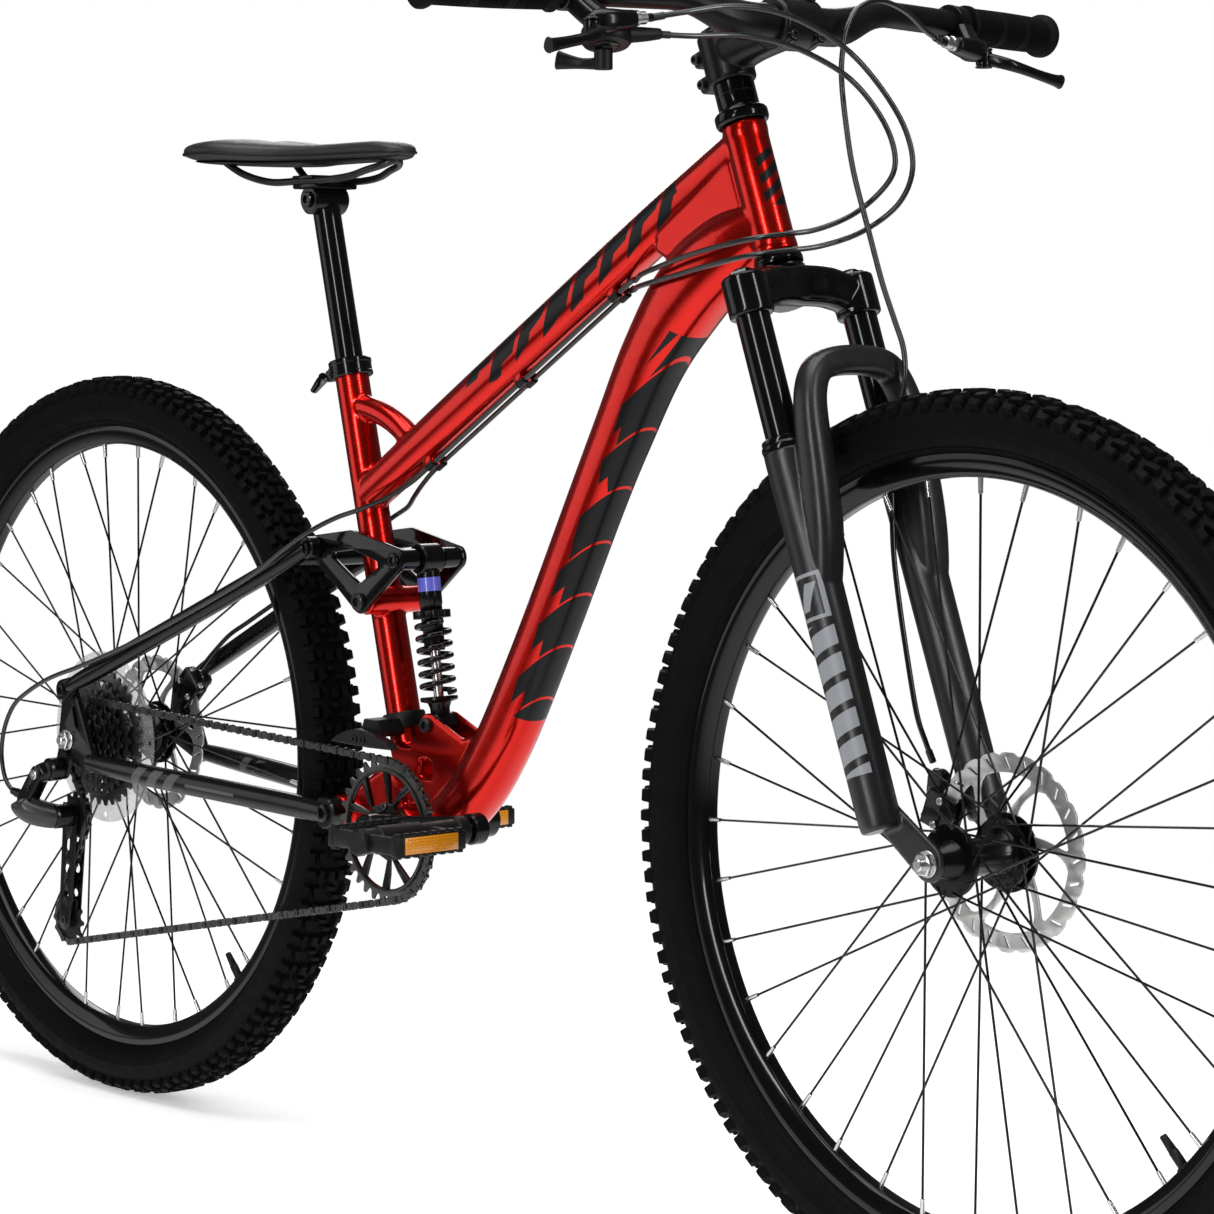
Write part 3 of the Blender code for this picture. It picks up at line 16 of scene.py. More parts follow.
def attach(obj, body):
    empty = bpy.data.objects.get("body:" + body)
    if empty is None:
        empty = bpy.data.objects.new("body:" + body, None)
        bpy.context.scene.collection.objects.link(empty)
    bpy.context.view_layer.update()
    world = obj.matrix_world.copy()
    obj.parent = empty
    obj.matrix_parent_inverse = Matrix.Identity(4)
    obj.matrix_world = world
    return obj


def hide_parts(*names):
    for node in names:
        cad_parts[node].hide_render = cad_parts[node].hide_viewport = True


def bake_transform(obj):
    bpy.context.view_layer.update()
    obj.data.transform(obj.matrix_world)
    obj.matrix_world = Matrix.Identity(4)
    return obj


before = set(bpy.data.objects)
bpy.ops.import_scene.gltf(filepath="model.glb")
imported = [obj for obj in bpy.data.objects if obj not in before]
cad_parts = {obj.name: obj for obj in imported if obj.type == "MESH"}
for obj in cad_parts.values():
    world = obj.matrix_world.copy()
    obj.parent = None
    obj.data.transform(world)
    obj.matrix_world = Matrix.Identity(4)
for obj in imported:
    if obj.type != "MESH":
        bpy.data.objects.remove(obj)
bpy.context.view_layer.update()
random.seed(7)

# ---------------------------------------------------------------- dimensions
WHEELBASE = 1.170
TYRE_RADIUS = 0.3683
SPOKES = 36
REAR_AXLE = (0.0, TYRE_RADIUS)
FRONT_AXLE = (WHEELBASE, TYRE_RADIUS)
BOTTOM_BRACKET = (0.490, 0.324)
MAIN_PIVOT = (0.390, 0.330)
ROCKER_PIVOT = (0.438, 0.531)
ROCKER_FRONT = (0.490, 0.572)
ROCKER_REAR = (0.374, 0.579)
SHOCK_FOOT = (0.510, 0.4205)
DROPOUT_PIVOT = (0.004, 0.420)
HANGER = (-0.012, 0.338)
GUIDE_WHEEL = (-0.020, 0.288)
TENSION_WHEEL = (-0.032, 0.178)
HEAD_CENTRE = (0.9262, 0.8968)
HEAD_ANGLE = math.radians(70.0)
HEAD_HALF = 0.0575
STANCHION_OFFSET = 0.016
LEG_SPACING = 0.062
BAR_OFFSET = 0.0768
BAR_HEIGHT = -0.1138
BAR_HALF = 0.355
CRANK_LENGTH = 0.170
CRANK_ANGLE = math.radians(7.5)
CHAIN_PLANE = -0.049
CHAIN_PITCH = 0.0127
CHAINRING_TEETH = 32
COG_TEETH = 20
GUIDE_TEETH = 11
REAR_DISC_Y = 0.0405
FRONT_DISC_Y = 0.0375
TOP_TUBE_SLOPE = 0.607
CABLE_DROP = 0.0240
CABLE_RADIUS = 0.0023


# ---------------------------------------------------------------- positions
def at(x, z, y=0.0):
    """Frame point from the side view, x counted from the rear axle."""
    return Vector((x - WHEELBASE / 2.0, y, z))


FORK_DOWN = (math.cos(HEAD_ANGLE), -math.sin(HEAD_ANGLE))
FORK_FORWARD = (math.sin(HEAD_ANGLE), math.cos(HEAD_ANGLE))


def on_fork(forward, down, y=0.0):
    """Point from distances ahead of and down the steering axis."""
    x = HEAD_CENTRE[0] + forward * FORK_FORWARD[0] + down * FORK_DOWN[0]
    z = HEAD_CENTRE[1] + forward * FORK_FORWARD[1] + down * FORK_DOWN[1]
    return at(x, z, y)


def seat_tube(z):
    return (0.380 + (0.7369 - z) * 0.2405, z)


def top_tube_point(x, drop=0.0):
    slope = math.atan(TOP_TUBE_SLOPE)
    z = 0.782 + TOP_TUBE_SLOPE * (x - 0.66)
    return (x + drop * math.sin(slope), z - drop * math.cos(slope))


def crank_end(sign):
    return (BOTTOM_BRACKET[0] + sign * CRANK_LENGTH * math.cos(CRANK_ANGLE),
            BOTTOM_BRACKET[1] + sign * CRANK_LENGTH * math.sin(CRANK_ANGLE))


bar_middle = on_fork(BAR_OFFSET, BAR_HEIGHT)


def bar_point(y):
    """Centre of the handlebar at a distance from the middle plane."""
    reach = abs(y)
    share = min(1.0, max(0.0, (reach - 0.045) / 0.080))
    rise = 0.0160 * share * share * (3.0 - 2.0 * share) - 0.0150 * max(0.0, reach - 0.125)
    back_by = 0.130 * max(0.0, reach - 0.05)
    return Vector((bar_middle.x - back_by, y, bar_middle.z + rise))


def bar_frame(side, y, forward, down):
    return bar_point(side * y) + Vector((forward, 0.0, -down))


def across(point, turn=0.0):
    """Matrix with local Z along +Y at a side-view point."""
    stand = Matrix.Rotation(-math.pi / 2.0, 4, "X")
    return Matrix.Translation(at(*point)) @ stand @ Matrix.Rotation(turn, 4, "Z")


def axis(start, end):
    """Matrix at start with local Z towards end."""
    turn = (end - start).to_track_quat("Z", "Y").to_matrix().to_4x4()
    return Matrix.Translation(start) @ turn


def circle(centre, radius, count, start=0.0):
    step = 2.0 * math.pi / count
    return [(centre[0] + radius * math.cos(start + k * step),
             centre[1] + radius * math.sin(start + k * step)) for k in range(count)]


def polar(centre, radius, angle):
    return (centre[0] + radius * math.cos(angle), centre[1] + radius * math.sin(angle))


def hull(discs, count=32):
    """Convex outline around several discs given as (centre, radius)."""
    cloud = []
    for centre, radius in discs:
        cloud += circle(centre, radius, count)
    cloud = sorted(set(cloud))

    def half(points):
        chain = []
        for point in points:
            while len(chain) > 1:
                (ax, az), (bx, bz) = chain[-2], chain[-1]
                if (bx - ax) * (point[1] - az) - (bz - az) * (point[0] - ax) > 0.0:
                    break
                chain.pop()
            chain.append(point)
        return chain

    return half(cloud)[:-1] + half(reversed(cloud))[:-1]


# ---------------------------------------------------------------- shapes
# A shape is (vertices, faces); make() joins shapes to one object.
def spline(values, steps=6):
    """Points or numbers along a smooth curve through all the given ones."""
    out = []
    last = len(values) - 1
    for k in range(last):
        a, b, c, d = values[max(k - 1, 0)], values[k], values[k + 1], values[min(k + 2, last)]
        for n in range(steps):
            t = n / steps
            out.append(b + (c - a) * (0.5 * t) + (a * 2.0 - b * 5.0 + c * 4.0 - d) * (0.5 * t * t)
                       + (b * 3.0 - a - c * 3.0 + d) * (0.5 * t * t * t))
    out.append(values[last])
    return out


def loft(rings):
    """Closed solid through a row of rings with equally many points."""
    count = len(rings[0])
    verts = [point for ring in rings for point in ring]
    faces = []
    for row in range(len(rings) - 1):
        for k in range(count):
            m = (k + 1) % count
            a, b = row * count, (row + 1) * count
            faces.append((a + k, a + m, b + m, b + k))
    faces.append(tuple(range(count)))
    faces.append(tuple(range(len(verts) - count, len(verts))))
    return verts, faces


def sweep(points, radius, sides=20, scales=None, wide=1.0, power=2.0, chamfer=None):
    """Bar along a polyline; wide stretches it sideways, power squares its section."""
    points = [Vector(point) for point in points]
    last = len(points) - 1
    ways = [(points[min(k + 1, last)] - points[max(k - 1, 0)]).normalized()
            for k in range(last + 1)]
    seed = Vector((0.0, 1.0, 0.0)) if abs(ways[0].y) < 0.9 else Vector((0.0, 0.0, 1.0))
    sizes = [radius * (scales[k] if scales else 1.0) for k in range(last + 1)]
    cut = min(sizes[0], sizes[-1]) * 0.12 if chamfer is None else chamfer
    rows = [(k, points[k], sizes[k]) for k in range(last + 1)]
    if cut > 0.0:
        rows[0] = (0, points[0] + ways[0] * cut, sizes[0])
        rows[-1] = (last, points[last] - ways[last] * cut, sizes[last])
        rows = [(0, points[0], sizes[0] - cut)] + rows + [(last, points[last], sizes[last] - cut)]
    side = seed
    rings = []
    for k, point, size in rows:
        side = (side - ways[k] * side.dot(ways[k])).normalized()
        up = ways[k].cross(side)
        ring = []
        for n in range(sides):
            turn = 2.0 * math.pi * n / sides
            c, s = math.cos(turn), math.sin(turn)
            c = math.copysign(abs(c) ** (2.0 / power), c)
            s = math.copysign(abs(s) ** (2.0 / power), s)
            ring.append(point + side * (c * size * wide) + up * (s * size))
        rings.append(ring)
    return loft(rings)


def rod(start, end, radius, end_radius=None, sides=20, chamfer=None):
    ends = None if end_radius is None else [1.0, end_radius / radius]
    return sweep([start, end], radius, sides, ends, chamfer=chamfer)


def cross_rod(point, y_start, y_end, radius, sides=24, chamfer=None):
    return rod(at(*point, y_start), at(*point, y_end), radius, None, sides, chamfer)


def turned(profile, place, steps=48):
    """Shape turned about local Z from (radius, height) points.

    A profile that starts and ends on the axis is solid, any other is a ring.
    """
    verts, faces, columns = [], [], []
    for radius, height in profile:
        count = steps if radius > 1e-7 else 1
        columns.append(list(range(len(verts), len(verts) + count)))
        for n in range(count):
            turn = 2.0 * math.pi * n / steps
            verts.append(place @ Vector((radius * math.cos(turn), radius * math.sin(turn), height)))
    pairs = list(zip(columns, columns[1:]))
    if len(columns[0]) > 1:
        pairs.append((columns[-1], columns[0]))
    for first, second in pairs:
        for n in range(steps):
            m = (n + 1) % steps
            if len(first) == 1:
                faces.append((first[0], second[n], second[m]))
            elif len(second) == 1:
                faces.append((first[n], second[0], first[m]))
            else:
                faces.append((first[n], second[n], second[m], first[m]))
    return verts, faces


def listed(shape, place=Matrix.Identity(4)):
    shape.verts.index_update()
    verts = [place @ vert.co for vert in shape.verts]
    faces = [tuple(vert.index for vert in face.verts) for face in shape.faces]
    shape.free()
    return verts, faces


def prism(outlines, low, high, bevel=0.0006, place=None):
    """Plate with rounded edges standing in the side view; later outlines are holes.

    With a place, the outlines are in that matrix's own XY plane and low to high is
    along its Z.
    """
    data = bpy.data.curves.new("prism", "CURVE")
    data.dimensions = "2D"
    data.fill_mode = "BOTH"
    data.extrude = (high - low) / 2.0 - bevel
    data.bevel_depth = bevel
    data.bevel_resolution = 1
    data.offset = -bevel
    shift = WHEELBASE / 2.0 if place is None else 0.0
    for outline in outlines:
        line = data.splines.new("POLY")
        line.points.add(len(outline) - 1)
        line.use_cyclic_u = True
        for index, (x, z) in enumerate(outline):
            line.points[index].co = (x - shift, z, 0.0, 1.0)
    holder = bpy.data.objects.new("prism", data)
    bpy.context.scene.collection.objects.link(holder)
    graph = bpy.context.evaluated_depsgraph_get()
    mesh = bpy.data.meshes.new_from_object(holder.evaluated_get(graph))
    bpy.data.objects.remove(holder, do_unlink=True)
    bpy.data.curves.remove(data)
    shape = bmesh.new()
    shape.from_mesh(mesh)
    bpy.data.meshes.remove(mesh)
    bmesh.ops.remove_doubles(shape, verts=shape.verts, dist=1e-6)
    middle = (low + high) / 2.0
    if place is None:
        stand = Matrix.Translation((0.0, middle, 0.0)) @ Matrix.Rotation(math.pi / 2.0, 4, "X")
    else:
        stand = place @ Matrix.Translation((0.0, 0.0, middle))
    return listed(shape, stand)


def box(centre, size, turn=None, bevel=0.0010):
    """Box with rounded edges; turn is an angle about Y or a whole matrix."""
    shape = bmesh.new()
    bmesh.ops.create_cube(shape, size=1.0, matrix=Matrix.Diagonal((*size, 1.0)))
    bmesh.ops.bevel(shape, geom=shape.edges[:], offset=bevel, segments=2, profile=0.5,
                    affect="EDGES", clamp_overlap=True)
    if not isinstance(turn, Matrix):
        turn = Matrix.Rotation(turn or 0.0, 4, "Y")
    return listed(shape, Matrix.Translation(centre) @ turn)


def bolt(centre, way, radius=0.0042, height=0.0030, socket=True):
    """Round bolt head with a hexagonal recess, standing on centre along way."""
    place = axis(centre, centre + way)
    profile = [(0.0, 0.0), (radius, 0.0), (radius, height * 0.75), (radius * 0.86, height)]
    if socket:
        profile += [(radius * 0.52, height), (radius * 0.46, height * 0.35)]
    profile.append((0.0, height * 0.35 if socket else height))
    return turned(profile, place, 24)


def nut(centre, way, radius, height):
    """Hexagonal nut with a chamfered face."""
    place = axis(centre, centre + way)
    return turned([(0.0, 0.0), (radius, 0.0), (radius, height * 0.85), (radius * 0.88, height),
                   (0.0, height)], place, 6)


def looked(shape, number):
    return (*shape, number)


def make(name, body, looks, shapes, stands_for=(), sharp=38.0, voxel=0.0, passes=3):
    """One object from shapes on a CAD body, or left unparented in world space when given a pair of bodies;
    voxel welds the shapes.
    """
    verts, faces, numbers = [], [], []
    for entry in shapes:
        start = len(verts)
        verts += entry[0]
        faces += [tuple(start + index for index in face) for face in entry[1]]
        numbers += [entry[2] if len(entry) > 2 else 0] * len(entry[1])
    mesh = bpy.data.meshes.new(name)
    mesh.from_pydata([tuple(point) for point in verts], [], faces)
    for look in looks:
        mesh.materials.append(look)
    mesh.polygons.foreach_set("material_index", numbers)
    shape = bmesh.new()
    shape.from_mesh(mesh)
    bmesh.ops.recalc_face_normals(shape, faces=shape.faces)
    shape.to_mesh(mesh)
    shape.free()
    made = bpy.data.objects.new(name, mesh)
    bpy.context.scene.collection.objects.link(made)
    if voxel:
        weld = made.modifiers.new("weld", "REMESH")
        weld.mode = "VOXEL"
        weld.voxel_size = voxel
        soften = made.modifiers.new("soften", "SMOOTH")
        soften.iterations = passes
        soften.factor = 0.5
        graph = bpy.context.evaluated_depsgraph_get()
        welded = bpy.data.meshes.new_from_object(made.evaluated_get(graph))
        made.modifiers.clear()
        made.data = welded
        bpy.data.meshes.remove(mesh)
        welded.name = name
        mesh = welded
    mesh.shade_smooth()
    mesh.set_sharp_from_angle(angle=math.radians(180.0 if voxel else sharp))
    if isinstance(body, tuple):
        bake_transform(made)
    else:
        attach(made, body)
    if stands_for:
        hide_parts(*stands_for)
    return made


# ---------------------------------------------------------------- materials
def maths(tree, operation, *values):
    made = tree.nodes.new("ShaderNodeMath")
    made.operation = operation
    for index, value in enumerate(values):
        if isinstance(value, bpy.types.NodeSocket):
            tree.links.new(value, made.inputs[index])
        else:
            made.inputs[index].default_value = value
    return made.outputs[0]


def between(tree, value, low, high):
    """1 where the value is between two bounds, else 0."""
    return maths(tree, "MULTIPLY", maths(tree, "GREATER_THAN", value, low),
                 maths(tree, "LESS_THAN", value, high))


def along(tree, coords, origin, way):
    """Distance of the shaded point from an origin along a direction."""
    dot = tree.nodes.new("ShaderNodeVectorMath")
    dot.operation = "DOT_PRODUCT"
    tree.links.new(coords, dot.inputs[0])
    dot.inputs[1].default_value = way
    return maths(tree, "SUBTRACT", dot.outputs["Value"], Vector(origin).dot(Vector(way)))


def noise(tree, coords, scale, detail=3.0, roughness=0.55):
    made = tree.nodes.new("ShaderNodeTexNoise")
    made.inputs["Scale"].default_value = scale
    made.inputs["Detail"].default_value = detail
    made.inputs["Roughness"].default_value = roughness
    tree.links.new(coords, made.inputs["Vector"])
    return made.outputs["Fac"]


def ranged(tree, value, low, high, start=0.3, end=0.7):
    made = tree.nodes.new("ShaderNodeMapRange")
    tree.links.new(value, made.inputs["Value"])
    for name, number in (("From Min", start), ("From Max", end), ("To Min", low), ("To Max", high)):
        made.inputs[name].default_value = number
    return made.outputs["Result"]


def mixed(tree, share, first, second):
    """Colour between two colours, each a colour or a socket."""
    made = tree.nodes.new("ShaderNodeMix")
    made.data_type = "RGBA"
    for name, value in (("Factor", share), ("A", first), ("B", second)):
        socket = [s for s in made.inputs if s.name == name and s.enabled][0]
        if isinstance(value, bpy.types.NodeSocket):
            tree.links.new(value, socket)
        else:
            socket.default_value = value
    return [s for s in made.outputs if s.enabled][0]


def surface(name, colour, roughness, metallic=0.0, coat=0.0, mottle=0.25, grain=(900.0, 0.05),
            spread=0.12, decals=None, coat_roughness=0.04, specular=0.5):
    """Principled finish with cloudy colour, uneven gloss and a fine grain."""
    made = bpy.data.materials.new(name)
    made.use_nodes = True
    tree = made.node_tree
    shader = tree.nodes["Principled BSDF"]
    coords = tree.nodes.new("ShaderNodeTexCoord").outputs["Object"]
    cloud = noise(tree, coords, 38.0)
    base = (*colour, 1.0)
    dark = (*[part * (1.0 - mottle) for part in colour], 1.0)
    tint = mixed(tree, ranged(tree, cloud, 0.0, 1.0), dark, base)
    gloss = ranged(tree, noise(tree, coords, 120.0), roughness * (1.0 - spread),
                   roughness * (1.0 + spread))
    if decals:
        for mask, decal_colour, decal_roughness in decals(tree, coords):
            tint = mixed(tree, mask, tint, (*decal_colour, 1.0))
            rough = tree.nodes.new("ShaderNodeMix")
            tree.links.new(mask, rough.inputs[0])
            tree.links.new(gloss, rough.inputs[2])
            rough.inputs[3].default_value = decal_roughness
            gloss = rough.outputs[0]
            if metallic > 0.0:
                metal = maths(tree, "MULTIPLY", maths(tree, "SUBTRACT", 1.0, mask), metallic)
                tree.links.new(metal, shader.inputs["Metallic"])
            shine = maths(tree, "MULTIPLY", maths(tree, "SUBTRACT", 1.0, maths(
                tree, "MULTIPLY", mask, 0.8)), coat)
            tree.links.new(shine, shader.inputs["Coat Weight"])
    tree.links.new(tint, shader.inputs["Base Color"])
    tree.links.new(gloss, shader.inputs["Roughness"])
    if not shader.inputs["Metallic"].is_linked:
        shader.inputs["Metallic"].default_value = metallic
    shader.inputs["Specular IOR Level"].default_value = specular
    if not shader.inputs["Coat Weight"].is_linked:
        shader.inputs["Coat Weight"].default_value = coat
    shader.inputs["Coat Roughness"].default_value = coat_roughness
    if grain:
        bump = tree.nodes.new("ShaderNodeBump")
        bump.inputs["Strength"].default_value = grain[1]
        bump.inputs["Distance"].default_value = 0.0004
        tree.links.new(noise(tree, coords, grain[0]), bump.inputs["Height"])
        tree.links.new(bump.outputs["Normal"], shader.inputs["Normal"])
    return made


def slanted_bars(tree, coords, origin, way, up, pitch, duty, slant, span, band, step=0.0):
    """Mask of slanted bars along a tube: span is their run, band their height."""
    run = along(tree, coords, origin, way)
    rise = along(tree, coords, origin, up)
    lean = maths(tree, "ADD", run, maths(tree, "MULTIPLY", rise, slant))
    turn = maths(tree, "DIVIDE", lean, pitch)
    part = maths(tree, "FRACT", turn)
    bars = maths(tree, "LESS_THAN", part, duty)
    odd = maths(tree, "LESS_THAN", maths(tree, "FRACT", maths(tree, "MULTIPLY", turn, 0.5)), 0.5)
    low = maths(tree, "ADD", band[0], maths(tree, "MULTIPLY", odd, step))
    tall = maths(tree, "MULTIPLY", maths(tree, "GREATER_THAN", rise, low),
                 maths(tree, "LESS_THAN", rise, band[1]))
    inside = between(tree, run, span[0], span[1])
    return maths(tree, "MULTIPLY", maths(tree, "MULTIPLY", bars, tall), inside)


def scattered(tree, turn, seed):
    """A value between 0 and 1 that stays the same through each whole turn."""
    wave = maths(tree, "SINE", maths(tree, "MULTIPLY", maths(
        tree, "ADD", maths(tree, "FLOOR", turn), seed), 12.9898))
    return maths(tree, "FRACT", maths(tree, "MULTIPLY", wave, 437.585))


def blade_band(tree, coords, origin, way, up, pitch, slant, span, band, bite, gap):
    """Mask of a long band with a serrated edge, split by thin slanted gaps of uneven spacing."""
    run = along(tree, coords, origin, way)
    rise = along(tree, coords, origin, up)
    turn = maths(tree, "DIVIDE", maths(tree, "ADD", run, maths(tree, "MULTIPLY", rise, slant)),
                 pitch)
    part = maths(tree, "FRACT", turn)
    chance = scattered(tree, turn, 3.0)
    tooth = maths(tree, "MULTIPLY", part, maths(tree, "MULTIPLY", chance, bite))
    notch = maths(tree, "MULTIPLY", maths(tree, "GREATER_THAN", part, 0.62),
                  maths(tree, "MULTIPLY", scattered(tree, turn, 8.0), bite))
    start_taper = maths(tree, "MAXIMUM", 0.0, maths(
        tree, "MULTIPLY", maths(tree, "SUBTRACT", span[0] + 0.050, run), 0.36))
    low = maths(tree, "ADD", maths(tree, "ADD", band[0], start_taper),
                maths(tree, "ADD", tooth, notch))
    tall = maths(tree, "MULTIPLY", maths(tree, "GREATER_THAN", rise, low),
                 maths(tree, "LESS_THAN", rise, band[1]))
    solid = maths(tree, "GREATER_THAN", part, gap)
    inside = between(tree, run, span[0], span[1])
    return maths(tree, "MULTIPLY", solid, maths(tree, "MULTIPLY", tall, inside))


DECAL_BLACK = (0.0045, 0.0045, 0.005)
DECAL_GREY = (0.24, 0.25, 0.27)


def frame_decals(tree, coords):
    """Black slanted bars on the down tube, top tube and head tube."""
    down = Vector((-0.4937, 0.0, -0.8696))
    ahead = Vector((0.8696, 0.0, -0.4937))
    start = at(0.7990, 0.7600)
    wide = blade_band(tree, coords, start, down, ahead, 0.056, 2.2, (-0.040, 0.360),
                      (0.006, 0.0400), 0.010, 0.050)
    slope = math.atan(TOP_TUBE_SLOPE)
    run = Vector((math.cos(slope), 0.0, math.sin(slope)))
    rise = Vector((-math.sin(slope), 0.0, math.cos(slope)))
    top_start = at(0.56, 0.7213)
    top = blade_band(tree, coords, top_start, run, rise, 0.043, -1.1, (0.0, 0.335),
                     (-0.013, 0.0135), 0.013, 0.16)
    down_axis = Vector((FORK_DOWN[0], 0.0, FORK_DOWN[1]))
    side = Vector((0.0, 1.0, 0.0))
    badge = slanted_bars(tree, coords, on_fork(0.0, -0.030), down_axis, side, 0.0150, 0.55, 0.7,
                         (0.0, 0.050), (-0.0115, 0.0115))
    ahead_of = maths(tree, "GREATER_THAN",
                     along(tree, coords, on_fork(0.008, 0.0),
                           Vector((FORK_FORWARD[0], 0.0, FORK_FORWARD[1]))), 0.0)
    badge = maths(tree, "MULTIPLY", badge, ahead_of)
    mask = maths(tree, "MAXIMUM", wide, maths(tree, "MAXIMUM", top, badge))
    return [(mask, DECAL_BLACK, 0.35)]


def leg_decals(tree, coords):
    """Grey bars and a framed panel on the outer face of each fork leg."""
    down_axis = Vector((FORK_DOWN[0], 0.0, FORK_DOWN[1]))
    forward = Vector((FORK_FORWARD[0], 0.0, FORK_FORWARD[1]))
    run = along(tree, coords, on_fork(STANCHION_OFFSET, 0.0), down_axis)
    ahead = along(tree, coords, on_fork(STANCHION_OFFSET, 0.0), forward)
    reach = maths(tree, "ABSOLUTE", along(tree, coords, (0, 0, 0), (0, 1, 0)))
    outer = maths(tree, "GREATER_THAN", reach, LEG_SPACING)
    field = maths(tree, "MULTIPLY", outer, between(tree, ahead, -0.012, 0.0145))
    panel = maths(tree, "MULTIPLY", between(tree, run, 0.334, 0.372),
                  maths(tree, "SUBTRACT", 1.0, maths(
                      tree, "MULTIPLY", between(tree, run, 0.337, 0.369),
                      between(tree, ahead, -0.009, 0.0115))))
    part = maths(tree, "FRACT", maths(tree, "DIVIDE", maths(
        tree, "ADD", run, maths(tree, "MULTIPLY", ahead, 0.25)), 0.0225))
    bars = maths(tree, "MULTIPLY", maths(tree, "LESS_THAN", part, 0.70),
                 between(tree, run, 0.376, 0.500))
    core = maths(tree, "MULTIPLY", between(tree, run, 0.342, 0.364),
                 between(tree, maths(tree, "ADD", ahead, maths(tree, "MULTIPLY", maths(
                     tree, "SUBTRACT", run, 0.353), 0.5)), -0.005, 0.005))
    mask = maths(tree, "MAXIMUM", maths(tree, "MAXIMUM", panel, bars), core)
    return [(maths(tree, "MULTIPLY", mask, field), DECAL_GREY, 0.45)]


def stay_decals(tree, coords):
    """Three slanted grey stripes and a thin line on each chainstay's outer face."""
    start = at(0.120, 0.3440)
    run_way = (at(0.270, 0.3365) - start).normalized()
    up = Vector((-run_way.z, 0.0, run_way.x))
    stripes = slanted_bars(tree, coords, start, run_way, up, 0.0250, 0.55, -0.75,
                           (-0.001, 0.072), (-0.0085, 0.0085))
    line = maths(tree, "MULTIPLY",
                 between(tree, along(tree, coords, start, run_way), 0.080, 0.150),
                 between(tree, along(tree, coords, start, up), -0.0016, 0.0016))
    outer = maths(tree, "GREATER_THAN", maths(
        tree, "ABSOLUTE", along(tree, coords, (0, 0, 0), (0, 1, 0))), 0.0545)
    return [(maths(tree, "MULTIPLY", outer, maths(tree, "MAXIMUM", stripes, line)),
             (0.075, 0.077, 0.082), 0.4)]


RED_PAINT = surface("candy_red", (0.56, 0.0085, 0.004), 0.24, 0.95, coat=0.28, mottle=0.08,
                    grain=None, decals=frame_decals, specular=0.15)
RED_PLAIN = surface("candy_red_plain", (0.56, 0.0085, 0.004), 0.24, 0.95, coat=0.28, mottle=0.08,
                    grain=None)
GLOSS_BLACK = surface("gloss_black", (0.0022, 0.0022, 0.0023), 0.16, 0.0, coat=0.32, grain=None,
                      specular=0.12)
SATIN_BLACK = surface("satin_black", (0.0028, 0.0028, 0.0029), 0.36, 0.0, coat=0.08,
                      coat_roughness=0.2, specular=0.22)
STAY_BLACK = surface("stay_black", (0.0026, 0.0027, 0.0028), 0.28, 0.0, coat=0.22, specular=0.22,
                     coat_roughness=0.12, decals=stay_decals)
CHARCOAL_PLAIN = surface("charcoal_plain", (0.020, 0.021, 0.022), 0.38, 0.2, coat=0.1)
CHARCOAL = surface("charcoal_paint", (0.0100, 0.0106, 0.0112), 0.36, 0.20, coat=0.1,
                   coat_roughness=0.3, decals=leg_decals, grain=(1600.0, 0.10))
RUBBER = surface("tyre_rubber", (0.0028, 0.0029, 0.0029), 0.62, 0.0, mottle=0.35,
                 grain=(700.0, 0.35), specular=0.06)
GRIP = surface("grip_rubber", (0.0034, 0.0034, 0.0035), 0.66, 0.0, grain=(1500.0, 0.4),
               specular=0.10)
STEEL = surface("bright_steel", (0.60, 0.60, 0.60), 0.26, 1.0, mottle=0.15)
DARK_STEEL = surface("dark_steel", (0.046, 0.047, 0.048), 0.36, 0.85, mottle=0.4)
CHAIN_STEEL = surface("chain_steel", (0.095, 0.094, 0.092), 0.36, 0.9, mottle=0.5)
ALLOY_BLACK = surface("black_alloy", (0.0026, 0.0026, 0.0027), 0.26, 0.0, coat=0.20,
                      coat_roughness=0.1, specular=0.14)
PLASTIC = surface("black_plastic", (0.0036, 0.0036, 0.0037), 0.46, 0.0, grain=(1800.0, 0.25),
                  specular=0.22)
HOUSING = surface("cable_housing", (0.0050, 0.0050, 0.0052), 0.30, 0.0, coat=0.25, grain=None)
BLUE = surface("blue_band", (0.12, 0.14, 0.62), 0.30, 0.0, coat=0.5, grain=None)
VINYL = surface("saddle_vinyl", (0.0080, 0.0080, 0.0083), 0.46, 0.0, mottle=0.2,
                grain=(1300.0, 0.55))


def brushed(name, colour, roughness, centre):
    """Steel ground in rings around a wheel axle."""
    made = bpy.data.materials.new(name)
    made.use_nodes = True
    tree = made.node_tree
    shader = tree.nodes["Principled BSDF"]
    coords = tree.nodes.new("ShaderNodeTexCoord").outputs["Object"]
    x = along(tree, coords, at(*centre), (1.0, 0.0, 0.0))
    z = along(tree, coords, at(*centre), (0.0, 0.0, 1.0))
    radius = maths(tree, "SQRT", maths(tree, "ADD", maths(tree, "MULTIPLY", x, x),
                                       maths(tree, "MULTIPLY", z, z)))
    pack = tree.nodes.new("ShaderNodeCombineXYZ")
    tree.links.new(maths(tree, "MULTIPLY", radius, 2600.0), pack.inputs[0])
    rings = noise(tree, pack.outputs[0], 1.0, 2.0)
    tint = mixed(tree, ranged(tree, rings, 0.0, 1.0),
                 (*[part * 0.72 for part in colour], 1.0), (*colour, 1.0))
    tree.links.new(tint, shader.inputs["Base Color"])
    tree.links.new(ranged(tree, rings, roughness * 0.8, roughness * 1.2),
                   shader.inputs["Roughness"])
    shader.inputs["Metallic"].default_value = 0.85
    return made


REAR_DISC_STEEL = brushed("rear_disc_steel", (0.62, 0.62, 0.61), 0.34, REAR_AXLE)
FRONT_DISC_STEEL = brushed("front_disc_steel", (0.62, 0.62, 0.61), 0.34, FRONT_AXLE)


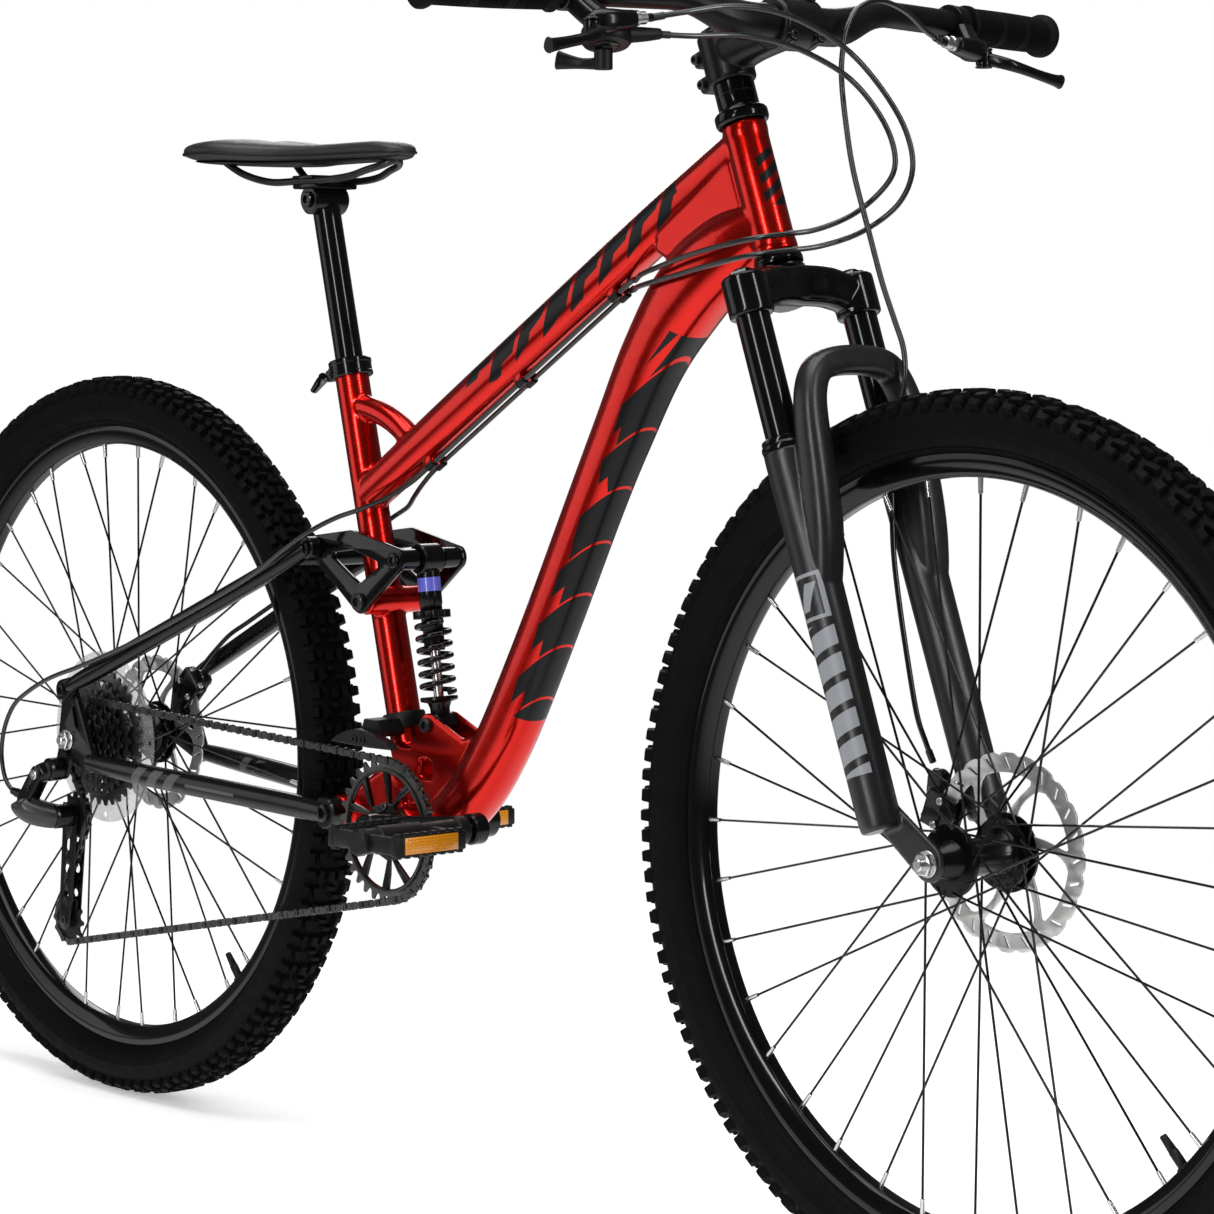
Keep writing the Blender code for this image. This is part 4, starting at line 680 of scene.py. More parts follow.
def prismatic_amber():
    """Moulded amber reflector with a grid of small prisms."""
    made = bpy.data.materials.new("amber_reflector")
    made.use_nodes = True
    tree = made.node_tree
    shader = tree.nodes["Principled BSDF"]
    coords = tree.nodes.new("ShaderNodeTexCoord").outputs["Object"]
    cells = tree.nodes.new("ShaderNodeTexVoronoi")
    cells.inputs["Scale"].default_value = 380.0
    cells.inputs["Randomness"].default_value = 0.15
    tree.links.new(coords, cells.inputs["Vector"])
    tint = mixed(tree, ranged(tree, cells.outputs["Distance"], 0.0, 1.0, 0.0, 0.8),
                 (0.78, 0.30, 0.004, 1.0), (0.42, 0.13, 0.002, 1.0))
    tree.links.new(tint, shader.inputs["Base Color"])
    shader.inputs["Roughness"].default_value = 0.22
    shader.inputs["Coat Weight"].default_value = 0.8
    bump = tree.nodes.new("ShaderNodeBump")
    bump.inputs["Strength"].default_value = 0.5
    bump.inputs["Distance"].default_value = 0.0006
    tree.links.new(cells.outputs["Distance"], bump.inputs["Height"])
    tree.links.new(bump.outputs["Normal"], shader.inputs["Normal"])
    return made


def clear_plastic():
    """Thin, slightly milky plastic of the disc behind the cassette."""
    made = bpy.data.materials.new("clear_plastic")
    made.use_nodes = True
    tree = made.node_tree
    shader = tree.nodes["Principled BSDF"]
    coords = tree.nodes.new("ShaderNodeTexCoord").outputs["Object"]
    cloud = noise(tree, coords, 60.0)
    tree.links.new(mixed(tree, cloud, (0.30, 0.31, 0.32, 1.0), (0.42, 0.43, 0.44, 1.0)),
                   shader.inputs["Base Color"])
    shader.inputs["Roughness"].default_value = 0.12
    tree.links.new(ranged(tree, cloud, 0.26, 0.38), shader.inputs["Alpha"])
    return made


AMBER = prismatic_amber()
CLEAR = clear_plastic()

# ---------------------------------------------------------------- main frame
down_tube_line = [
    (0.9330, 0.8700), (0.8930, 0.8480), (0.8450, 0.8130), (0.7990, 0.7600),
    (0.7601, 0.6960), (0.7248, 0.6343), (0.6661, 0.5258), (0.6230, 0.4500),
    (0.5960, 0.4070), (0.5660, 0.3680), (0.5330, 0.3400), (0.4950, 0.3260),
]
down_tube_radii = [
    0.021, 0.030, 0.033, 0.029, 0.0265, 0.0255, 0.0255, 0.026, 0.026, 0.0255, 0.024, 0.020,
]
top_line = [at(*top_tube_point(x)) for x in (0.405, 0.52, 0.66, 0.80, 0.905)]
brace_line = [at(*point) for point in
              [seat_tube(0.712), (0.422, 0.7056), (0.452, 0.6930), (0.480, 0.672)]]
HEAD_AXIS = axis(on_fork(0.0, 0.0), on_fork(0.0, 0.1))
frame_shapes = [
    sweep(spline([at(*point) for point in down_tube_line]), 1.0, 48,
          spline([radius * 1.02 for radius in down_tube_radii]), 0.86, 2.5, 0.0),
    sweep(spline(top_line), 0.0190, 40, spline([0.92, 1.0, 1.03, 1.06, 0.95]), 0.92, 2.4, 0.0),
    turned([(0.0, -HEAD_HALF), (0.0184, -HEAD_HALF), (0.0190, -HEAD_HALF + 0.002),
            (0.0190, -HEAD_HALF + 0.008), (0.0183, -HEAD_HALF + 0.013),
            (0.0183, HEAD_HALF - 0.013), (0.0190, HEAD_HALF - 0.008),
            (0.0190, HEAD_HALF - 0.002), (0.0184, HEAD_HALF), (0.0, HEAD_HALF)], HEAD_AXIS, 64),
    rod(at(*seat_tube(0.330)), at(*seat_tube(0.750)), 0.0160, sides=48),
    sweep(spline(brace_line), 0.0114, 32, chamfer=0.0),
    prism([[(0.905, 0.925), (0.820, 0.875), (0.812, 0.848), (0.850, 0.830), (0.930, 0.860)]],
          -0.0155, 0.0155, 0.004),
    cross_rod(BOTTOM_BRACKET, -0.0365, 0.0365, 0.0207, 48),
    cross_rod(MAIN_PIVOT, -0.0300, 0.0300, 0.0157, 40),
    prism([[(0.386, 0.3440), (0.452, 0.380), (0.480, 0.360), (0.480, 0.315),
            (0.390, 0.3155)]], -0.020, 0.020, 0.004),
    prism([[(0.470, 0.345), (0.452, 0.398), (0.490, 0.400), (0.520, 0.4000), (0.560, 0.412),
            (0.585, 0.420), (0.600, 0.400), (0.540, 0.345)],
           [(0.4985, 0.3715), (0.5000, 0.392), (0.5155, 0.3855), (0.5155, 0.3725)]],
          -0.0170, 0.0170, 0.0025),
    cross_rod(ROCKER_PIVOT, -0.0328, 0.0328, 0.0126, 32),
]
for side in (-1.0, 1.0):
    low, high = sorted((side * 0.0126, side * 0.0172))
    frame_shapes.append(prism([hull([(SHOCK_FOOT, 0.0112), ((0.494, 0.396), 0.008),
                                     ((0.552, 0.404), 0.010)])], low, high, 0.0012))
make("frame_shell", "frame", [RED_PAINT], frame_shapes, ["main_frame"],
     voxel=0.0017, passes=4)

# welded cable guides with their clips, and the small fittings on the frame
guide_shapes = []
slope_turn = -math.atan(TOP_TUBE_SLOPE)
for x in (0.7416, 0.6183, 0.4913):
    guide_shapes.append(looked(box(at(*top_tube_point(x, 0.0205)), (0.013, 0.019, 0.0100),
                                   slope_turn, 0.0022), 0))
    for lane in (-0.0055, 0.0055):
        ends = [at(*top_tube_point(x + shift, CABLE_DROP), lane) for shift in (-0.0048, 0.0048)]
        guide_shapes.append(looked(rod(*ends, 0.0042, sides=20), 1))
make("cable_guides", "frame", [RED_PLAIN, PLASTIC], guide_shapes)

fitting_shapes = []
for side in (-1.0, 1.0):
    foot_side = at(*SHOCK_FOOT, side * 0.0172)
    fitting_shapes.append(bolt(foot_side, Vector((0.0, side, 0.0)), 0.0068, 0.0042))
for x, z in ((0.7000, 0.5530), (0.6600, 0.4840)):
    ahead = Vector((-0.8696, 0.0, 0.4937))
    fitting_shapes.append(bolt(at(x, z) + ahead * 0.0300, ahead, 0.0046, 0.0026))
make("frame_bolts", "frame", [DARK_STEEL], fitting_shapes)

STEER_BORE = 0.0150
make("headset_top", "frame", [GLOSS_BLACK], [turned(
    [(0.0205, -0.0578), (0.0218, -0.0590), (0.0222, -0.0600), (0.0226, -0.0612),
     (0.0226, -0.0668), (0.0220, -0.0682), (0.0205, -0.0692), (0.0176, -0.0706),
     (0.0173, -0.0716), (0.0173, -0.0824), (0.0169, -0.0828), (0.0169, -0.0832),
     (0.0173, -0.0836), (0.0173, -0.0932), (0.0168, -0.0937), (STEER_BORE, -0.0937),
     (STEER_BORE, -0.0578)], HEAD_AXIS, 72)], ["headset_upper"])
make("headset_base", "frame", [GLOSS_BLACK], [turned(
    [(STEER_BORE, 0.0676), (0.0190, 0.0676), (0.0205, 0.0668), (0.0207, 0.0655),
     (0.0207, 0.0622), (0.0201, 0.0610), (0.0198, 0.0590), (0.0193, 0.0578),
     (STEER_BORE, 0.0578)], HEAD_AXIS, 72)], ["headset_lower"])

collar_low = at(*seat_tube(0.7380))
collar_high = at(*seat_tube(0.7540))
collar_mid = (collar_low + collar_high) / 2.0
seat_way = (collar_high - collar_low).normalized()
back = Vector((-seat_way.z, 0.0, seat_way.x))
left_way = Vector((0.0, 1.0, 0.0))
clamp_place = axis(collar_low, collar_high)
clamp_shapes = [
    turned([(0.0162, 0.0), (0.0195, 0.0), (0.0204, 0.0010), (0.0204, 0.0038), (0.0199, 0.0044),
            (0.0199, 0.0118), (0.0204, 0.0124), (0.0204, 0.0155), (0.0195, 0.0165),
            (0.0162, 0.0165)], clamp_place, 56),
    rod(collar_mid + back * 0.019 - left_way * 0.0094, collar_mid + back * 0.019
        - left_way * 0.0012, 0.0064, sides=24, chamfer=0.0008),
    rod(collar_mid + back * 0.019 + left_way * 0.0012, collar_mid + back * 0.019
        + left_way * 0.0094, 0.0064, sides=24, chamfer=0.0008),
    rod(collar_mid + back * 0.019 - left_way * 0.0130, collar_mid + back * 0.019
        + left_way * 0.0130, 0.0030, sides=16),
    nut(collar_mid + back * 0.019 + left_way * 0.0094, left_way, 0.0052, 0.0050),
]
make("seat_clamp_ring", "frame", [GLOSS_BLACK], clamp_shapes, ["seat_clamp"])
lever_pivot = collar_mid + back * 0.0305
lever_line = [lever_pivot - left_way * 0.0110, lever_pivot - left_way * 0.0040 + back * 0.0040,
              lever_pivot + left_way * 0.0020 + back * 0.0180,
              lever_pivot + left_way * 0.0060 + back * 0.0380 - seat_way * 0.0060]
make("seat_clamp_handle", "clamp_lever", [GLOSS_BLACK], [
    sweep(spline(lever_line, 8), 0.0046, 20, spline([0.95, 1.0, 1.15, 0.80], 8), 0.75),
    rod(lever_pivot - seat_way * 0.0050, lever_pivot + seat_way * 0.0050, 0.0052, sides=24),
], ["seat_clamp_lever"])

cup_shapes = [turned([(0.0092, 0.0400), (0.0150, 0.0400), (0.0185, 0.0396), (0.0192, 0.0388),
                      (0.0192, 0.0366), (0.0164, 0.0366), (0.0164, -0.0366), (0.0192, -0.0366),
                      (0.0192, -0.0388), (0.0185, -0.0396), (0.0150, -0.0400),
                      (0.0092, -0.0400)], across(BOTTOM_BRACKET), 48)]
for side in (-1.0, 1.0):
    for k in range(8):
        x, z = polar(BOTTOM_BRACKET, 0.0165, 2.0 * math.pi * k / 8)
        cup_shapes.append(box(at(x, z, side * 0.0399), (0.0034, 0.0012, 0.0034),
                              -2.0 * math.pi * k / 8, 0.0003))
make("bb_cups", "frame", [DARK_STEEL], cup_shapes, ["bb_cartridge"])

guide_outline = [(0.414, 0.4010), (0.424, 0.4075), (0.437, 0.4125), (0.450, 0.4150),
                 (0.463, 0.4145), (0.474, 0.4120), (0.494, 0.4060), (0.502, 0.3995),
                 (0.470, 0.3990), (0.440, 0.3998)]
band_low, band_high = at(*seat_tube(0.4115)), at(*seat_tube(0.4265))
guide_parts = [
    prism([guide_outline], -0.0560, -0.0420, 0.0018),
    prism([[(0.444, 0.4120), (0.449, 0.4235), (0.469, 0.4235), (0.474, 0.4120),
            (0.469, 0.4075), (0.448, 0.4075)]], -0.0430, -0.0150, 0.0015),
    turned([(0.0162, 0.0), (0.0192, 0.0), (0.0201, 0.0012), (0.0201, 0.0142), (0.0192, 0.0154),
            (0.0162, 0.0154)], axis(band_low, band_high), 48),
    bolt(at(0.4520, 0.4060, -0.0560), Vector((0.0, -1.0, 0.0)), 0.0034, 0.0016),
    bolt(at(0.4640, 0.4060, -0.0560), Vector((0.0, -1.0, 0.0)), 0.0034, 0.0016),
]
make("chain_guide_body", "frame", [PLASTIC], guide_parts, ["chain_guide"])

axle_ends = [cross_rod(ROCKER_PIVOT, -0.0392, 0.0392, 0.0050)]
for side in (-1.0, 1.0):
    way = Vector((0.0, side, 0.0))
    axle_ends.append(bolt(at(*ROCKER_PIVOT, side * 0.0389), way, 0.0082, 0.0042))
make("rocker_bolt", "frame", [DARK_STEEL], axle_ends, ["rocker_axle"])

# ---------------------------------------------------------------- seat
POST_TOP = 0.905
post_low = at(*seat_tube(0.600))
post_high = at(*seat_tube(POST_TOP))
post_shapes = [
    rod(post_low, post_high, 0.0131, sides=48),
    cross_rod(seat_tube(POST_TOP), -0.0200, 0.0200, 0.0140, 40, 0.0022),
    box(at(*seat_tube(POST_TOP)) + Vector((0.0, 0.0, 0.0125)), (0.036, 0.050, 0.0052), 0.0, 0.0016),
    box(at(*seat_tube(POST_TOP)) + Vector((0.0, 0.0, 0.0205)), (0.032, 0.054, 0.0040), 0.0, 0.0014),
]
for side in (-1.0, 1.0):
    post_shapes.append(bolt(at(*seat_tube(POST_TOP), side * 0.0200), Vector((0, side, 0)),
                            0.0075, 0.0035))
make("post", "seat", [GLOSS_BLACK], post_shapes, ["seatpost"])
RAIL_Z = 0.9225
rail_line = []
for side in (-1.0, 1.0):
    run = [(0.240, 0.942, 0.042), (0.262, 0.930, 0.036), (0.290, RAIL_Z, 0.026),
           (0.330, RAIL_Z, 0.0225), (0.370, RAIL_Z, 0.022), (0.400, 0.9250, 0.018),
           (0.420, 0.930, 0.014), (0.438, 0.934, 0.010), (0.447, 0.938, 0.0035)]
    row = [at(x, z, side * y) for x, z, y in run]
    rail_line += row if side < 0.0 else row[::-1]
make("rails", "seat", [DARK_STEEL], [sweep(spline(rail_line, 6), 0.0035, 16)],
     ["saddle_rails"])


def saddle_ring(x, half_width, top, bottom, groove):
    """One cross-section of the saddle: domed top, a centre channel and a tucked skirt."""
    ring = []
    for n in range(64):
        turn = 2.0 * math.pi * n / 64
        c, s = math.cos(turn), math.sin(turn)
        across_share = math.copysign(abs(c) ** 0.62, c)
        if s >= 0.0:
            z = bottom + (top - bottom) * (0.42 + 0.58 * s ** 0.55)
            z -= groove * math.exp(-(across_share * half_width / 0.0085) ** 2)
            y = across_share * half_width
        else:
            z = bottom + (top - bottom) * 0.42 * (1.0 - abs(s) ** 0.8)
            y = across_share * half_width * (1.0 - 0.16 * abs(s))
        ring.append(at(x, z, y))
    return ring


saddle_rows = [  # x, half width, top, underside, channel depth
    (0.1905, 0.026, 0.9545, 0.9475, 0.0), (0.196, 0.050, 0.9570, 0.9450, 0.0005),
    (0.205, 0.066, 0.9600, 0.9430, 0.0015), (0.218, 0.0745, 0.9630, 0.9415, 0.0030),
    (0.236, 0.0765, 0.9645, 0.9405, 0.0036), (0.256, 0.0750, 0.9645, 0.9400, 0.0038),
    (0.278, 0.0650, 0.9620, 0.9390, 0.0038), (0.302, 0.0500, 0.9595, 0.9385, 0.0036),
    (0.328, 0.0375, 0.9575, 0.9385, 0.0034), (0.360, 0.0300, 0.9565, 0.9385, 0.0030),
    (0.400, 0.0245, 0.9570, 0.9385, 0.0024), (0.432, 0.0215, 0.9570, 0.9385, 0.0012),
    (0.452, 0.0180, 0.9545, 0.9395, 0.0), (0.461, 0.0125, 0.9515, 0.9415, 0.0),
    (0.464, 0.0060, 0.9490, 0.9440, 0.0),
]
smooth_rows = list(zip(*[spline(list(column), 4) for column in zip(*saddle_rows)]))
saddle_rings = [saddle_ring(*row) for row in smooth_rows]
cushion = make("saddle_cover", "seat", [VINYL], [loft(saddle_rings)], ["saddle"],
               sharp=60.0)
seam_left = [at(row[0], row[3] + (row[2] - row[3]) * 0.40, row[1] * 1.000) for row in smooth_rows]
seam_right = [Vector((point.x, -point.y, point.z)) for point in reversed(seam_left)]
make("saddle_piping", "seat", [PLASTIC],
     [sweep(seam_left[2:-1], 0.0013, 10), sweep(seam_right[1:-2], 0.0013, 10)])
shell_rings = []
for row in smooth_rows[3:-3]:
    x, half, top, bottom, groove = row
    shell_rings.append([at(x, bottom + 0.0015 + 0.0022 * math.sin(turn), half * 0.80 * math.cos(turn))
                        for turn in [2.0 * math.pi * n / 32 for n in range(32)]])
make("saddle_shell", "seat", [PLASTIC], [loft(shell_rings)])

# ---------------------------------------------------------------- crankset
RING_PITCH = CHAIN_PITCH / 2.0 / math.sin(math.pi / CHAINRING_TEETH)


def pitch_radius(teeth):
    return CHAIN_PITCH / 2.0 / math.sin(math.pi / teeth)


def crank_shapes(sign, side):
    """Forged arm with an eye at each end, flaring outwards and tapering to the pedal."""
    x, z = crank_end(sign)
    start = Vector(at(*BOTTOM_BRACKET, side * 0.0674))
    end = at(x, z, side * 0.0850)
    line = [start.lerp(end, share) for share in (0.0, 0.12, 0.3, 0.6, 0.88, 1.0)]
    line[1].y -= side * 0.0012
    line[2].y -= side * 0.0012
    line[4].y += side * 0.0010
    scales = spline([1.0, 1.0, 0.90, 0.80, 0.78, 0.78], 5)
    low, high = sorted((side * 0.0598, side * 0.0752))
    return [
        sweep(spline(line, 5), 0.0158, 40, scales, 0.46, 3.4, 0.0),
        cross_rod(BOTTOM_BRACKET, low, high, 0.0172, 48, 0.0016),
        cross_rod((x, z), *sorted((side * 0.0776, side * 0.0924)), 0.0138, 40, 0.0016),
        bolt(at(*BOTTOM_BRACKET, side * 0.0750), Vector((0, side, 0)), 0.0098, 0.0026),
        cross_rod((x, z), *sorted((side * 0.0850, side * 0.0946)), 0.0085, 6),
        cross_rod((x, z), *sorted((side * 0.0850, side * 0.2100)), 0.0050),
    ]


make("crank_arm_right", "crank", [ALLOY_BLACK], crank_shapes(1.0, -1.0),
     ["crank_right"])
make("crank_arm_left", "crank", [ALLOY_BLACK],
     crank_shapes(-1.0, 1.0) + [cross_rod(BOTTOM_BRACKET, -0.0595, 0.0650, 0.0086)],
     ["crank_left"])


def tooth_edge(centre, teeth, tip, root, phase, flat=0.24):
    """Toothed outline: a rounded valley at each roller and a blunt tip between them."""
    outline = []
    step = 2.0 * math.pi / teeth
    for k in range(teeth):
        for share, radius in ((-0.16, root + 0.0004), (0.0, root), (0.16, root + 0.0004),
                              (0.5 - flat / 2.0, tip), (0.5 + flat / 2.0, tip)):
            outline.append(polar(centre, radius, phase + (k + share) * step))
    return outline


def tangent_angle(first, second):
    (c1, r1, s1), (c2, r2, s2) = first, second
    dx, dz = c2[0] - c1[0], c2[1] - c1[1]
    return math.atan2(dz, dx) + math.acos((s1 * r1 - s2 * r2) / math.hypot(dx, dz))


def chain_line(circles, step=math.radians(2.0)):
    """Closed loop over turned circles given as (centre, radius, sense)."""
    count = len(circles)
    normals = [tangent_angle(circles[k], circles[(k + 1) % count]) for k in range(count)]
    path = []
    for k in range(count):
        centre, radius, sense = circles[k]
        swept = normals[k] - normals[k - 1]
        while sense < 0.0 and swept < 0.0:
            swept += 2.0 * math.pi
        while sense > 0.0 and swept > 0.0:
            swept -= 2.0 * math.pi
        cuts = max(2, int(math.ceil(abs(swept) / step)))
        for n in range(cuts + 1):
            path.append(polar(centre, sense * radius, normals[k - 1] + swept * n / cuts))
    return path


chain_circles = [
    (BOTTOM_BRACKET, RING_PITCH, -1.0), (REAR_AXLE, pitch_radius(COG_TEETH), -1.0),
    (GUIDE_WHEEL, pitch_radius(GUIDE_TEETH), 1.0), (TENSION_WHEEL, pitch_radius(GUIDE_TEETH), -1.0),
]
loop = chain_line(chain_circles)
loop.append(loop[0])
runs = [0.0]
for (ax, az), (bx, bz) in zip(loop, loop[1:]):
    runs.append(runs[-1] + math.hypot(bx - ax, bz - az))
LINKS = 2 * int(round(runs[-1] / CHAIN_PITCH / 2.0))


def chain_point(share):
    """Point on the chain's loop at a share of its length."""
    want = (share % 1.0) * runs[-1]
    k = max(index for index in range(len(runs)) if runs[index] <= want + 1e-12)
    k = min(k, len(loop) - 2)
    part = (want - runs[k]) / max(1e-12, runs[k + 1] - runs[k])
    (ax, az), (bx, bz) = loop[k], loop[k + 1]
    return (ax + (bx - ax) * part, az + (bz - az) * part)


pins = [chain_point(k / LINKS) for k in range(LINKS)]


def phase_on(circle_index):
    """Angle of a roller that sits on one of the sprockets."""
    centre, radius, sense = chain_circles[circle_index]
    near = min(pins, key=lambda pin: abs(math.hypot(pin[0] - centre[0], pin[1] - centre[1]) - radius)
               + (0.0 if circle_index != 0 or pin[0] > centre[0] else 0.01))
    return math.atan2(near[1] - centre[1], near[0] - centre[0])


chain_shapes = []
for k in range(LINKS):
    first, second = pins[k], pins[(k + 1) % LINKS]
    middle = ((first[0] + second[0]) / 2.0, (first[1] + second[1]) / 2.0)
    outline = []
    lean = math.atan2(second[1] - first[1], second[0] - first[0])
    half = math.hypot(second[0] - first[0], second[1] - first[1]) / 2.0
    for n in range(24):
        turn = 2.0 * math.pi * n / 24
        c, s = math.cos(turn), math.sin(turn)
        x = math.copysign(half, c) + 0.0042 * c if abs(c) > 0.35 else c / 0.35 * half
        z = 0.0043 * s * (0.62 if abs(c) < 0.3 else 1.0)
        outline.append((x, z))
    place = (Matrix.Translation(at(*middle, CHAIN_PLANE)) @ Matrix.Rotation(-lean, 4, "Y")
             @ Matrix.Rotation(math.pi / 2.0, 4, "X"))
    near, far = (0.0023, 0.0032) if k % 2 else (0.0012, 0.0021)
    for low, high in ((near, far), (-far, -near)):
        verts = [place @ Vector((x, z, h)) for h in (low, high) for x, z in outline]
        faces = [tuple(range(24)), tuple(range(24, 48))]
        faces += [(n, (n + 1) % 24, 24 + (n + 1) % 24, 24 + n) for n in range(24)]
        chain_shapes.append((verts, faces))
    chain_shapes.append(cross_rod(first, CHAIN_PLANE - 0.0017, CHAIN_PLANE + 0.0017, 0.0038, 12, 0.0))
    chain_shapes.append(cross_rod(first, CHAIN_PLANE - 0.0037, CHAIN_PLANE + 0.0037, 0.0018, 8, 0.0))
make("chain_links", ("frame", "swingarm", at(0.450, 0.330), at(0.340, 0.330)),
     [CHAIN_STEEL], chain_shapes, ["chain"], sharp=30.0)

ring_windows = []
WINDOW_COUNT = 10
wide = 2.0 * math.pi / WINDOW_COUNT
for k in range(WINDOW_COUNT):
    mid = wide * (k + 0.5) + 0.3
    inner = 0.13 if k % 2 else 0.70
    middle = 0.26 if k % 2 else 0.50
    edge = [polar(BOTTOM_BRACKET, 0.0540, mid + wide * share) for share in (-0.38, -0.2, 0.0, 0.2, 0.38)]
    edge.append(polar(BOTTOM_BRACKET, 0.0400, mid + wide * middle))
    edge.append(polar(BOTTOM_BRACKET, 0.0275, mid + wide * inner))
    edge.append(polar(BOTTOM_BRACKET, 0.0275, mid - wide * inner))
    edge.append(polar(BOTTOM_BRACKET, 0.0400, mid - wide * middle))
    ring_windows.append(edge)
ring_shapes = [
    looked(prism([tooth_edge(BOTTOM_BRACKET, CHAINRING_TEETH, RING_PITCH + 0.0034,
                             RING_PITCH - 0.0040, phase_on(0)),
                  circle(BOTTOM_BRACKET, 0.0552, 96)],
                 CHAIN_PLANE - 0.0011, CHAIN_PLANE + 0.0011, 0.0003), 0),
    looked(prism([circle(BOTTOM_BRACKET, 0.0562, 96), *ring_windows,
                  circle(BOTTOM_BRACKET, 0.0096, 24)],
                 CHAIN_PLANE - 0.0024, CHAIN_PLANE + 0.0018, 0.0006), 1),
    looked(turned([(0.0096, -0.0588), (0.0150, -0.0588), (0.0165, -0.0560), (0.0185, -0.0520),
                   (0.0185, -0.0470), (0.0160, -0.0412), (0.0096, -0.0412)],
                  across(BOTTOM_BRACKET), 48), 1),
    looked(turned([(0.0556, CHAIN_PLANE - 0.0030), (0.0578, CHAIN_PLANE - 0.0030),
                   (0.0578, CHAIN_PLANE - 0.0009), (0.0556, CHAIN_PLANE - 0.0009)],
                  across(BOTTOM_BRACKET), 96), 0),
]
for k in range(5):
    x, z = polar(BOTTOM_BRACKET, 0.0225, 2.0 * math.pi * k / 5 + 0.3)
    ring_shapes.append(looked(bolt(at(x, z, CHAIN_PLANE - 0.0022), Vector((0, -1, 0)), 0.0036,
                                   0.0018), 0))
make("chainring_set", "crank", [CHAIN_STEEL, ALLOY_BLACK], ring_shapes,
     ["chainring"], sharp=30.0)


def pedal_shapes(sign, side):
    """Platform with toothed front and rear walls, a waisted barrel and reflectors."""
    x, z = crank_end(sign)
    middle = at(x, z, side * 0.1720)
    shapes = [
        looked(cross_rod((x, z), *sorted((side * 0.0962, side * 0.2160)), 0.0108, 36, 0.0016), 0),
        looked(cross_rod((x, z), *sorted((side * 0.0962, side * 0.1100)), 0.0124, 36, 0.0020), 0),
        looked(cross_rod((x, z), *sorted((side * 0.2060, side * 0.2172)), 0.0120, 8, 0.0020), 0),
        looked(cross_rod((x, z), *sorted((side * 0.1450, side * 0.1980)), 0.0122, 32, 0.004), 0),
    ]
    for end in (-1.0, 1.0):
        wall = middle + Vector((end * 0.0425, 0.0, 0.0))
        shapes.append(looked(box(wall, (0.0085, 0.0780, 0.0165), 0.0, 0.0016), 0))
        shapes.append(looked(box(middle + Vector((0.0, end * 0.0345, 0.0)),
                                 (0.0900, 0.0085, 0.0150), 0.0, 0.0018), 0))
        rib = middle + Vector((end * 0.0200, 0.0, 0.0))
        shapes.append(looked(box(rib, (0.0060, 0.0640, 0.0110), 0.0, 0.0012), 0))
        for k in range(8):
            y = (k - 3.5) * 0.0096
            shapes.append(looked(box(wall + Vector((0.0, y, 0.0)), (0.0072, 0.0052, 0.0215), 0.0,
                                     0.0009), 0))
        shapes.append(looked(box(wall + Vector((end * 0.0038, 0.0, 0.0)),
                                 (0.0018, 0.0620, 0.0180), 0.0, 0.0006), 0))
        shapes.append(looked(box(wall + Vector((end * 0.0046, 0.0, 0.0)),
                                 (0.0024, 0.0580, 0.0145), 0.0, 0.0008), 1))
    return shapes


make("pedal_platform_right", "pedal_r", [PLASTIC, AMBER, STEEL],
     pedal_shapes(1.0, -1.0), ["pedal_right"])
make("pedal_platform_left", "pedal_l", [PLASTIC, AMBER, STEEL],
     pedal_shapes(-1.0, 1.0), ["pedal_left"])

# ---------------------------------------------------------------- swingarm
stay_shapes = []
for side in (-1.0, 1.0):
    run = [(0.388, 0.3300, 0.0412), (0.3500, 0.3320, 0.0425), (0.270, 0.3365, 0.0515),
           (0.120, 0.3440, 0.0660), (0.036, 0.3490, 0.0690)]
    stay_shapes.append(sweep(spline([at(x, z, side * y) for x, z, y in run], 8), 0.0110, 32,
                             spline([0.88, 1.0, 1.0, 0.95, 0.75], 8), 0.92, 2.4))
    stay_shapes.append(cross_rod(MAIN_PIVOT, *sorted((side * 0.0306, side * 0.0452)), 0.0152, 40,
                                 0.0015))
    stay_shapes.append(bolt(at(*MAIN_PIVOT, side * 0.0450), Vector((0, side, 0)), 0.0085, 0.0030))
    stay_shapes.append(prism(
        [hull([(REAR_AXLE, 0.0162), ((0.036, 0.349), 0.0112), (DROPOUT_PIVOT, 0.0106)]),
         hull([((0.0175, 0.3840), 0.0032), ((0.0120, 0.4020), 0.0022)], 16)],
        *sorted((side * 0.0664, side * 0.0716)), 0.0010))
stay_shapes.append(prism([hull([(REAR_AXLE, 0.0120), (HANGER, 0.0112)])], -0.0716, -0.0664, 0.0010))
stay_shapes.append(cross_rod(MAIN_PIVOT, -0.0350, 0.0350, 0.0058))
stay_shapes.append(cross_rod((0.345, 0.3324), -0.0420, 0.0420, 0.0075, 28))
make("chainstay_arms", "swingarm", [STAY_BLACK], stay_shapes, ["chainstays"])

wheel_nut = []
for side in (-1.0, 1.0):
    way = Vector((0, side, 0))
    wheel_nut.append(nut(at(*REAR_AXLE, side * 0.0722), way, 0.0098, 0.0062))
    wheel_nut.append(cross_rod(REAR_AXLE, *sorted((side * 0.0716, side * 0.0732)), 0.0108, 40, 0.0005))
wheel_nut.append(cross_rod(REAR_AXLE, -0.0820, 0.0820, 0.0048, 24, 0.0010))
make("rear_axle_nuts", "swingarm", [STEEL], wheel_nut, ["rear_axle"])

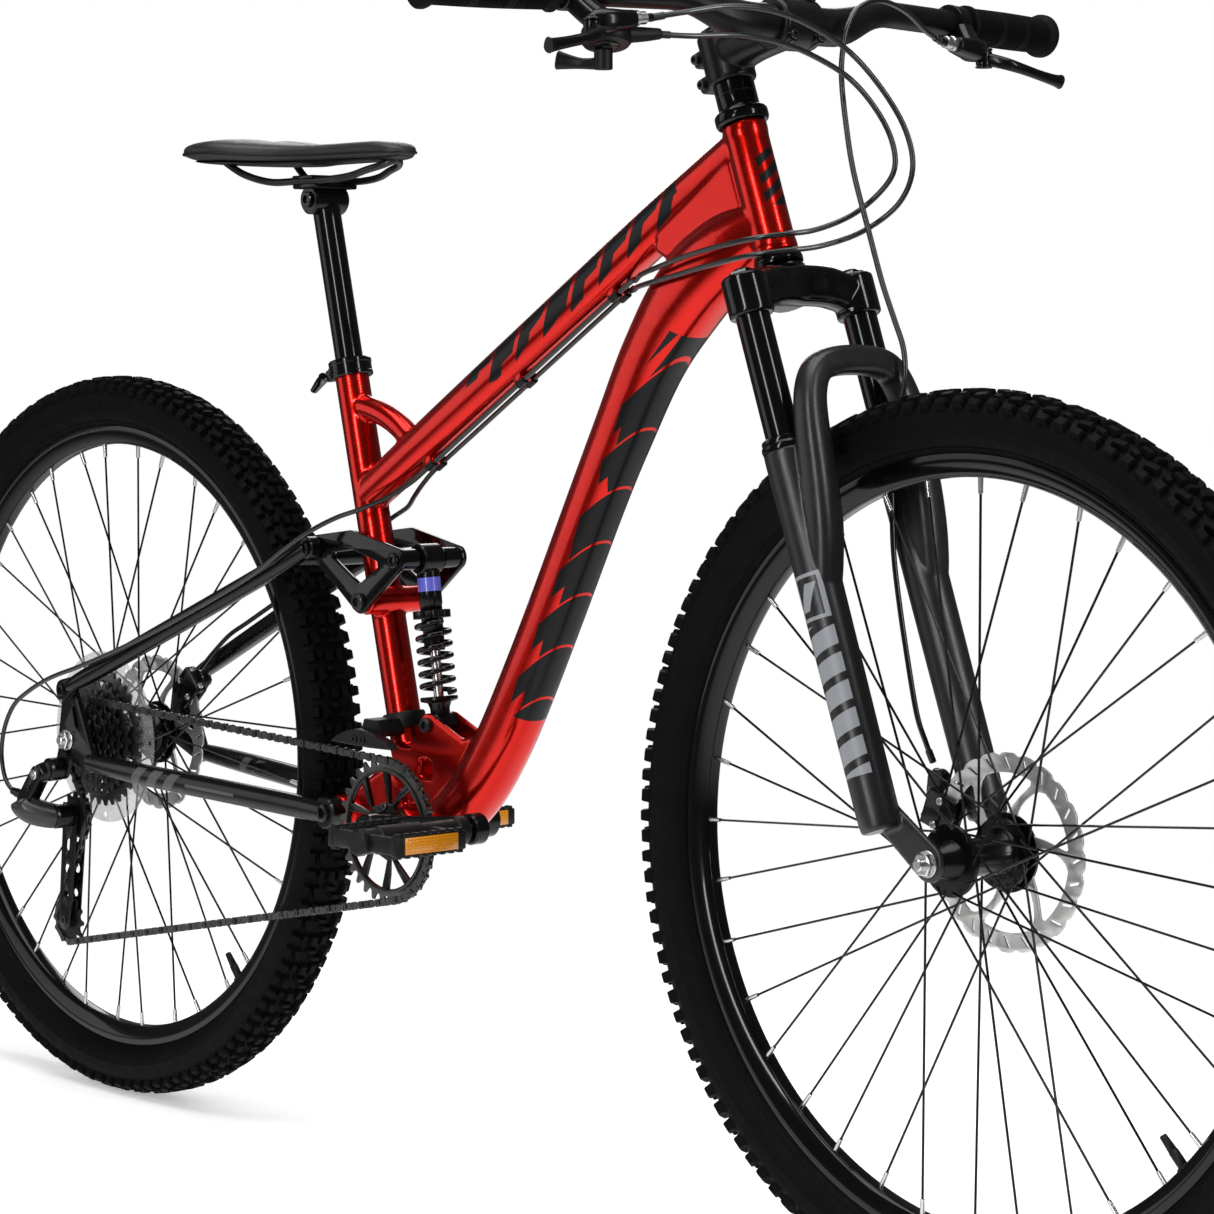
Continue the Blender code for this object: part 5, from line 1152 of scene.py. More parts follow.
upper_shapes = []
for side in (-1.0, 1.0):
    run = [(0.374, 0.5790, 0.0487), (0.345, 0.5668, 0.0490), (0.290, 0.5430, 0.0520),
           (0.060, 0.4440, 0.0730), (0.014, 0.4240, 0.0785)]
    upper_shapes.append(sweep(spline([at(x, z, side * y) for x, z, y in run], 8), 0.0092, 28,
                              spline([0.92, 1.0, 1.0, 0.95, 0.62], 8), 0.95, 2.3))
    upper_shapes.append(cross_rod(ROCKER_REAR, *sorted((side * 0.0400, side * 0.0522)), 0.0104, 32,
                                  0.0012))
    upper_shapes.append(bolt(at(*ROCKER_REAR, side * 0.0520), Vector((0, side, 0)), 0.0068, 0.0026))
    upper_shapes.append(cross_rod(ROCKER_REAR, *sorted((side * 0.0330, side * 0.0410)), 0.0036, 16))
    upper_shapes.append(prism([hull([(DROPOUT_PIVOT, 0.0107), ((0.022, 0.4275), 0.0072)])],
                              *sorted((side * 0.0724, side * 0.0802)), 0.0012))
    upper_shapes.append(bolt(at(*DROPOUT_PIVOT, side * 0.0800), Vector((0, side, 0)), 0.0062, 0.0024))
    upper_shapes.append(cross_rod(DROPOUT_PIVOT, *sorted((side * 0.0660, side * 0.0740)), 0.0040, 16))
upper_shapes.append(cross_rod((0.345, 0.5668), -0.0470, 0.0470, 0.0082, 32))
make("seatstay_arms", "stays", [ALLOY_BLACK], upper_shapes, ["seatstays"])

# derailleur
knuckle_way = Vector((0.0, -1.0, 0.0))
MECH_TOP = (-0.022, 0.3330)
MECH_LOW = (-0.047, 0.3030)
mech_shapes = [
    looked(cross_rod(HANGER, -0.0880, -0.0718, 0.0118, 40, 0.0020), 0),
    looked(bolt(at(*HANGER, -0.0878), knuckle_way, 0.0078, 0.0024), 1),
    looked(sweep(spline([at(-0.008, 0.3400, -0.0810), at(-0.018, 0.3355, -0.0860),
                         at(*MECH_TOP, -0.0920)], 5), 0.0098, 28, spline([0.9, 1.0, 0.95], 5), 0.9,
                 2.8), 0),
    looked(prism([hull([(MECH_TOP, 0.0088), (MECH_LOW, 0.0092)])], -0.0965, -0.0935, 0.0008), 0),
    looked(prism([hull([(MECH_TOP, 0.0074), (MECH_LOW, 0.0080)])], -0.0850, -0.0822, 0.0008), 0),
    looked(sweep(spline([at(-0.049, 0.3045, -0.0985), at(-0.047, 0.3000, -0.0960),
                         at(-0.039, 0.2935, -0.0880), at(-0.027, 0.2890, -0.0760),
                         at(-0.020, 0.2880, -0.0670)], 6), 0.0128, 32,
                 spline([0.62, 0.92, 1.04, 0.98, 0.88], 6), 1.0, 2.3), 2),
    looked(cross_rod(GUIDE_WHEEL, -0.0765, -0.0568, 0.0122, 40, 0.0020), 0),
    looked(bolt(at(*GUIDE_WHEEL, -0.0763), knuckle_way, 0.0070, 0.0022), 1),
    looked(bolt(at(*MECH_TOP, -0.0963), knuckle_way, 0.0052, 0.0030), 3),
    looked(bolt(at(*MECH_LOW, -0.0963), knuckle_way, 0.0040, 0.0024), 1),
    looked(bolt(at(-0.0350, 0.3175, -0.0963), knuckle_way, 0.0030, 0.0020), 1),
    looked(rod(at(-0.058, 0.3060, -0.0840), at(-0.074, 0.3090, -0.0852), 0.0048, sides=24), 0),
    looked(rod(at(-0.072, 0.3086, -0.0851), at(-0.080, 0.3101, -0.0856), 0.0040, sides=12), 0),
]
make("derailleur_links", "swingarm",
     [ALLOY_BLACK, DARK_STEEL, CHARCOAL_PLAIN, STEEL], mech_shapes,
     ["derailleur_body"])
cage_holes = [circle((GUIDE_WHEEL[0] - 0.0055, 0.232), 0.0052, 20),
              hull([((GUIDE_WHEEL[0] - 0.0045, 0.254), 0.0030),
                    ((GUIDE_WHEEL[0] - 0.0035, 0.262), 0.0030)], 16),
              circle((TENSION_WHEEL[0] + 0.0035, 0.206), 0.0040, 20)]
cage_shapes = []
for low, high in ((-0.0073, -0.0055), (0.0045, 0.0061)):
    cage_shapes.append(looked(prism([hull([(GUIDE_WHEEL, 0.0122), (TENSION_WHEEL, 0.0102)]),
                                     *cage_holes], CHAIN_PLANE + low, CHAIN_PLANE + high, 0.0004), 0))
for point in (GUIDE_WHEEL, TENSION_WHEEL):
    cage_shapes.append(looked(cross_rod(point, CHAIN_PLANE - 0.0060, CHAIN_PLANE + 0.0050, 0.0027), 1))
    cage_shapes.append(looked(bolt(at(*point, CHAIN_PLANE - 0.0072), knuckle_way, 0.0048, 0.0016), 1))
make("derailleur_cage_plates", "cage", [ALLOY_BLACK, DARK_STEEL], cage_shapes,
     ["derailleur_cage"])
GUIDE_PITCH = pitch_radius(GUIDE_TEETH)
for name, body, point, index in (("upper", "jockey_u", GUIDE_WHEEL, 2),
                                 ("lower", "jockey_l", TENSION_WHEEL, 3)):
    tip = GUIDE_PITCH + (0.0018 if index == 3 else 0.0012)
    wheel_shapes = [
        looked(prism([tooth_edge(point, GUIDE_TEETH, tip, GUIDE_PITCH - 0.0040, phase_on(index)),
                      circle(point, 0.0045, 20)],
                     CHAIN_PLANE - 0.0011, CHAIN_PLANE + 0.0011, 0.0003), 0),
        looked(turned([(0.0076, 0.0036), (0.0076, -0.0036), (0.0029, -0.0036), (0.0029, 0.0036)],
                      Matrix.Translation((0.0, CHAIN_PLANE, 0.0)) @ across(point), 32), 1)]
    make("jockey_wheel_" + name, body, [PLASTIC, DARK_STEEL], wheel_shapes,
         ["jockey_" + name])


# ---------------------------------------------------------------- wheels
def knob(angle, y, tilt, base, length, width, height, yaw=0.0):
    """Tapered tread block standing on the tyre at an angle round it."""
    outward = Vector((math.cos(angle), 0.0, math.sin(angle)))
    round_way = Vector((-math.sin(angle), 0.0, math.cos(angle)))
    across_way = Vector((0.0, 1.0, 0.0))
    up = (outward * math.cos(tilt) + across_way * math.sin(tilt)).normalized()
    over = round_way.cross(up).normalized()
    ahead = round_way * math.cos(yaw) + over * math.sin(yaw)
    over = up.cross(ahead).normalized()
    foot = outward * base + across_way * y
    verts = []
    for level, share in ((-0.0020, 1.12), (height * 0.82, 0.92), (height, 0.78)):
        for a, b in ((-1, -1), (1, -1), (1, 1), (-1, 1)):
            verts.append(foot + up * level + ahead * (a * length * share / 2.0)
                         + over * (b * width * share / 2.0))
    faces = [(3, 2, 1, 0), (8, 9, 10, 11)]
    for row in (0, 4):
        faces += [(row + k, row + (k + 1) % 4, row + 4 + (k + 1) % 4, row + 4 + k)
                  for k in range(4)]
    return verts, faces


def tyre_shapes(axle):
    """Tyre body with its sidewall lines, and the rows of tread blocks."""
    half = [(0.3172, 0.0106), (0.3178, 0.0122), (0.3212, 0.0158), (0.3222, 0.0172),
            (0.3228, 0.0168), (0.3262, 0.0204), (0.3310, 0.0238), (0.3360, 0.0257),
            (0.3372, 0.0263), (0.3380, 0.0261), (0.3430, 0.0268), (0.3490, 0.0258),
            (0.3545, 0.0226), (0.3590, 0.0172), (0.3616, 0.0105), (0.3628, 0.0040)]
    profile = half + [(radius, -y) for radius, y in reversed(half)]
    shapes = [turned(profile, across(axle), 180)]
    centre = at(*axle)
    pitches = 64
    step = 2.0 * math.pi / pitches
    rows = []
    for k in range(pitches):
        a = k * step
        for y in (-0.0052, 0.0052):
            rows.append((a, y, 0.08 * math.copysign(1, y), 0.3622, 0.0118, 0.0072, 0.0058, 0.0))
        b = a + step * 0.5
        rows.append((b - step * 0.13, 0.0035, 0.0, 0.3624, 0.0050, 0.0110, 0.0056, 0.18))
        rows.append((b + step * 0.13, -0.0035, 0.0, 0.3624, 0.0050, 0.0110, 0.0056, 0.18))
        for side in (-1.0, 1.0):
            rows.append((b, side * 0.0152, side * 0.36, 0.3596, 0.0125, 0.0070, 0.0058,
                         side * 0.30))
            rows.append((a + step * 0.06, side * 0.0140, side * 0.34, 0.3602, 0.0075, 0.0058,
                         0.0052, -side * 0.20))
            rows.append((a, side * 0.0212, side * 0.72, 0.3560, 0.0095, 0.0088, 0.0062, 0.0))
            rows.append((b, side * 0.0222, side * 0.78, 0.3548, 0.0110, 0.0070, 0.0060, 0.0))
    for row in rows:
        verts, faces = knob(*row)
        shapes.append(([vert + centre for vert in verts], faces))
    return shapes


def rim_shapes(axle, valve_angle):
    profile = [(0.3172, 0.0118), (0.3174, 0.0127), (0.3160, 0.0130), (0.3110, 0.0127),
               (0.3085, 0.0120), (0.3040, 0.0098), (0.3005, 0.0074), (0.2990, 0.0056),
               (0.2986, 0.0030)]
    ring = profile + [(radius, -y) for radius, y in reversed(profile)]
    shapes = [looked(turned(ring, across(axle), 180), 0)]
    outward = Vector((math.cos(valve_angle), 0.0, math.sin(valve_angle)))
    foot = at(*axle) + outward * 0.2990
    tip = at(*axle) + outward * 0.2690
    shapes.append(looked(rod(foot, at(*axle) + outward * 0.2830, 0.0041, sides=20), 1))
    shapes.append(looked(rod(at(*axle) + outward * 0.2835, tip, 0.0037, 0.0030, 20), 1))
    shapes.append(looked(rod(foot + outward * 0.001, foot - outward * 0.0018, 0.0062, sides=24), 1))
    return shapes


def spoke_shapes(axle, flange_right, flange_left, flange, first_angle):
    """Crossed spokes from the flanges to the rim, with their nipples and heads."""
    shapes = []
    centre = at(*axle)
    for k in range(SPOKES):
        left = k % 2 == 1
        leading = (k // 2) % 2 == 0
        angle = first_angle + 2.0 * math.pi * k / SPOKES
        hole = angle + math.radians(60.0 if leading else -60.0)
        flange_y = flange_left if left else flange_right
        outside = 1.0 if left else -1.0
        if leading:
            outside = -outside
        start = centre + Vector((math.cos(hole) * (flange - 0.0035), flange_y + outside * 0.0024,
                                 math.sin(hole) * (flange - 0.0035)))
        rim_y = 0.0025 if left else -0.0025
        end = centre + Vector((math.cos(angle) * 0.2990, rim_y, math.sin(angle) * 0.2990))
        way = (end - start).normalized()
        nipple = end - way * 0.0135
        shapes.append(looked(rod(start, nipple + way * 0.004, 0.00105, sides=8, chamfer=0.0), 0))
        shapes.append(looked(rod(nipple, end, 0.0019, 0.0022, 10, 0.0003), 1))
        head = Vector((start.x, flange_y - outside * 0.0022, start.z))
        shapes.append(looked(rod(Vector((start.x, flange_y + outside * 0.0024, start.z)), head,
                                 0.0013, 0.0019, 10, 0.0002), 0))
    return shapes


def hub_shapes(axle, flange_right, flange_left, end_right, end_left, barrel, flange):
    shapes = [looked(turned([
        (0.0085, end_left), (0.0100, end_left - 0.001), (0.0108, flange_left + 0.0070),
        (0.0170, flange_left + 0.0022), (flange - 0.001, flange_left + 0.0018),
        (flange, flange_left + 0.0009), (flange, flange_left - 0.0009),
        (flange - 0.001, flange_left - 0.0018), (barrel + 0.0045, flange_left - 0.0022),
        (barrel + 0.0008, flange_left - 0.0070), (barrel - 0.0010, (flange_left + flange_right) / 2),
        (barrel + 0.0008, flange_right + 0.0070), (barrel + 0.0045, flange_right + 0.0022),
        (flange - 0.001, flange_right + 0.0018), (flange, flange_right + 0.0009),
        (flange, flange_right - 0.0009), (flange - 0.001, flange_right - 0.0018),
        (0.0170, flange_right - 0.0022), (0.0100, min(flange_right - 0.0024, end_right + 0.001)),
        (0.0085, end_right), (0.0056, end_right), (0.0056, end_left)], across(axle), 64), 0)]
    return shapes


def rotor_shapes(axle, y):
    """Brake disc: wavy slotted band, six curved arms and a bolted carrier."""
    waves = 24
    edge = []
    for k in range(waves * 10):
        share = (k / 10.0) % 1.0
        dip = 0.0024 * math.exp(-((share - 0.5) / 0.16) ** 2)
        edge.append(polar(axle, 0.0800 - dip, 2.0 * math.pi * k / (waves * 10)))
    openings = []
    radii = [0.0325, 0.0400, 0.0480, 0.0560, 0.0610, 0.0640]
    thick = [0.0046, 0.0036, 0.0033, 0.0036, 0.0050, 0.0085]
    for k in range(6):
        start = 2.0 * math.pi * k / 6.0
        end = start + 2.0 * math.pi / 6.0
        lean = [(0.0640 - radius) * 11.0 for radius in radii]
        lower = [polar(axle, radius, start + swing + half / radius)
                 for radius, half, swing in zip(radii, thick, lean)]
        upper = [polar(axle, radius, end + swing - half / radius)
                 for radius, half, swing in zip(radii, thick, lean)]
        first = start + thick[-1] / radii[-1]
        last = end - thick[-1] / radii[-1]
        outer = [polar(axle, 0.0640, first + (last - first) * n / 8.0) for n in range(1, 8)]
        openings.append(lower + outer + upper[::-1])
    slots = []
    for k in range(waves):
        turn = 2.0 * math.pi * (k + 0.02) / waves
        slots.append([polar(axle, 0.0762, turn - 0.012 + 0.035), polar(axle, 0.0762, turn + 0.020 + 0.035),
                      polar(axle, 0.0672, turn + 0.020 - 0.035), polar(axle, 0.0672, turn - 0.012 - 0.035)])
    bolts = []
    for k in range(6):
        x, z = polar(axle, 0.0225, 2.0 * math.pi * (k + 0.5) / 6.0)
        bolts.append(looked(bolt(at(x, z, y + 0.0008), Vector((0, 1, 0)), 0.0040, 0.0022), 1))
    carrier = turned([(0.0320, y + 0.0012), (0.0320, y - 0.0012), (0.0130, y - 0.0012),
                      (0.0130, y + 0.0012)], across(axle), 48)
    return [looked(prism([edge, *openings, *slots, circle(axle, 0.0280, 48)], y - 0.0009,
                         y + 0.0009, 0.0002), 0), looked(carrier, 1), *bolts]


WHEELS = (
    ("rear", REAR_AXLE, -0.0215, 0.0335, -0.0245, 0.0620, 0.0165, 0.0290, REAR_DISC_Y,
     math.radians(-49.5), REAR_DISC_STEEL),
    ("front", FRONT_AXLE, -0.0290, 0.0300, -0.0460, 0.0460, 0.0160, 0.0290, FRONT_DISC_Y,
     math.radians(-45.0), FRONT_DISC_STEEL),
)
for (prefix, axle, flange_right, flange_left, end_right, end_left, barrel, flange, disc_y,
     valve_angle, disc_steel) in WHEELS:
    body = prefix + "_wheel"
    make(prefix + "_tyre_tread", body, [RUBBER], tyre_shapes(axle),
         [prefix + "_tyre"], sharp=30.0)
    make(prefix + "_rim_hoop", body, [GLOSS_BLACK, PLASTIC],
         rim_shapes(axle, valve_angle), [prefix + "_rim"], sharp=50.0)
    make(prefix + "_spoke_set", body, [ALLOY_BLACK, STEEL],
         spoke_shapes(axle, flange_right, flange_left, flange, valve_angle + math.radians(5.0)),
         [prefix + "_spokes"])
    make(prefix + "_hub_shell", body, [ALLOY_BLACK],
         hub_shapes(axle, flange_right, flange_left, end_right, end_left, barrel, flange),
         [prefix + "_hub"])
    make(prefix + "_disc", body, [disc_steel, ALLOY_BLACK], rotor_shapes(axle, disc_y),
         [prefix + "_rotor"], sharp=30.0)

guard_holes = [circle(polar(REAR_AXLE, 0.0800, 2.0 * math.pi * k / 12), 0.0030, 12)
               for k in range(12)]
make("spoke_guard", "rear_wheel", [CLEAR], [prism(
    [circle(REAR_AXLE, 0.0875, 96), *guard_holes, circle(REAR_AXLE, 0.0130, 32)],
    -0.0264, -0.0252, 0.0003)], ["spoke_protector"])

cog_shapes = []
for teeth, y in ((34, -0.0288), (28, -0.0338), (24, -0.0388), (22, -0.0440), (20, CHAIN_PLANE),
                 (17, -0.0540), (14, -0.0585)):
    radius = pitch_radius(teeth)
    outline = tooth_edge(REAR_AXLE, teeth, radius + (0.0018 if teeth > 24 else 0.0016),
                         radius - 0.0040, phase_on(1) if teeth == COG_TEETH else 0.1 * teeth)
    holes = []
    if teeth > 20:
        for k in range(6):
            mid = 2.0 * math.pi * k / 6 + teeth
            holes.append([polar(REAR_AXLE, radius * share, mid + lean) for share, lean in
                          ((0.84, -0.22), (0.84, 0.22), (0.60, 0.16), (0.60, -0.16))])
    cog_shapes.append(looked(prism([outline, *holes, circle(REAR_AXLE, 0.0150, 32)],
                                   y - 0.0009, y + 0.0009, 0.0002), 0))
cog_shapes.append(looked(turned([(0.0160, -0.0278), (0.0160, -0.0600), (0.0056, -0.0600),
                                 (0.0056, -0.0278)], across(REAR_AXLE), 32), 1))
cog_shapes.append(looked(turned([(0.0190, -0.0592), (0.0190, -0.0610), (0.0100, -0.0610),
                                 (0.0100, -0.0592)], across(REAR_AXLE), 32), 0))
make("cassette_cogs", "sprockets", [CHAIN_STEEL, DARK_STEEL], cog_shapes,
     ["cassette"], sharp=30.0)


# ---------------------------------------------------------------- brakes
def caliper_shapes(disc_centre, disc_y, angle):
    """Two housings around the disc, their bridge, bolts and pivot drum."""
    outward = Vector((math.cos(angle), 0.0, math.sin(angle)))
    round_way = Vector((-math.sin(angle), 0.0, math.cos(angle)))
    way = Vector((0.0, 1.0, 0.0))
    edge = at(*disc_centre, disc_y) + outward * 0.0740
    left = Vector((0.0, 0.0046, 0.0))
    right = Vector((0.0, -0.0042, 0.0))
    turn = Matrix(((outward.x, 0.0, round_way.x), (0.0, 1.0, 0.0), (outward.z, 0.0, round_way.z)))
    turn = turn.to_4x4()
    cam = at(*disc_centre, disc_y) + outward * 0.0860
    shapes = [
        looked(box(edge + left, (0.0330, 0.0052, 0.0320), turn, 0.0020), 0),
        looked(box(edge + right, (0.0310, 0.0048, 0.0300), turn, 0.0018), 0),
        looked(box(edge + outward * 0.0132 + way * 0.0002, (0.0072, 0.0126, 0.0310), turn, 0.0018), 0),
        looked(rod(cam + way * 0.0038, cam + way * 0.0126, 0.0107, sides=40, chamfer=0.0012), 0),
        looked(bolt(edge + round_way * 0.0105 + right * 1.60, -way, 0.0034, 0.0024), 1),
        looked(bolt(edge - round_way * 0.0105 + right * 1.60, -way, 0.0034, 0.0024), 1),
        looked(bolt(edge + outward * 0.0165 + round_way * 0.0105, outward, 0.0032, 0.0028), 1),
        looked(bolt(edge + outward * 0.0165 - round_way * 0.0105, outward, 0.0032, 0.0028), 1),
    ]
    return shapes


def cam_arm_shapes(cam, y, angle):
    tip = polar(cam, 0.026, angle)
    return [
        prism([hull([(cam, 0.0072), (tip, 0.0046)]),
               circle(polar(cam, 0.0150, angle), 0.0022, 16)], y, y + 0.0030, 0.0005),
        nut(at(*cam, y + 0.0030), Vector((0, 1, 0)), 0.0056, 0.0034),
        bolt(at(*tip, y + 0.0030), Vector((0, 1, 0)), 0.0036, 0.0030),
        cross_rod(tip, y - 0.0034, y + 0.0004, 0.0030, 16),
    ]


REAR_CALIPER_ANGLE = math.radians(42.0)
FRONT_CALIPER_ANGLE = math.radians(160.0)
make("rear_caliper_body", "stays", [ALLOY_BLACK, STEEL],
     caliper_shapes(REAR_AXLE, REAR_DISC_Y, REAR_CALIPER_ANGLE), ["rear_caliper"])
make("front_caliper_body", "lowers", [ALLOY_BLACK, STEEL],
     caliper_shapes(FRONT_AXLE, FRONT_DISC_Y, FRONT_CALIPER_ANGLE), ["front_caliper"])
make("rear_cam_arm", "rear_cam", [DARK_STEEL], cam_arm_shapes(
    polar(REAR_AXLE, 0.0860, REAR_CALIPER_ANGLE), REAR_DISC_Y + 0.0129, math.radians(200.0)),
    ["rear_caliper_arm"])
make("front_cam_arm", "front_cam", [DARK_STEEL], cam_arm_shapes(
    polar(FRONT_AXLE, 0.0860, FRONT_CALIPER_ANGLE), FRONT_DISC_Y + 0.0129, math.radians(110.0)),
    ["front_caliper_arm"])

# ---------------------------------------------------------------- rocker and shock
rocker_outline = hull([(ROCKER_REAR, 0.0117), ((0.425, 0.5870), 0.0102), (ROCKER_FRONT, 0.0117),
                       (ROCKER_PIVOT, 0.0112)])
rocker_window = hull([((0.4010, 0.5720), 0.0034), ((0.4280, 0.5755), 0.0034),
                      ((0.4620, 0.5665), 0.0034), ((0.4370, 0.5515), 0.0034)], 16)
rocker_shapes = [cross_rod(ROCKER_FRONT, -0.0350, 0.0350, 0.0071)]
for side in (-1.0, 1.0):
    rocker_shapes.append(prism([rocker_outline, rocker_window],
                               *sorted((side * 0.0333, side * 0.0388)), 0.0015))
    rocker_shapes.append(cross_rod(ROCKER_FRONT, *sorted((side * 0.0150, side * 0.0334)), 0.0098,
                                   32, 0.0010))
    rocker_shapes.append(bolt(at(*ROCKER_FRONT, side * 0.0388), Vector((0, side, 0)), 0.0072,
                              0.0030))
make("rocker_plates", "rocker_link", [GLOSS_BLACK], rocker_shapes, ["rocker"])

shock_foot = at(*SHOCK_FOOT)
shock_head = at(*ROCKER_FRONT)
shock_way = (shock_head - shock_foot).normalized()
shock_length = (shock_head - shock_foot).length
SHOCK_PLACE = axis(shock_foot, shock_head)


def on_shock(distance):
    return shock_foot + shock_way * distance


make("shock_rod_and_seat", "shock_rod", [STEEL, ALLOY_BLACK], [
    looked(rod(on_shock(0.020), on_shock(0.075), 0.0047, sides=32), 0),
    looked(turned([(0.0, 0.0255), (0.0165, 0.0255), (0.0174, 0.0248), (0.0174, 0.0222),
                   (0.0166, 0.0212), (0.0110, 0.0198), (0.0092, 0.0150), (0.0088, 0.0060),
                   (0.0, 0.0060)], SHOCK_PLACE, 56), 1),
    looked(cross_rod(SHOCK_FOOT, -0.0112, 0.0112, 0.0109, 40, 0.0012), 1),
], ["shock_shaft"])
L = shock_length
collar = []
for n in range(72):
    radius = 0.0174 if n % 4 < 2 else 0.0163
    turn = 2.0 * math.pi * n / 72
    collar.append((radius * math.cos(turn), radius * math.sin(turn)))
make("shock_can", "shock_barrel", [ALLOY_BLACK, BLUE, STEEL], [
    looked(turned([(0.0, L - 0.0100), (0.0100, L - 0.0105), (0.0108, L - 0.0120),
                   (0.0108, L - 0.0172), (0.0104, L - 0.0176), (0.0104, L - 0.0304),
                   (0.0108, L - 0.0308), (0.0108, L - 0.0420), (0.0102, L - 0.0428),
                   (0.0102, L - 0.0590), (0.0096, L - 0.0600), (0.0096, 0.0684),
                   (0.0090, 0.0678), (0.0050, 0.0678), (0.0050, L - 0.0300), (0.0, L - 0.0300)],
                  SHOCK_PLACE, 56), 0),
    looked(turned([(0.0090, L - 0.0176), (0.01075, L - 0.0176), (0.01075, L - 0.0304),
                   (0.0090, L - 0.0304)], SHOCK_PLACE, 56), 1),
    looked(cross_rod(ROCKER_FRONT, -0.0118, 0.0118, 0.0140, 48, 0.0014), 0),
    looked(prism([collar, circle((0.0, 0.0), 0.0092, 32)], L - 0.0552, L - 0.0478, 0.0006,
                 SHOCK_PLACE), 0),
], ["shock_body"])
SPRING_TURNS = 6.0
COIL_RADIUS = 0.0148
SPRING_LOW = 0.0282
SPRING_HIGH = shock_length - 0.0584
front_way = Vector((0.0, 1.0, 0.0)).cross(shock_way)
coil = []
for k in range(int(SPRING_TURNS * 32) + 1):
    share = k / (SPRING_TURNS * 32)
    turn = 2.0 * math.pi * SPRING_TURNS * share
    height = SPRING_LOW + (SPRING_HIGH - SPRING_LOW) * share
    coil.append(on_shock(height) + front_way * (COIL_RADIUS * math.cos(turn))
                + Vector((0.0, COIL_RADIUS * math.sin(turn), 0.0)))
make("shock_coil", ("shock_rod", "shock_barrel", on_shock(SPRING_LOW), on_shock(SPRING_HIGH)),
     [GLOSS_BLACK], [sweep(coil, 0.0025, 14)], ["shock_spring"])

# ---------------------------------------------------------------- fork
crown_shapes = [
    rod(on_fork(0.0, 0.0690), on_fork(0.003, 0.1020), 0.0198, 0.0180, 48),
    sweep(spline([on_fork(0.016, 0.101, -0.062), on_fork(0.0145, 0.0950, -0.048),
                  on_fork(0.0120, 0.0890, -0.030), on_fork(0.007, 0.0860, 0.0),
                  on_fork(0.0120, 0.0890, 0.030), on_fork(0.0145, 0.0950, 0.048),
                  on_fork(0.016, 0.101, 0.062)], 6),
          0.0165, 40, spline([0.90, 0.98, 1.03, 1.06, 1.03, 0.98, 0.90], 6), 1.0, 2.8, 0.0),
]
for side in (-1.0, 1.0):
    y = side * LEG_SPACING
    crown_shapes.append(rod(on_fork(STANCHION_OFFSET, 0.0826, y), on_fork(STANCHION_OFFSET, 0.1172, y),
                            0.0187, sides=48, chamfer=0.0016))
make("fork_crown", "steerer", [GLOSS_BLACK], crown_shapes, [],
     voxel=0.0014, passes=3)
stanchion_shapes = [rod(on_fork(0.0, -0.1395), on_fork(0.0, 0.0800), 0.0143, sides=40)]
for side in (-1.0, 1.0):
    y = side * LEG_SPACING
    stanchion_shapes.append(rod(on_fork(STANCHION_OFFSET, 0.1100, y),
                                on_fork(STANCHION_OFFSET, 0.3500, y), 0.0141, sides=56))
    top = on_fork(STANCHION_OFFSET, 0.0822, y)
    up = (on_fork(0.0, 0.0) - on_fork(0.0, 0.1)).normalized()
    stanchion_shapes.append(nut(top, up, 0.0125, 0.0030))
    stanchion_shapes.append(rod(top, top + up * 0.0052, 0.0080, sides=32, chamfer=0.0010))
make("fork_stanchions", "steerer", [GLOSS_BLACK], stanchion_shapes,
     ["fork_upper"])

leg_shapes = []
seal_shapes = []
LEG_TOP, LEG_END = 0.2260, 0.5450
for side in (-1.0, 1.0):
    y = side * LEG_SPACING
    stations = [LEG_TOP + 0.004, 0.245, 0.262, 0.300, 0.345, 0.420, 0.500, 0.532, LEG_END]
    leg_shapes.append(sweep(
        spline([on_fork(STANCHION_OFFSET, s, y) for s in stations], 4), 0.0190, 48,
        spline([1.0, 1.0, 0.99, 0.97, 0.96, 0.94, 0.92, 0.91, 0.86], 4), chamfer=0.0015))
    tip = (HEAD_CENTRE[0] + 0.018 * FORK_FORWARD[0] + 0.535 * FORK_DOWN[0],
           HEAD_CENTRE[1] + 0.018 * FORK_FORWARD[1] + 0.535 * FORK_DOWN[1])
    leg_shapes.append(prism([hull([(FRONT_AXLE, 0.0152), (tip, 0.0135)])],
                            *sorted((side * 0.0500, side * 0.0560)), 0.0016))
    seal = axis(on_fork(STANCHION_OFFSET, LEG_TOP - 0.0005, y), on_fork(STANCHION_OFFSET, LEG_TOP + 0.1, y))
    seal_shapes.append(turned([(0.0146, -0.0050), (0.0168, -0.0050), (0.0180, -0.0042),
                               (0.0184, -0.0022), (0.0181, -0.0006), (0.0192, 0.0006),
                               (0.0196, 0.0030), (0.0190, 0.0056), (0.0146, 0.0056)], seal, 56))
arch_half = [(0.020, 0.346, 0.0620), (0.0250, 0.330, 0.0615), (0.033, 0.300, 0.0600),
             (0.040, 0.262, 0.0590), (0.046, 0.215, 0.0570),
             (0.0485, 0.190, 0.0515), (0.0505, 0.174, 0.0400), (0.052, 0.168, 0.0180)]
arch_line = [on_fork(o, s, -y) for o, s, y in arch_half]
arch_line += [on_fork(o, s, y) for o, s, y in reversed(arch_half)]
arch_scales = [1.0, 1.10, 1.16, 1.10, 1.0, 0.96, 0.94, 0.94]
leg_shapes.append(sweep(spline(arch_line, 5), 0.0128, 40,
                        spline(arch_scales + arch_scales[::-1], 5), 1.0, 2.7, 0.0))
leg_shapes.append(prism([hull([(polar(FRONT_AXLE, 0.0900, math.radians(160.0)), 0.0110),
                               (polar(FRONT_AXLE, 0.0985, math.radians(150.0)), 0.0090)])],
                        0.0440, 0.0560, 0.0014))
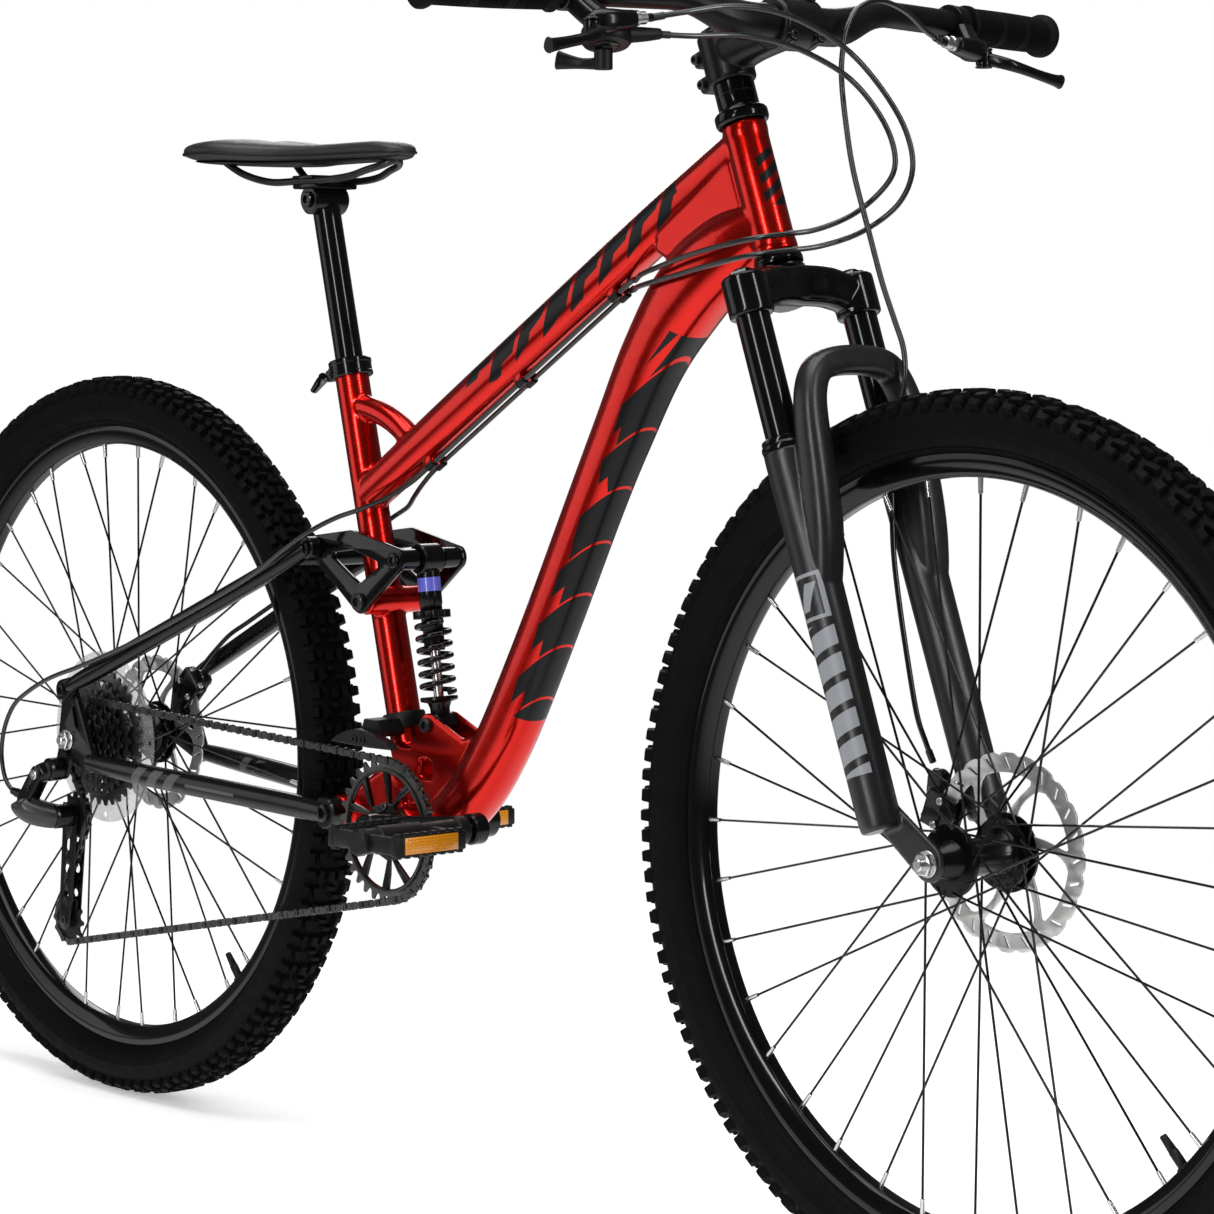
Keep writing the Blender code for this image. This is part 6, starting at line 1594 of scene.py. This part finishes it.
make("fork_legs", "lowers", [CHARCOAL], leg_shapes, ["fork_lowers"],
     voxel=0.0015, passes=3)
make("fork_seals", "lowers", [GLOSS_BLACK], seal_shapes)

front_nuts = []
for side in (-1.0, 1.0):
    way = Vector((0, side, 0))
    front_nuts.append(looked(cross_rod(FRONT_AXLE, *sorted((side * 0.0558, side * 0.0576)), 0.0108, 40,
                                       0.0005), 0))
    front_nuts.append(looked(nut(at(*FRONT_AXLE, side * 0.0576), way, 0.0098, 0.0056), 0))
front_nuts.append(looked(cross_rod(FRONT_AXLE, -0.0680, 0.0680, 0.0048, 24, 0.0010), 0))
make("front_axle_nuts", "lowers", [STEEL], front_nuts, ["front_axle"])

# ---------------------------------------------------------------- cockpit
bar_ys = [-BAR_HALF + 0.710 * k / 96 for k in range(97)]


def bar_size(y):
    share = min(1.0, max(0.0, (abs(y) - 0.055) / 0.050))
    return 1.0 - 0.30 * share * share * (3.0 - 2.0 * share)


make("bar", "steerer", [SATIN_BLACK], [
    sweep([bar_point(y) for y in bar_ys], 0.0159, 40, [bar_size(y) for y in bar_ys])],
    ["handlebar"])

up_fork = (on_fork(0.0, -0.1) - on_fork(0.0, 0.0)).normalized()
ahead_fork = (on_fork(0.1, 0.0) - on_fork(0.0, 0.0)).normalized()
stem_shapes = [
    rod(on_fork(0.0, -0.1400), on_fork(0.0, -0.0940), 0.0207, sides=48, chamfer=0.0022),
    sweep(spline([on_fork(0.004, -0.1190), on_fork(0.030, -0.1175), on_fork(0.052, -0.1150),
                  on_fork(BAR_OFFSET - 0.006, BAR_HEIGHT)], 5), 0.0178, 40,
          spline([1.05, 0.95, 0.92, 1.0], 5), 1.0, 2.6, 0.0),
    rod(on_fork(BAR_OFFSET, BAR_HEIGHT, -0.0230), on_fork(BAR_OFFSET, BAR_HEIGHT, 0.0230), 0.0216,
        sides=48, chamfer=0.0022),
    box(on_fork(-0.0225, -0.1255), (0.016, 0.0200, 0.0140), math.radians(-20.0), 0.003),
    box(on_fork(-0.0225, -0.1030), (0.016, 0.0200, 0.0140), math.radians(-20.0), 0.003),
]
make("stem_body", "steerer", [SATIN_BLACK], stem_shapes, ["stem"],
     voxel=0.0012, passes=4)
plate_middle = on_fork(BAR_OFFSET, BAR_HEIGHT)
stem_bolts = []
for across_share in (-1.0, 1.0):
    for level in (-1.0, 1.0):
        seat = (plate_middle + ahead_fork * 0.0130 + up_fork * (level * 0.0170)
                + left_way * (across_share * 0.0155))
        stem_bolts.append(looked(rod(seat - ahead_fork * 0.016, seat + ahead_fork * 0.0030, 0.0052,
                                     sides=24, chamfer=0.0008), 0))
        stem_bolts.append(looked(bolt(seat + ahead_fork * 0.0030, ahead_fork, 0.0040, 0.0026), 1))
    for s in (-0.1255, -0.1030):
        stem_bolts.append(looked(bolt(on_fork(-0.0245, s, across_share * 0.0100),
                                      left_way * across_share, 0.0044, 0.0034), 1))
cap = axis(on_fork(0.0, -0.1398), on_fork(0.0, -0.1450))
stem_bolts.append(looked(turned([(0.0, 0.0), (0.0172, 0.0), (0.0172, 0.0022), (0.0150, 0.0038),
                                 (0.0052, 0.0042), (0.0046, 0.0016), (0.0, 0.0016)], cap, 48), 0))
make("stem_fittings", "steerer", [ALLOY_BLACK, DARK_STEEL], stem_bolts)

GRIP_START = 0.236


def grip_shapes(side):
    """Rubber sleeve with fine ribs, two plain bands and an end flange."""
    inner = bar_point(side * GRIP_START)
    outer = bar_point(side * (BAR_HALF + 0.003))
    length = (outer - inner).length
    profile = [(0.0, 0.0), (0.0165, 0.0), (0.0172, 0.0010), (0.0172, 0.0034), (0.0160, 0.0044)]
    ribs = 42
    first, last = 0.0080, length - 0.0110
    for k in range(ribs):
        h = first + (last - first) * k / ribs
        pitch = (last - first) / ribs
        swell = 0.0154 + 0.0006 * math.sin(math.pi * k / ribs)
        plain = 13 <= k <= 15 or 27 <= k <= 29
        low = swell if plain else swell - 0.0011
        profile += [(low, h), (low, h + pitch * 0.35), (swell, h + pitch * 0.45),
                    (swell, h + pitch * 0.90)]
    profile += [(0.0154, length - 0.0100), (0.0178, length - 0.0080), (0.0190, length - 0.0050),
                (0.0190, length - 0.0014), (0.0180, length), (0.0, length)]
    shapes = [looked(turned(profile, axis(inner, outer), 48), 0)]
    shapes.append(looked(rod(outer - (outer - inner).normalized() * 0.0008,
                             outer + (outer - inner).normalized() * 0.0012, 0.0110, sides=32), 1))
    return shapes


make("grip_sleeve_right", "steerer", [GRIP, PLASTIC], grip_shapes(-1.0),
     ["grip_right"], sharp=30.0)
make("grip_sleeve_left", "steerer", [GRIP, PLASTIC], grip_shapes(1.0),
     ["grip_left"], sharp=30.0)


def mount_shapes(side):
    """Clamp band, lever housing, its pivot ears and the silver cable adjuster."""
    inner = bar_point(side * 0.2130)
    outer = bar_point(side * 0.2290)
    along_bar = (outer - inner).normalized()
    housing = [bar_frame(side, 0.1850, 0.030, 0.022), bar_frame(side, 0.1960, 0.0310, 0.0235),
               bar_frame(side, 0.2080, 0.031, 0.0245), bar_frame(side, 0.2160, 0.0285, 0.0250),
               bar_frame(side, 0.2230, 0.0270, 0.0270)]
    pivot = bar_frame(side, 0.2250, 0.0330, 0.0310)
    up = Vector((0.0, 0.0, 1.0))
    barrel_start = bar_frame(side, 0.1870, 0.0300, 0.0220)
    barrel_end = bar_frame(side, 0.1670, 0.0290, 0.0205)
    barrel_way = (barrel_end - barrel_start).normalized()
    return [
        looked(rod(inner, outer, 0.0156, sides=40, chamfer=0.0012), 0),
        looked(sweep(spline([bar_frame(side, 0.2210, 0.010, 0.008), bar_frame(side, 0.2170, 0.019, 0.017),
                             bar_frame(side, 0.2130, 0.027, 0.024)], 4), 0.0102, 28, None, 0.9, 2.8), 0),
        looked(sweep(spline(housing, 5), 0.0106, 28, spline([0.80, 0.95, 1.12, 1.15, 0.90], 5), 0.8,
                     2.8), 0),
        looked(rod(pivot + up * 0.0064, pivot + up * 0.0084, 0.0074, sides=28, chamfer=0.0006), 0),
        looked(rod(pivot - up * 0.0084, pivot - up * 0.0064, 0.0074, sides=28, chamfer=0.0006), 0),
        looked(bolt(pivot + up * 0.0084, up, 0.0042, 0.0020), 1),
        looked(bolt(inner.lerp(outer, 0.5) + Vector((-0.0150, 0.0, 0.004)), Vector((-1, 0, 0)),
                    0.0038, 0.0026), 1),
        looked(rod(barrel_start, barrel_start + barrel_way * 0.0075, 0.0064, sides=12,
                   chamfer=0.0006), 2),
        looked(rod(barrel_start + barrel_way * 0.0070, barrel_start + barrel_way * 0.0150, 0.0052,
                   sides=24, chamfer=0.0006), 2),
        looked(rod(barrel_start + barrel_way * 0.0145, barrel_end + barrel_way * 0.0020, 0.0034,
                   sides=20, chamfer=0.0005), 0),
        looked(rod(bar_point(side * 0.2136) - along_bar * 0.0006, inner + along_bar * 0.0030, 0.0160,
                   sides=40, chamfer=0.0006), 0),
    ]


make("lever_clamp_left", "steerer", [ALLOY_BLACK, DARK_STEEL, STEEL],
     mount_shapes(1.0), ["brake_mount_left"])
pod_top = bar_frame(-1.0, 0.1950, 0.012, 0.0270)
pod_foot = bar_frame(-1.0, 0.1980, 0.016, 0.0425)
pod_way = (pod_foot - pod_top).normalized()
pod_length = (pod_foot - pod_top).length
pod_shapes = mount_shapes(-1.0) + [
    looked(turned([(0.0, 0.0), (0.0120, 0.0), (0.0170, 0.0012), (0.0196, 0.0040), (0.0201, 0.0080),
                   (0.0198, pod_length - 0.0030), (0.0180, pod_length - 0.0006),
                   (0.0130, pod_length), (0.0, pod_length)], axis(pod_top, pod_foot), 56), 3),
    looked(turned([(0.0, 0.0), (0.0105, 0.0), (0.0105, 0.0010), (0.0090, 0.0016), (0.0, 0.0016)],
                  axis(pod_foot - pod_way * 0.0002, pod_foot + pod_way), 40), 0),
    looked(bolt(pod_foot + pod_way * 0.0012, pod_way, 0.0036, 0.0012), 1),
    looked(sweep([bar_frame(-1.0, 0.2120, 0.022, 0.026), bar_frame(-1.0, 0.2000, 0.014, 0.034)],
                 0.0082, 24), 0),
    looked(sweep(spline([bar_frame(-1.0, 0.1560, 0.0272, 0.0326), bar_frame(-1.0, 0.1700, 0.0245, 0.0334),
                         bar_frame(-1.0, 0.1900, 0.0200, 0.0340)], 5), 0.0058, 24,
                 spline([0.75, 1.0, 1.25], 5)), 3),
    looked(box(bar_frame(-1.0, 0.1830, 0.0060, 0.0300), (0.0200, 0.0160, 0.0070),
               Matrix.Rotation(0.12, 4, "Z"), 0.0020), 3),
]
make("lever_clamp_and_shifter", "steerer",
     [ALLOY_BLACK, DARK_STEEL, STEEL, PLASTIC], pod_shapes, ["control_right"])


def lever_shapes(side):
    """Two-finger lever blade with a hooked ball end."""
    line = [bar_frame(side, 0.2250, 0.0330, 0.0310), bar_frame(side, 0.2330, 0.0520, 0.0360),
            bar_frame(side, 0.2480, 0.0600, 0.0400), bar_frame(side, 0.2680, 0.0640, 0.0440),
            bar_frame(side, 0.2860, 0.0675, 0.0472), bar_frame(side, 0.2935, 0.0690, 0.0482)]
    pivot = line[0]
    up = Vector((0.0, 0.0, 1.0))
    return [
        sweep(spline(line, 6), 0.0050, 24, spline([1.15, 1.05, 0.92, 0.88, 1.0, 1.25], 6), 0.85,
              2.5),
        rod(pivot - up * 0.0060, pivot + up * 0.0060, 0.0070, sides=28, chamfer=0.0006),
    ]


make("lever_blade_left", "lever_left", [ALLOY_BLACK], lever_shapes(1.0),
     ["brake_lever_left"])
make("lever_blade_right", "lever_right", [ALLOY_BLACK], lever_shapes(-1.0),
     ["brake_lever_right"])
shift_pivot = bar_frame(-1.0, 0.1960, 0.010, 0.0560)
make("shift_paddle", "shifter", [PLASTIC], [
    sweep(spline([shift_pivot, shift_pivot + Vector((-0.020, -0.006, 0.001)),
                  shift_pivot + Vector((-0.036, -0.016, 0.004))], 6), 0.0052, 24,
          spline([1.0, 0.85, 1.45], 6), 1.0, 2.8),
    rod(shift_pivot + Vector((0, 0, 0.0112)), shift_pivot - Vector((0, 0, 0.0048)), 0.0074, sides=28,
        chamfer=0.0008),
], ["shift_lever"])


# ---------------------------------------------------------------- cables
def in_lane(x, side):
    lane_x, lane_z = top_tube_point(x, CABLE_DROP)
    return (lane_x, side * 0.0055, lane_z)


front_brake_route = [
    (0.9735, 0.1660, 1.0248), (0.9810, 0.140, 1.031), (0.9860, 0.110, 1.045),
    (0.9870, 0.080, 1.052), (0.9870, 0.055, 1.046), (0.9870, 0.040, 1.030),
    (0.9880, 0.033, 1.008), (0.9900, 0.030, 0.985), (0.9960, 0.029, 0.950),
    (1.0050, 0.029, 0.910), (1.0220, 0.030, 0.860), (1.0330, 0.034, 0.820),
    (1.0430, 0.038, 0.790), (1.0510, 0.040, 0.768), (1.0535, 0.040, 0.748),
    (1.0510, 0.040, 0.728), (1.0455, 0.040, 0.708), (1.0400, 0.040, 0.680),
    (1.0400, 0.040, 0.640), (1.0420, 0.040, 0.600), (1.0485, 0.040, 0.560),
    (1.0580, 0.040, 0.515), (1.0680, 0.041, 0.470), (1.0745, 0.0450, 0.447),
    (1.0780, 0.0500, 0.4310),
]
rear_brake_route = [
    (0.9735, -0.1660, 1.0248), (0.9840, -0.140, 1.030), (0.9950, -0.100, 1.036),
    (1.0030, -0.060, 1.034), (1.0060, -0.020, 1.024), (1.0100, 0.020, 1.005),
    (1.0200, 0.048, 0.975), (1.0320, 0.062, 0.943), (1.0360, 0.066, 0.912),
    (1.0240, 0.062, 0.884), (1.0000, 0.045, 0.862), (0.9850, 0.012, 0.850),
    (0.9740, -0.018, 0.8460), (0.9500, -0.036, 0.8420), (0.9050, -0.041, 0.8340),
    (0.8650, -0.038, 0.8270), (0.8300, -0.034, 0.8215), (0.8000, -0.022, 0.8180),
    (0.7780, -0.004, 0.8165), (0.7640, 0.0045, 0.8155), in_lane(0.7480, 1.0), in_lane(0.6800, 1.0),
    in_lane(0.6200, 1.0), in_lane(0.5500, 1.0), in_lane(0.4880, 1.0),
    (0.4780, 0.007, 0.6420), (0.4550, 0.014, 0.6280), (0.4340, 0.024, 0.6180),
    (0.4120, 0.034, 0.6120), (0.3880, 0.042, 0.6050), (0.3620, 0.045, 0.5935),
    (0.3300, 0.044, 0.5770), (0.2860, 0.046, 0.5570), (0.2300, 0.051, 0.5320),
    (0.1760, 0.056, 0.5085), (0.1300, 0.059, 0.4880), (0.0980, 0.0605, 0.4735),
    (0.0720, 0.0590, 0.4540), (0.0560, 0.0568, 0.4390), (0.0465, 0.0552, 0.4285),
]
shift_route = [
    (0.9725, -0.1590, 1.0124), (0.9830, -0.130, 1.012), (0.9940, -0.090, 1.014),
    (1.0000, -0.050, 1.010), (1.0030, -0.012, 1.000), (1.0080, 0.022, 0.984),
    (1.0160, 0.044, 0.960), (1.0240, 0.054, 0.935), (1.0260, 0.055, 0.912),
    (1.0140, 0.050, 0.893), (0.9960, 0.036, 0.875), (0.9820, 0.008, 0.863),
    (0.9700, -0.020, 0.859), (0.9460, -0.035, 0.855), (0.9000, -0.039, 0.847),
    (0.8650, -0.0370, 0.8400), (0.8350, -0.033, 0.8335), (0.8050, -0.022, 0.8285),
    (0.7850, -0.010, 0.8240), in_lane(0.7580, -1.0), in_lane(0.6800, -1.0),
    in_lane(0.6200, -1.0), in_lane(0.5500, -1.0), in_lane(0.4880, -1.0),
    (0.4780, -0.009, 0.6420), (0.4550, -0.018, 0.6280), (0.4320, -0.030, 0.6170),
    (0.4100, -0.044, 0.6080), (0.3850, -0.056, 0.5945), (0.3550, -0.0625, 0.5770),
    (0.3060, -0.0655, 0.5500), (0.2300, -0.0720, 0.5160), (0.1550, -0.0790, 0.4850),
    (0.0900, -0.0850, 0.4610), (0.0400, -0.0880, 0.4450), (0.0100, -0.0870, 0.4370),
    (-0.0140, -0.0875, 0.4290), (-0.0440, -0.0880, 0.4160), (-0.0700, -0.0890, 0.4000),
    (-0.0880, -0.0890, 0.3760), (-0.0950, -0.0890, 0.3490), (-0.0910, -0.0880, 0.3240),
    (-0.0800, -0.0860, 0.3110), (-0.0610, -0.0840, 0.3060),
]


def through(route):
    return spline([at(x, z, y) for x, y, z in route], 6)


def ferrule(points):
    """Metal end cap over the first few millimetres of a housing."""
    way = (points[3] - points[0]).normalized()
    return looked(rod(points[0], points[0] + way * 0.0110, 0.0030, sides=20), 1)


def cable(name, body, points, caps=(), stands_for=()):
    """Housing along a smooth line, with metal caps at the ends that are free."""
    make(name, body, [HOUSING, DARK_STEEL],
         [looked(sweep(points, CABLE_RADIUS, 16), 0), *caps], stands_for)


def split_at(points, x):
    """The line in two at a side-view x, with the cut point in both."""
    place = at(x, 0.0).x
    cut = min(range(len(points)), key=lambda k: abs(points[k].x - place))
    return points[:cut + 1], points[cut:]


def upright(first, second):
    return at(1.0, first), at(1.0, second)


def level(first, second):
    return at(first, 0.6), at(second, 0.6)


line = through(front_brake_route)
cable("front_brake_housing", ("steerer", "lowers", *upright(0.900, 0.620)), line,
      [ferrule(line), ferrule(line[::-1])], ["front_brake_cable"])
line = through(rear_brake_route)
front, back = split_at(line, 0.4880)
middle, back = split_at(back, 0.3620)
cable("rear_brake_housing", ("steerer", "frame", *upright(1.015, 0.835)), front,
      [ferrule(line)], ["rear_brake_cable"])
cable("rear_brake_housing_bend", ("frame", "rocker_link", *level(0.478, 0.3233)), middle)
cable("rear_brake_housing_back", "stays", back, [ferrule(line[::-1])])
line = through(shift_route)
front, back = split_at(line, 0.4880)
middle, back = split_at(back, 0.3700)
cable("shift_housing", ("steerer", "frame", *upright(1.005, 0.845)), front, [ferrule(line)],
      ["shift_cable"])
cable("shift_housing_bend", ("frame", "rocker_link", *level(0.478, 0.3485)), middle)
cable("shift_housing_back", ("stays", "swingarm", *level(0.060, -0.040)), back,
      [ferrule(line[::-1])])

# ---------------------------------------------------------------- stage
floor_mesh = bpy.data.meshes.new("floor")
floor_shape = bmesh.new()
bmesh.ops.create_circle(floor_shape, cap_ends=True, segments=96, radius=2.4)
floor_shape.to_mesh(floor_mesh)
floor_shape.free()
floor = bpy.data.objects.new("floor", floor_mesh)
floor.location = (0.0, 0.0, -0.0005)
bpy.context.scene.collection.objects.link(floor)
pale = bpy.data.materials.new("pale_floor")
pale.use_nodes = True
tree = pale.node_tree
shader = tree.nodes["Principled BSDF"]
coords = tree.nodes.new("ShaderNodeTexCoord").outputs["Object"]
x = along(tree, coords, (0, 0, 0), (1, 0, 0))
y = along(tree, coords, (0, 0, 0), (0, 1, 0))
reach = maths(tree, "SQRT", maths(tree, "ADD", maths(tree, "MULTIPLY", x, x),
                                  maths(tree, "MULTIPLY", y, y)))
fade = ranged(tree, reach, 1.0, 0.0, 0.7, 2.3)
smooth = maths(tree, "MULTIPLY", maths(tree, "MULTIPLY", fade, fade), maths(
    tree, "SUBTRACT", 3.0, maths(tree, "MULTIPLY", fade, 2.0)))
tree.links.new(smooth, shader.inputs["Alpha"])
shader.inputs["Emission Color"].default_value = (1.0, 1.0, 1.0, 1.0)
shader.inputs["Emission Strength"].default_value = 0.36
tree.links.new(mixed(tree, noise(tree, coords, 3.0), (0.90, 0.90, 0.90, 1.0),
                     (0.93, 0.93, 0.93, 1.0)), shader.inputs["Base Color"])
shader.inputs["Roughness"].default_value = 0.65
shader.inputs["Specular IOR Level"].default_value = 0.2
floor_mesh.materials.append(pale)

world = bpy.data.worlds.new("studio")
bpy.context.scene.world = world
world.use_nodes = True
sky = world.node_tree
for old in list(sky.nodes):
    sky.nodes.remove(old)
output = sky.nodes.new("ShaderNodeOutputWorld")
seen = sky.nodes.new("ShaderNodeBackground")
seen.inputs["Color"].default_value = (1.0, 1.0, 1.0, 1.0)
seen.inputs["Strength"].default_value = 1.0
ambient = sky.nodes.new("ShaderNodeBackground")
ambient.inputs["Color"].default_value = (1.0, 1.0, 1.0, 1.0)
ambient.inputs["Strength"].default_value = 0.10
path = sky.nodes.new("ShaderNodeLightPath")
choose = sky.nodes.new("ShaderNodeMixShader")
sky.links.new(path.outputs["Is Camera Ray"], choose.inputs[0])
sky.links.new(ambient.outputs[0], choose.inputs[1])
sky.links.new(seen.outputs[0], choose.inputs[2])
sky.links.new(choose.outputs[0], output.inputs["Surface"])


def softbox(name, place, aim, width, height, power):
    """Rectangular studio light pointed at a target."""
    data = bpy.data.lights.new(name, "AREA")
    data.shape = "RECTANGLE"
    data.size = width
    data.size_y = height
    data.energy = power
    lamp = bpy.data.objects.new(name, data)
    lamp.location = place
    lamp.rotation_euler = (Vector(aim) - Vector(place)).to_track_quat("-Z", "Y").to_euler()
    bpy.context.scene.collection.objects.link(lamp)


softbox("top", (0.2, -0.4, 3.4), (0.0, 0.0, 0.3), 3.4, 2.6, 110.0)
softbox("key_strip", (1.1, -3.3, 1.7), (0.2, 0.0, 0.6), 0.45, 2.8, 62.0)
softbox("front_strip", (3.4, 0.5, 1.6), (0.4, 0.0, 0.6), 0.45, 2.6, 55.0)
softbox("back_fill", (-2.6, 2.4, 2.2), (0.0, 0.0, 0.5), 1.6, 1.6, 30.0)
softbox("side_panel", (-2.7, -2.6, 1.2), (0.1, 0.0, 0.6), 2.0, 2.2, 17.0)

# ---------------------------------------------------------------- camera
lens = bpy.data.cameras.new("camera")
lens.sensor_width = 36.0
lens.sensor_height = 36.0
lens.lens = 106.3
camera = bpy.data.objects.new("camera", lens)
camera.location = (2.4647, -2.0877, 0.7764)
forward = Vector((-0.7401, 0.6683, -0.0753))
camera.rotation_euler = forward.to_track_quat("-Z", "Y").to_euler()
bpy.context.scene.collection.objects.link(camera)
bpy.context.scene.camera = camera
bpy.context.scene.view_settings.view_transform = "Standard"
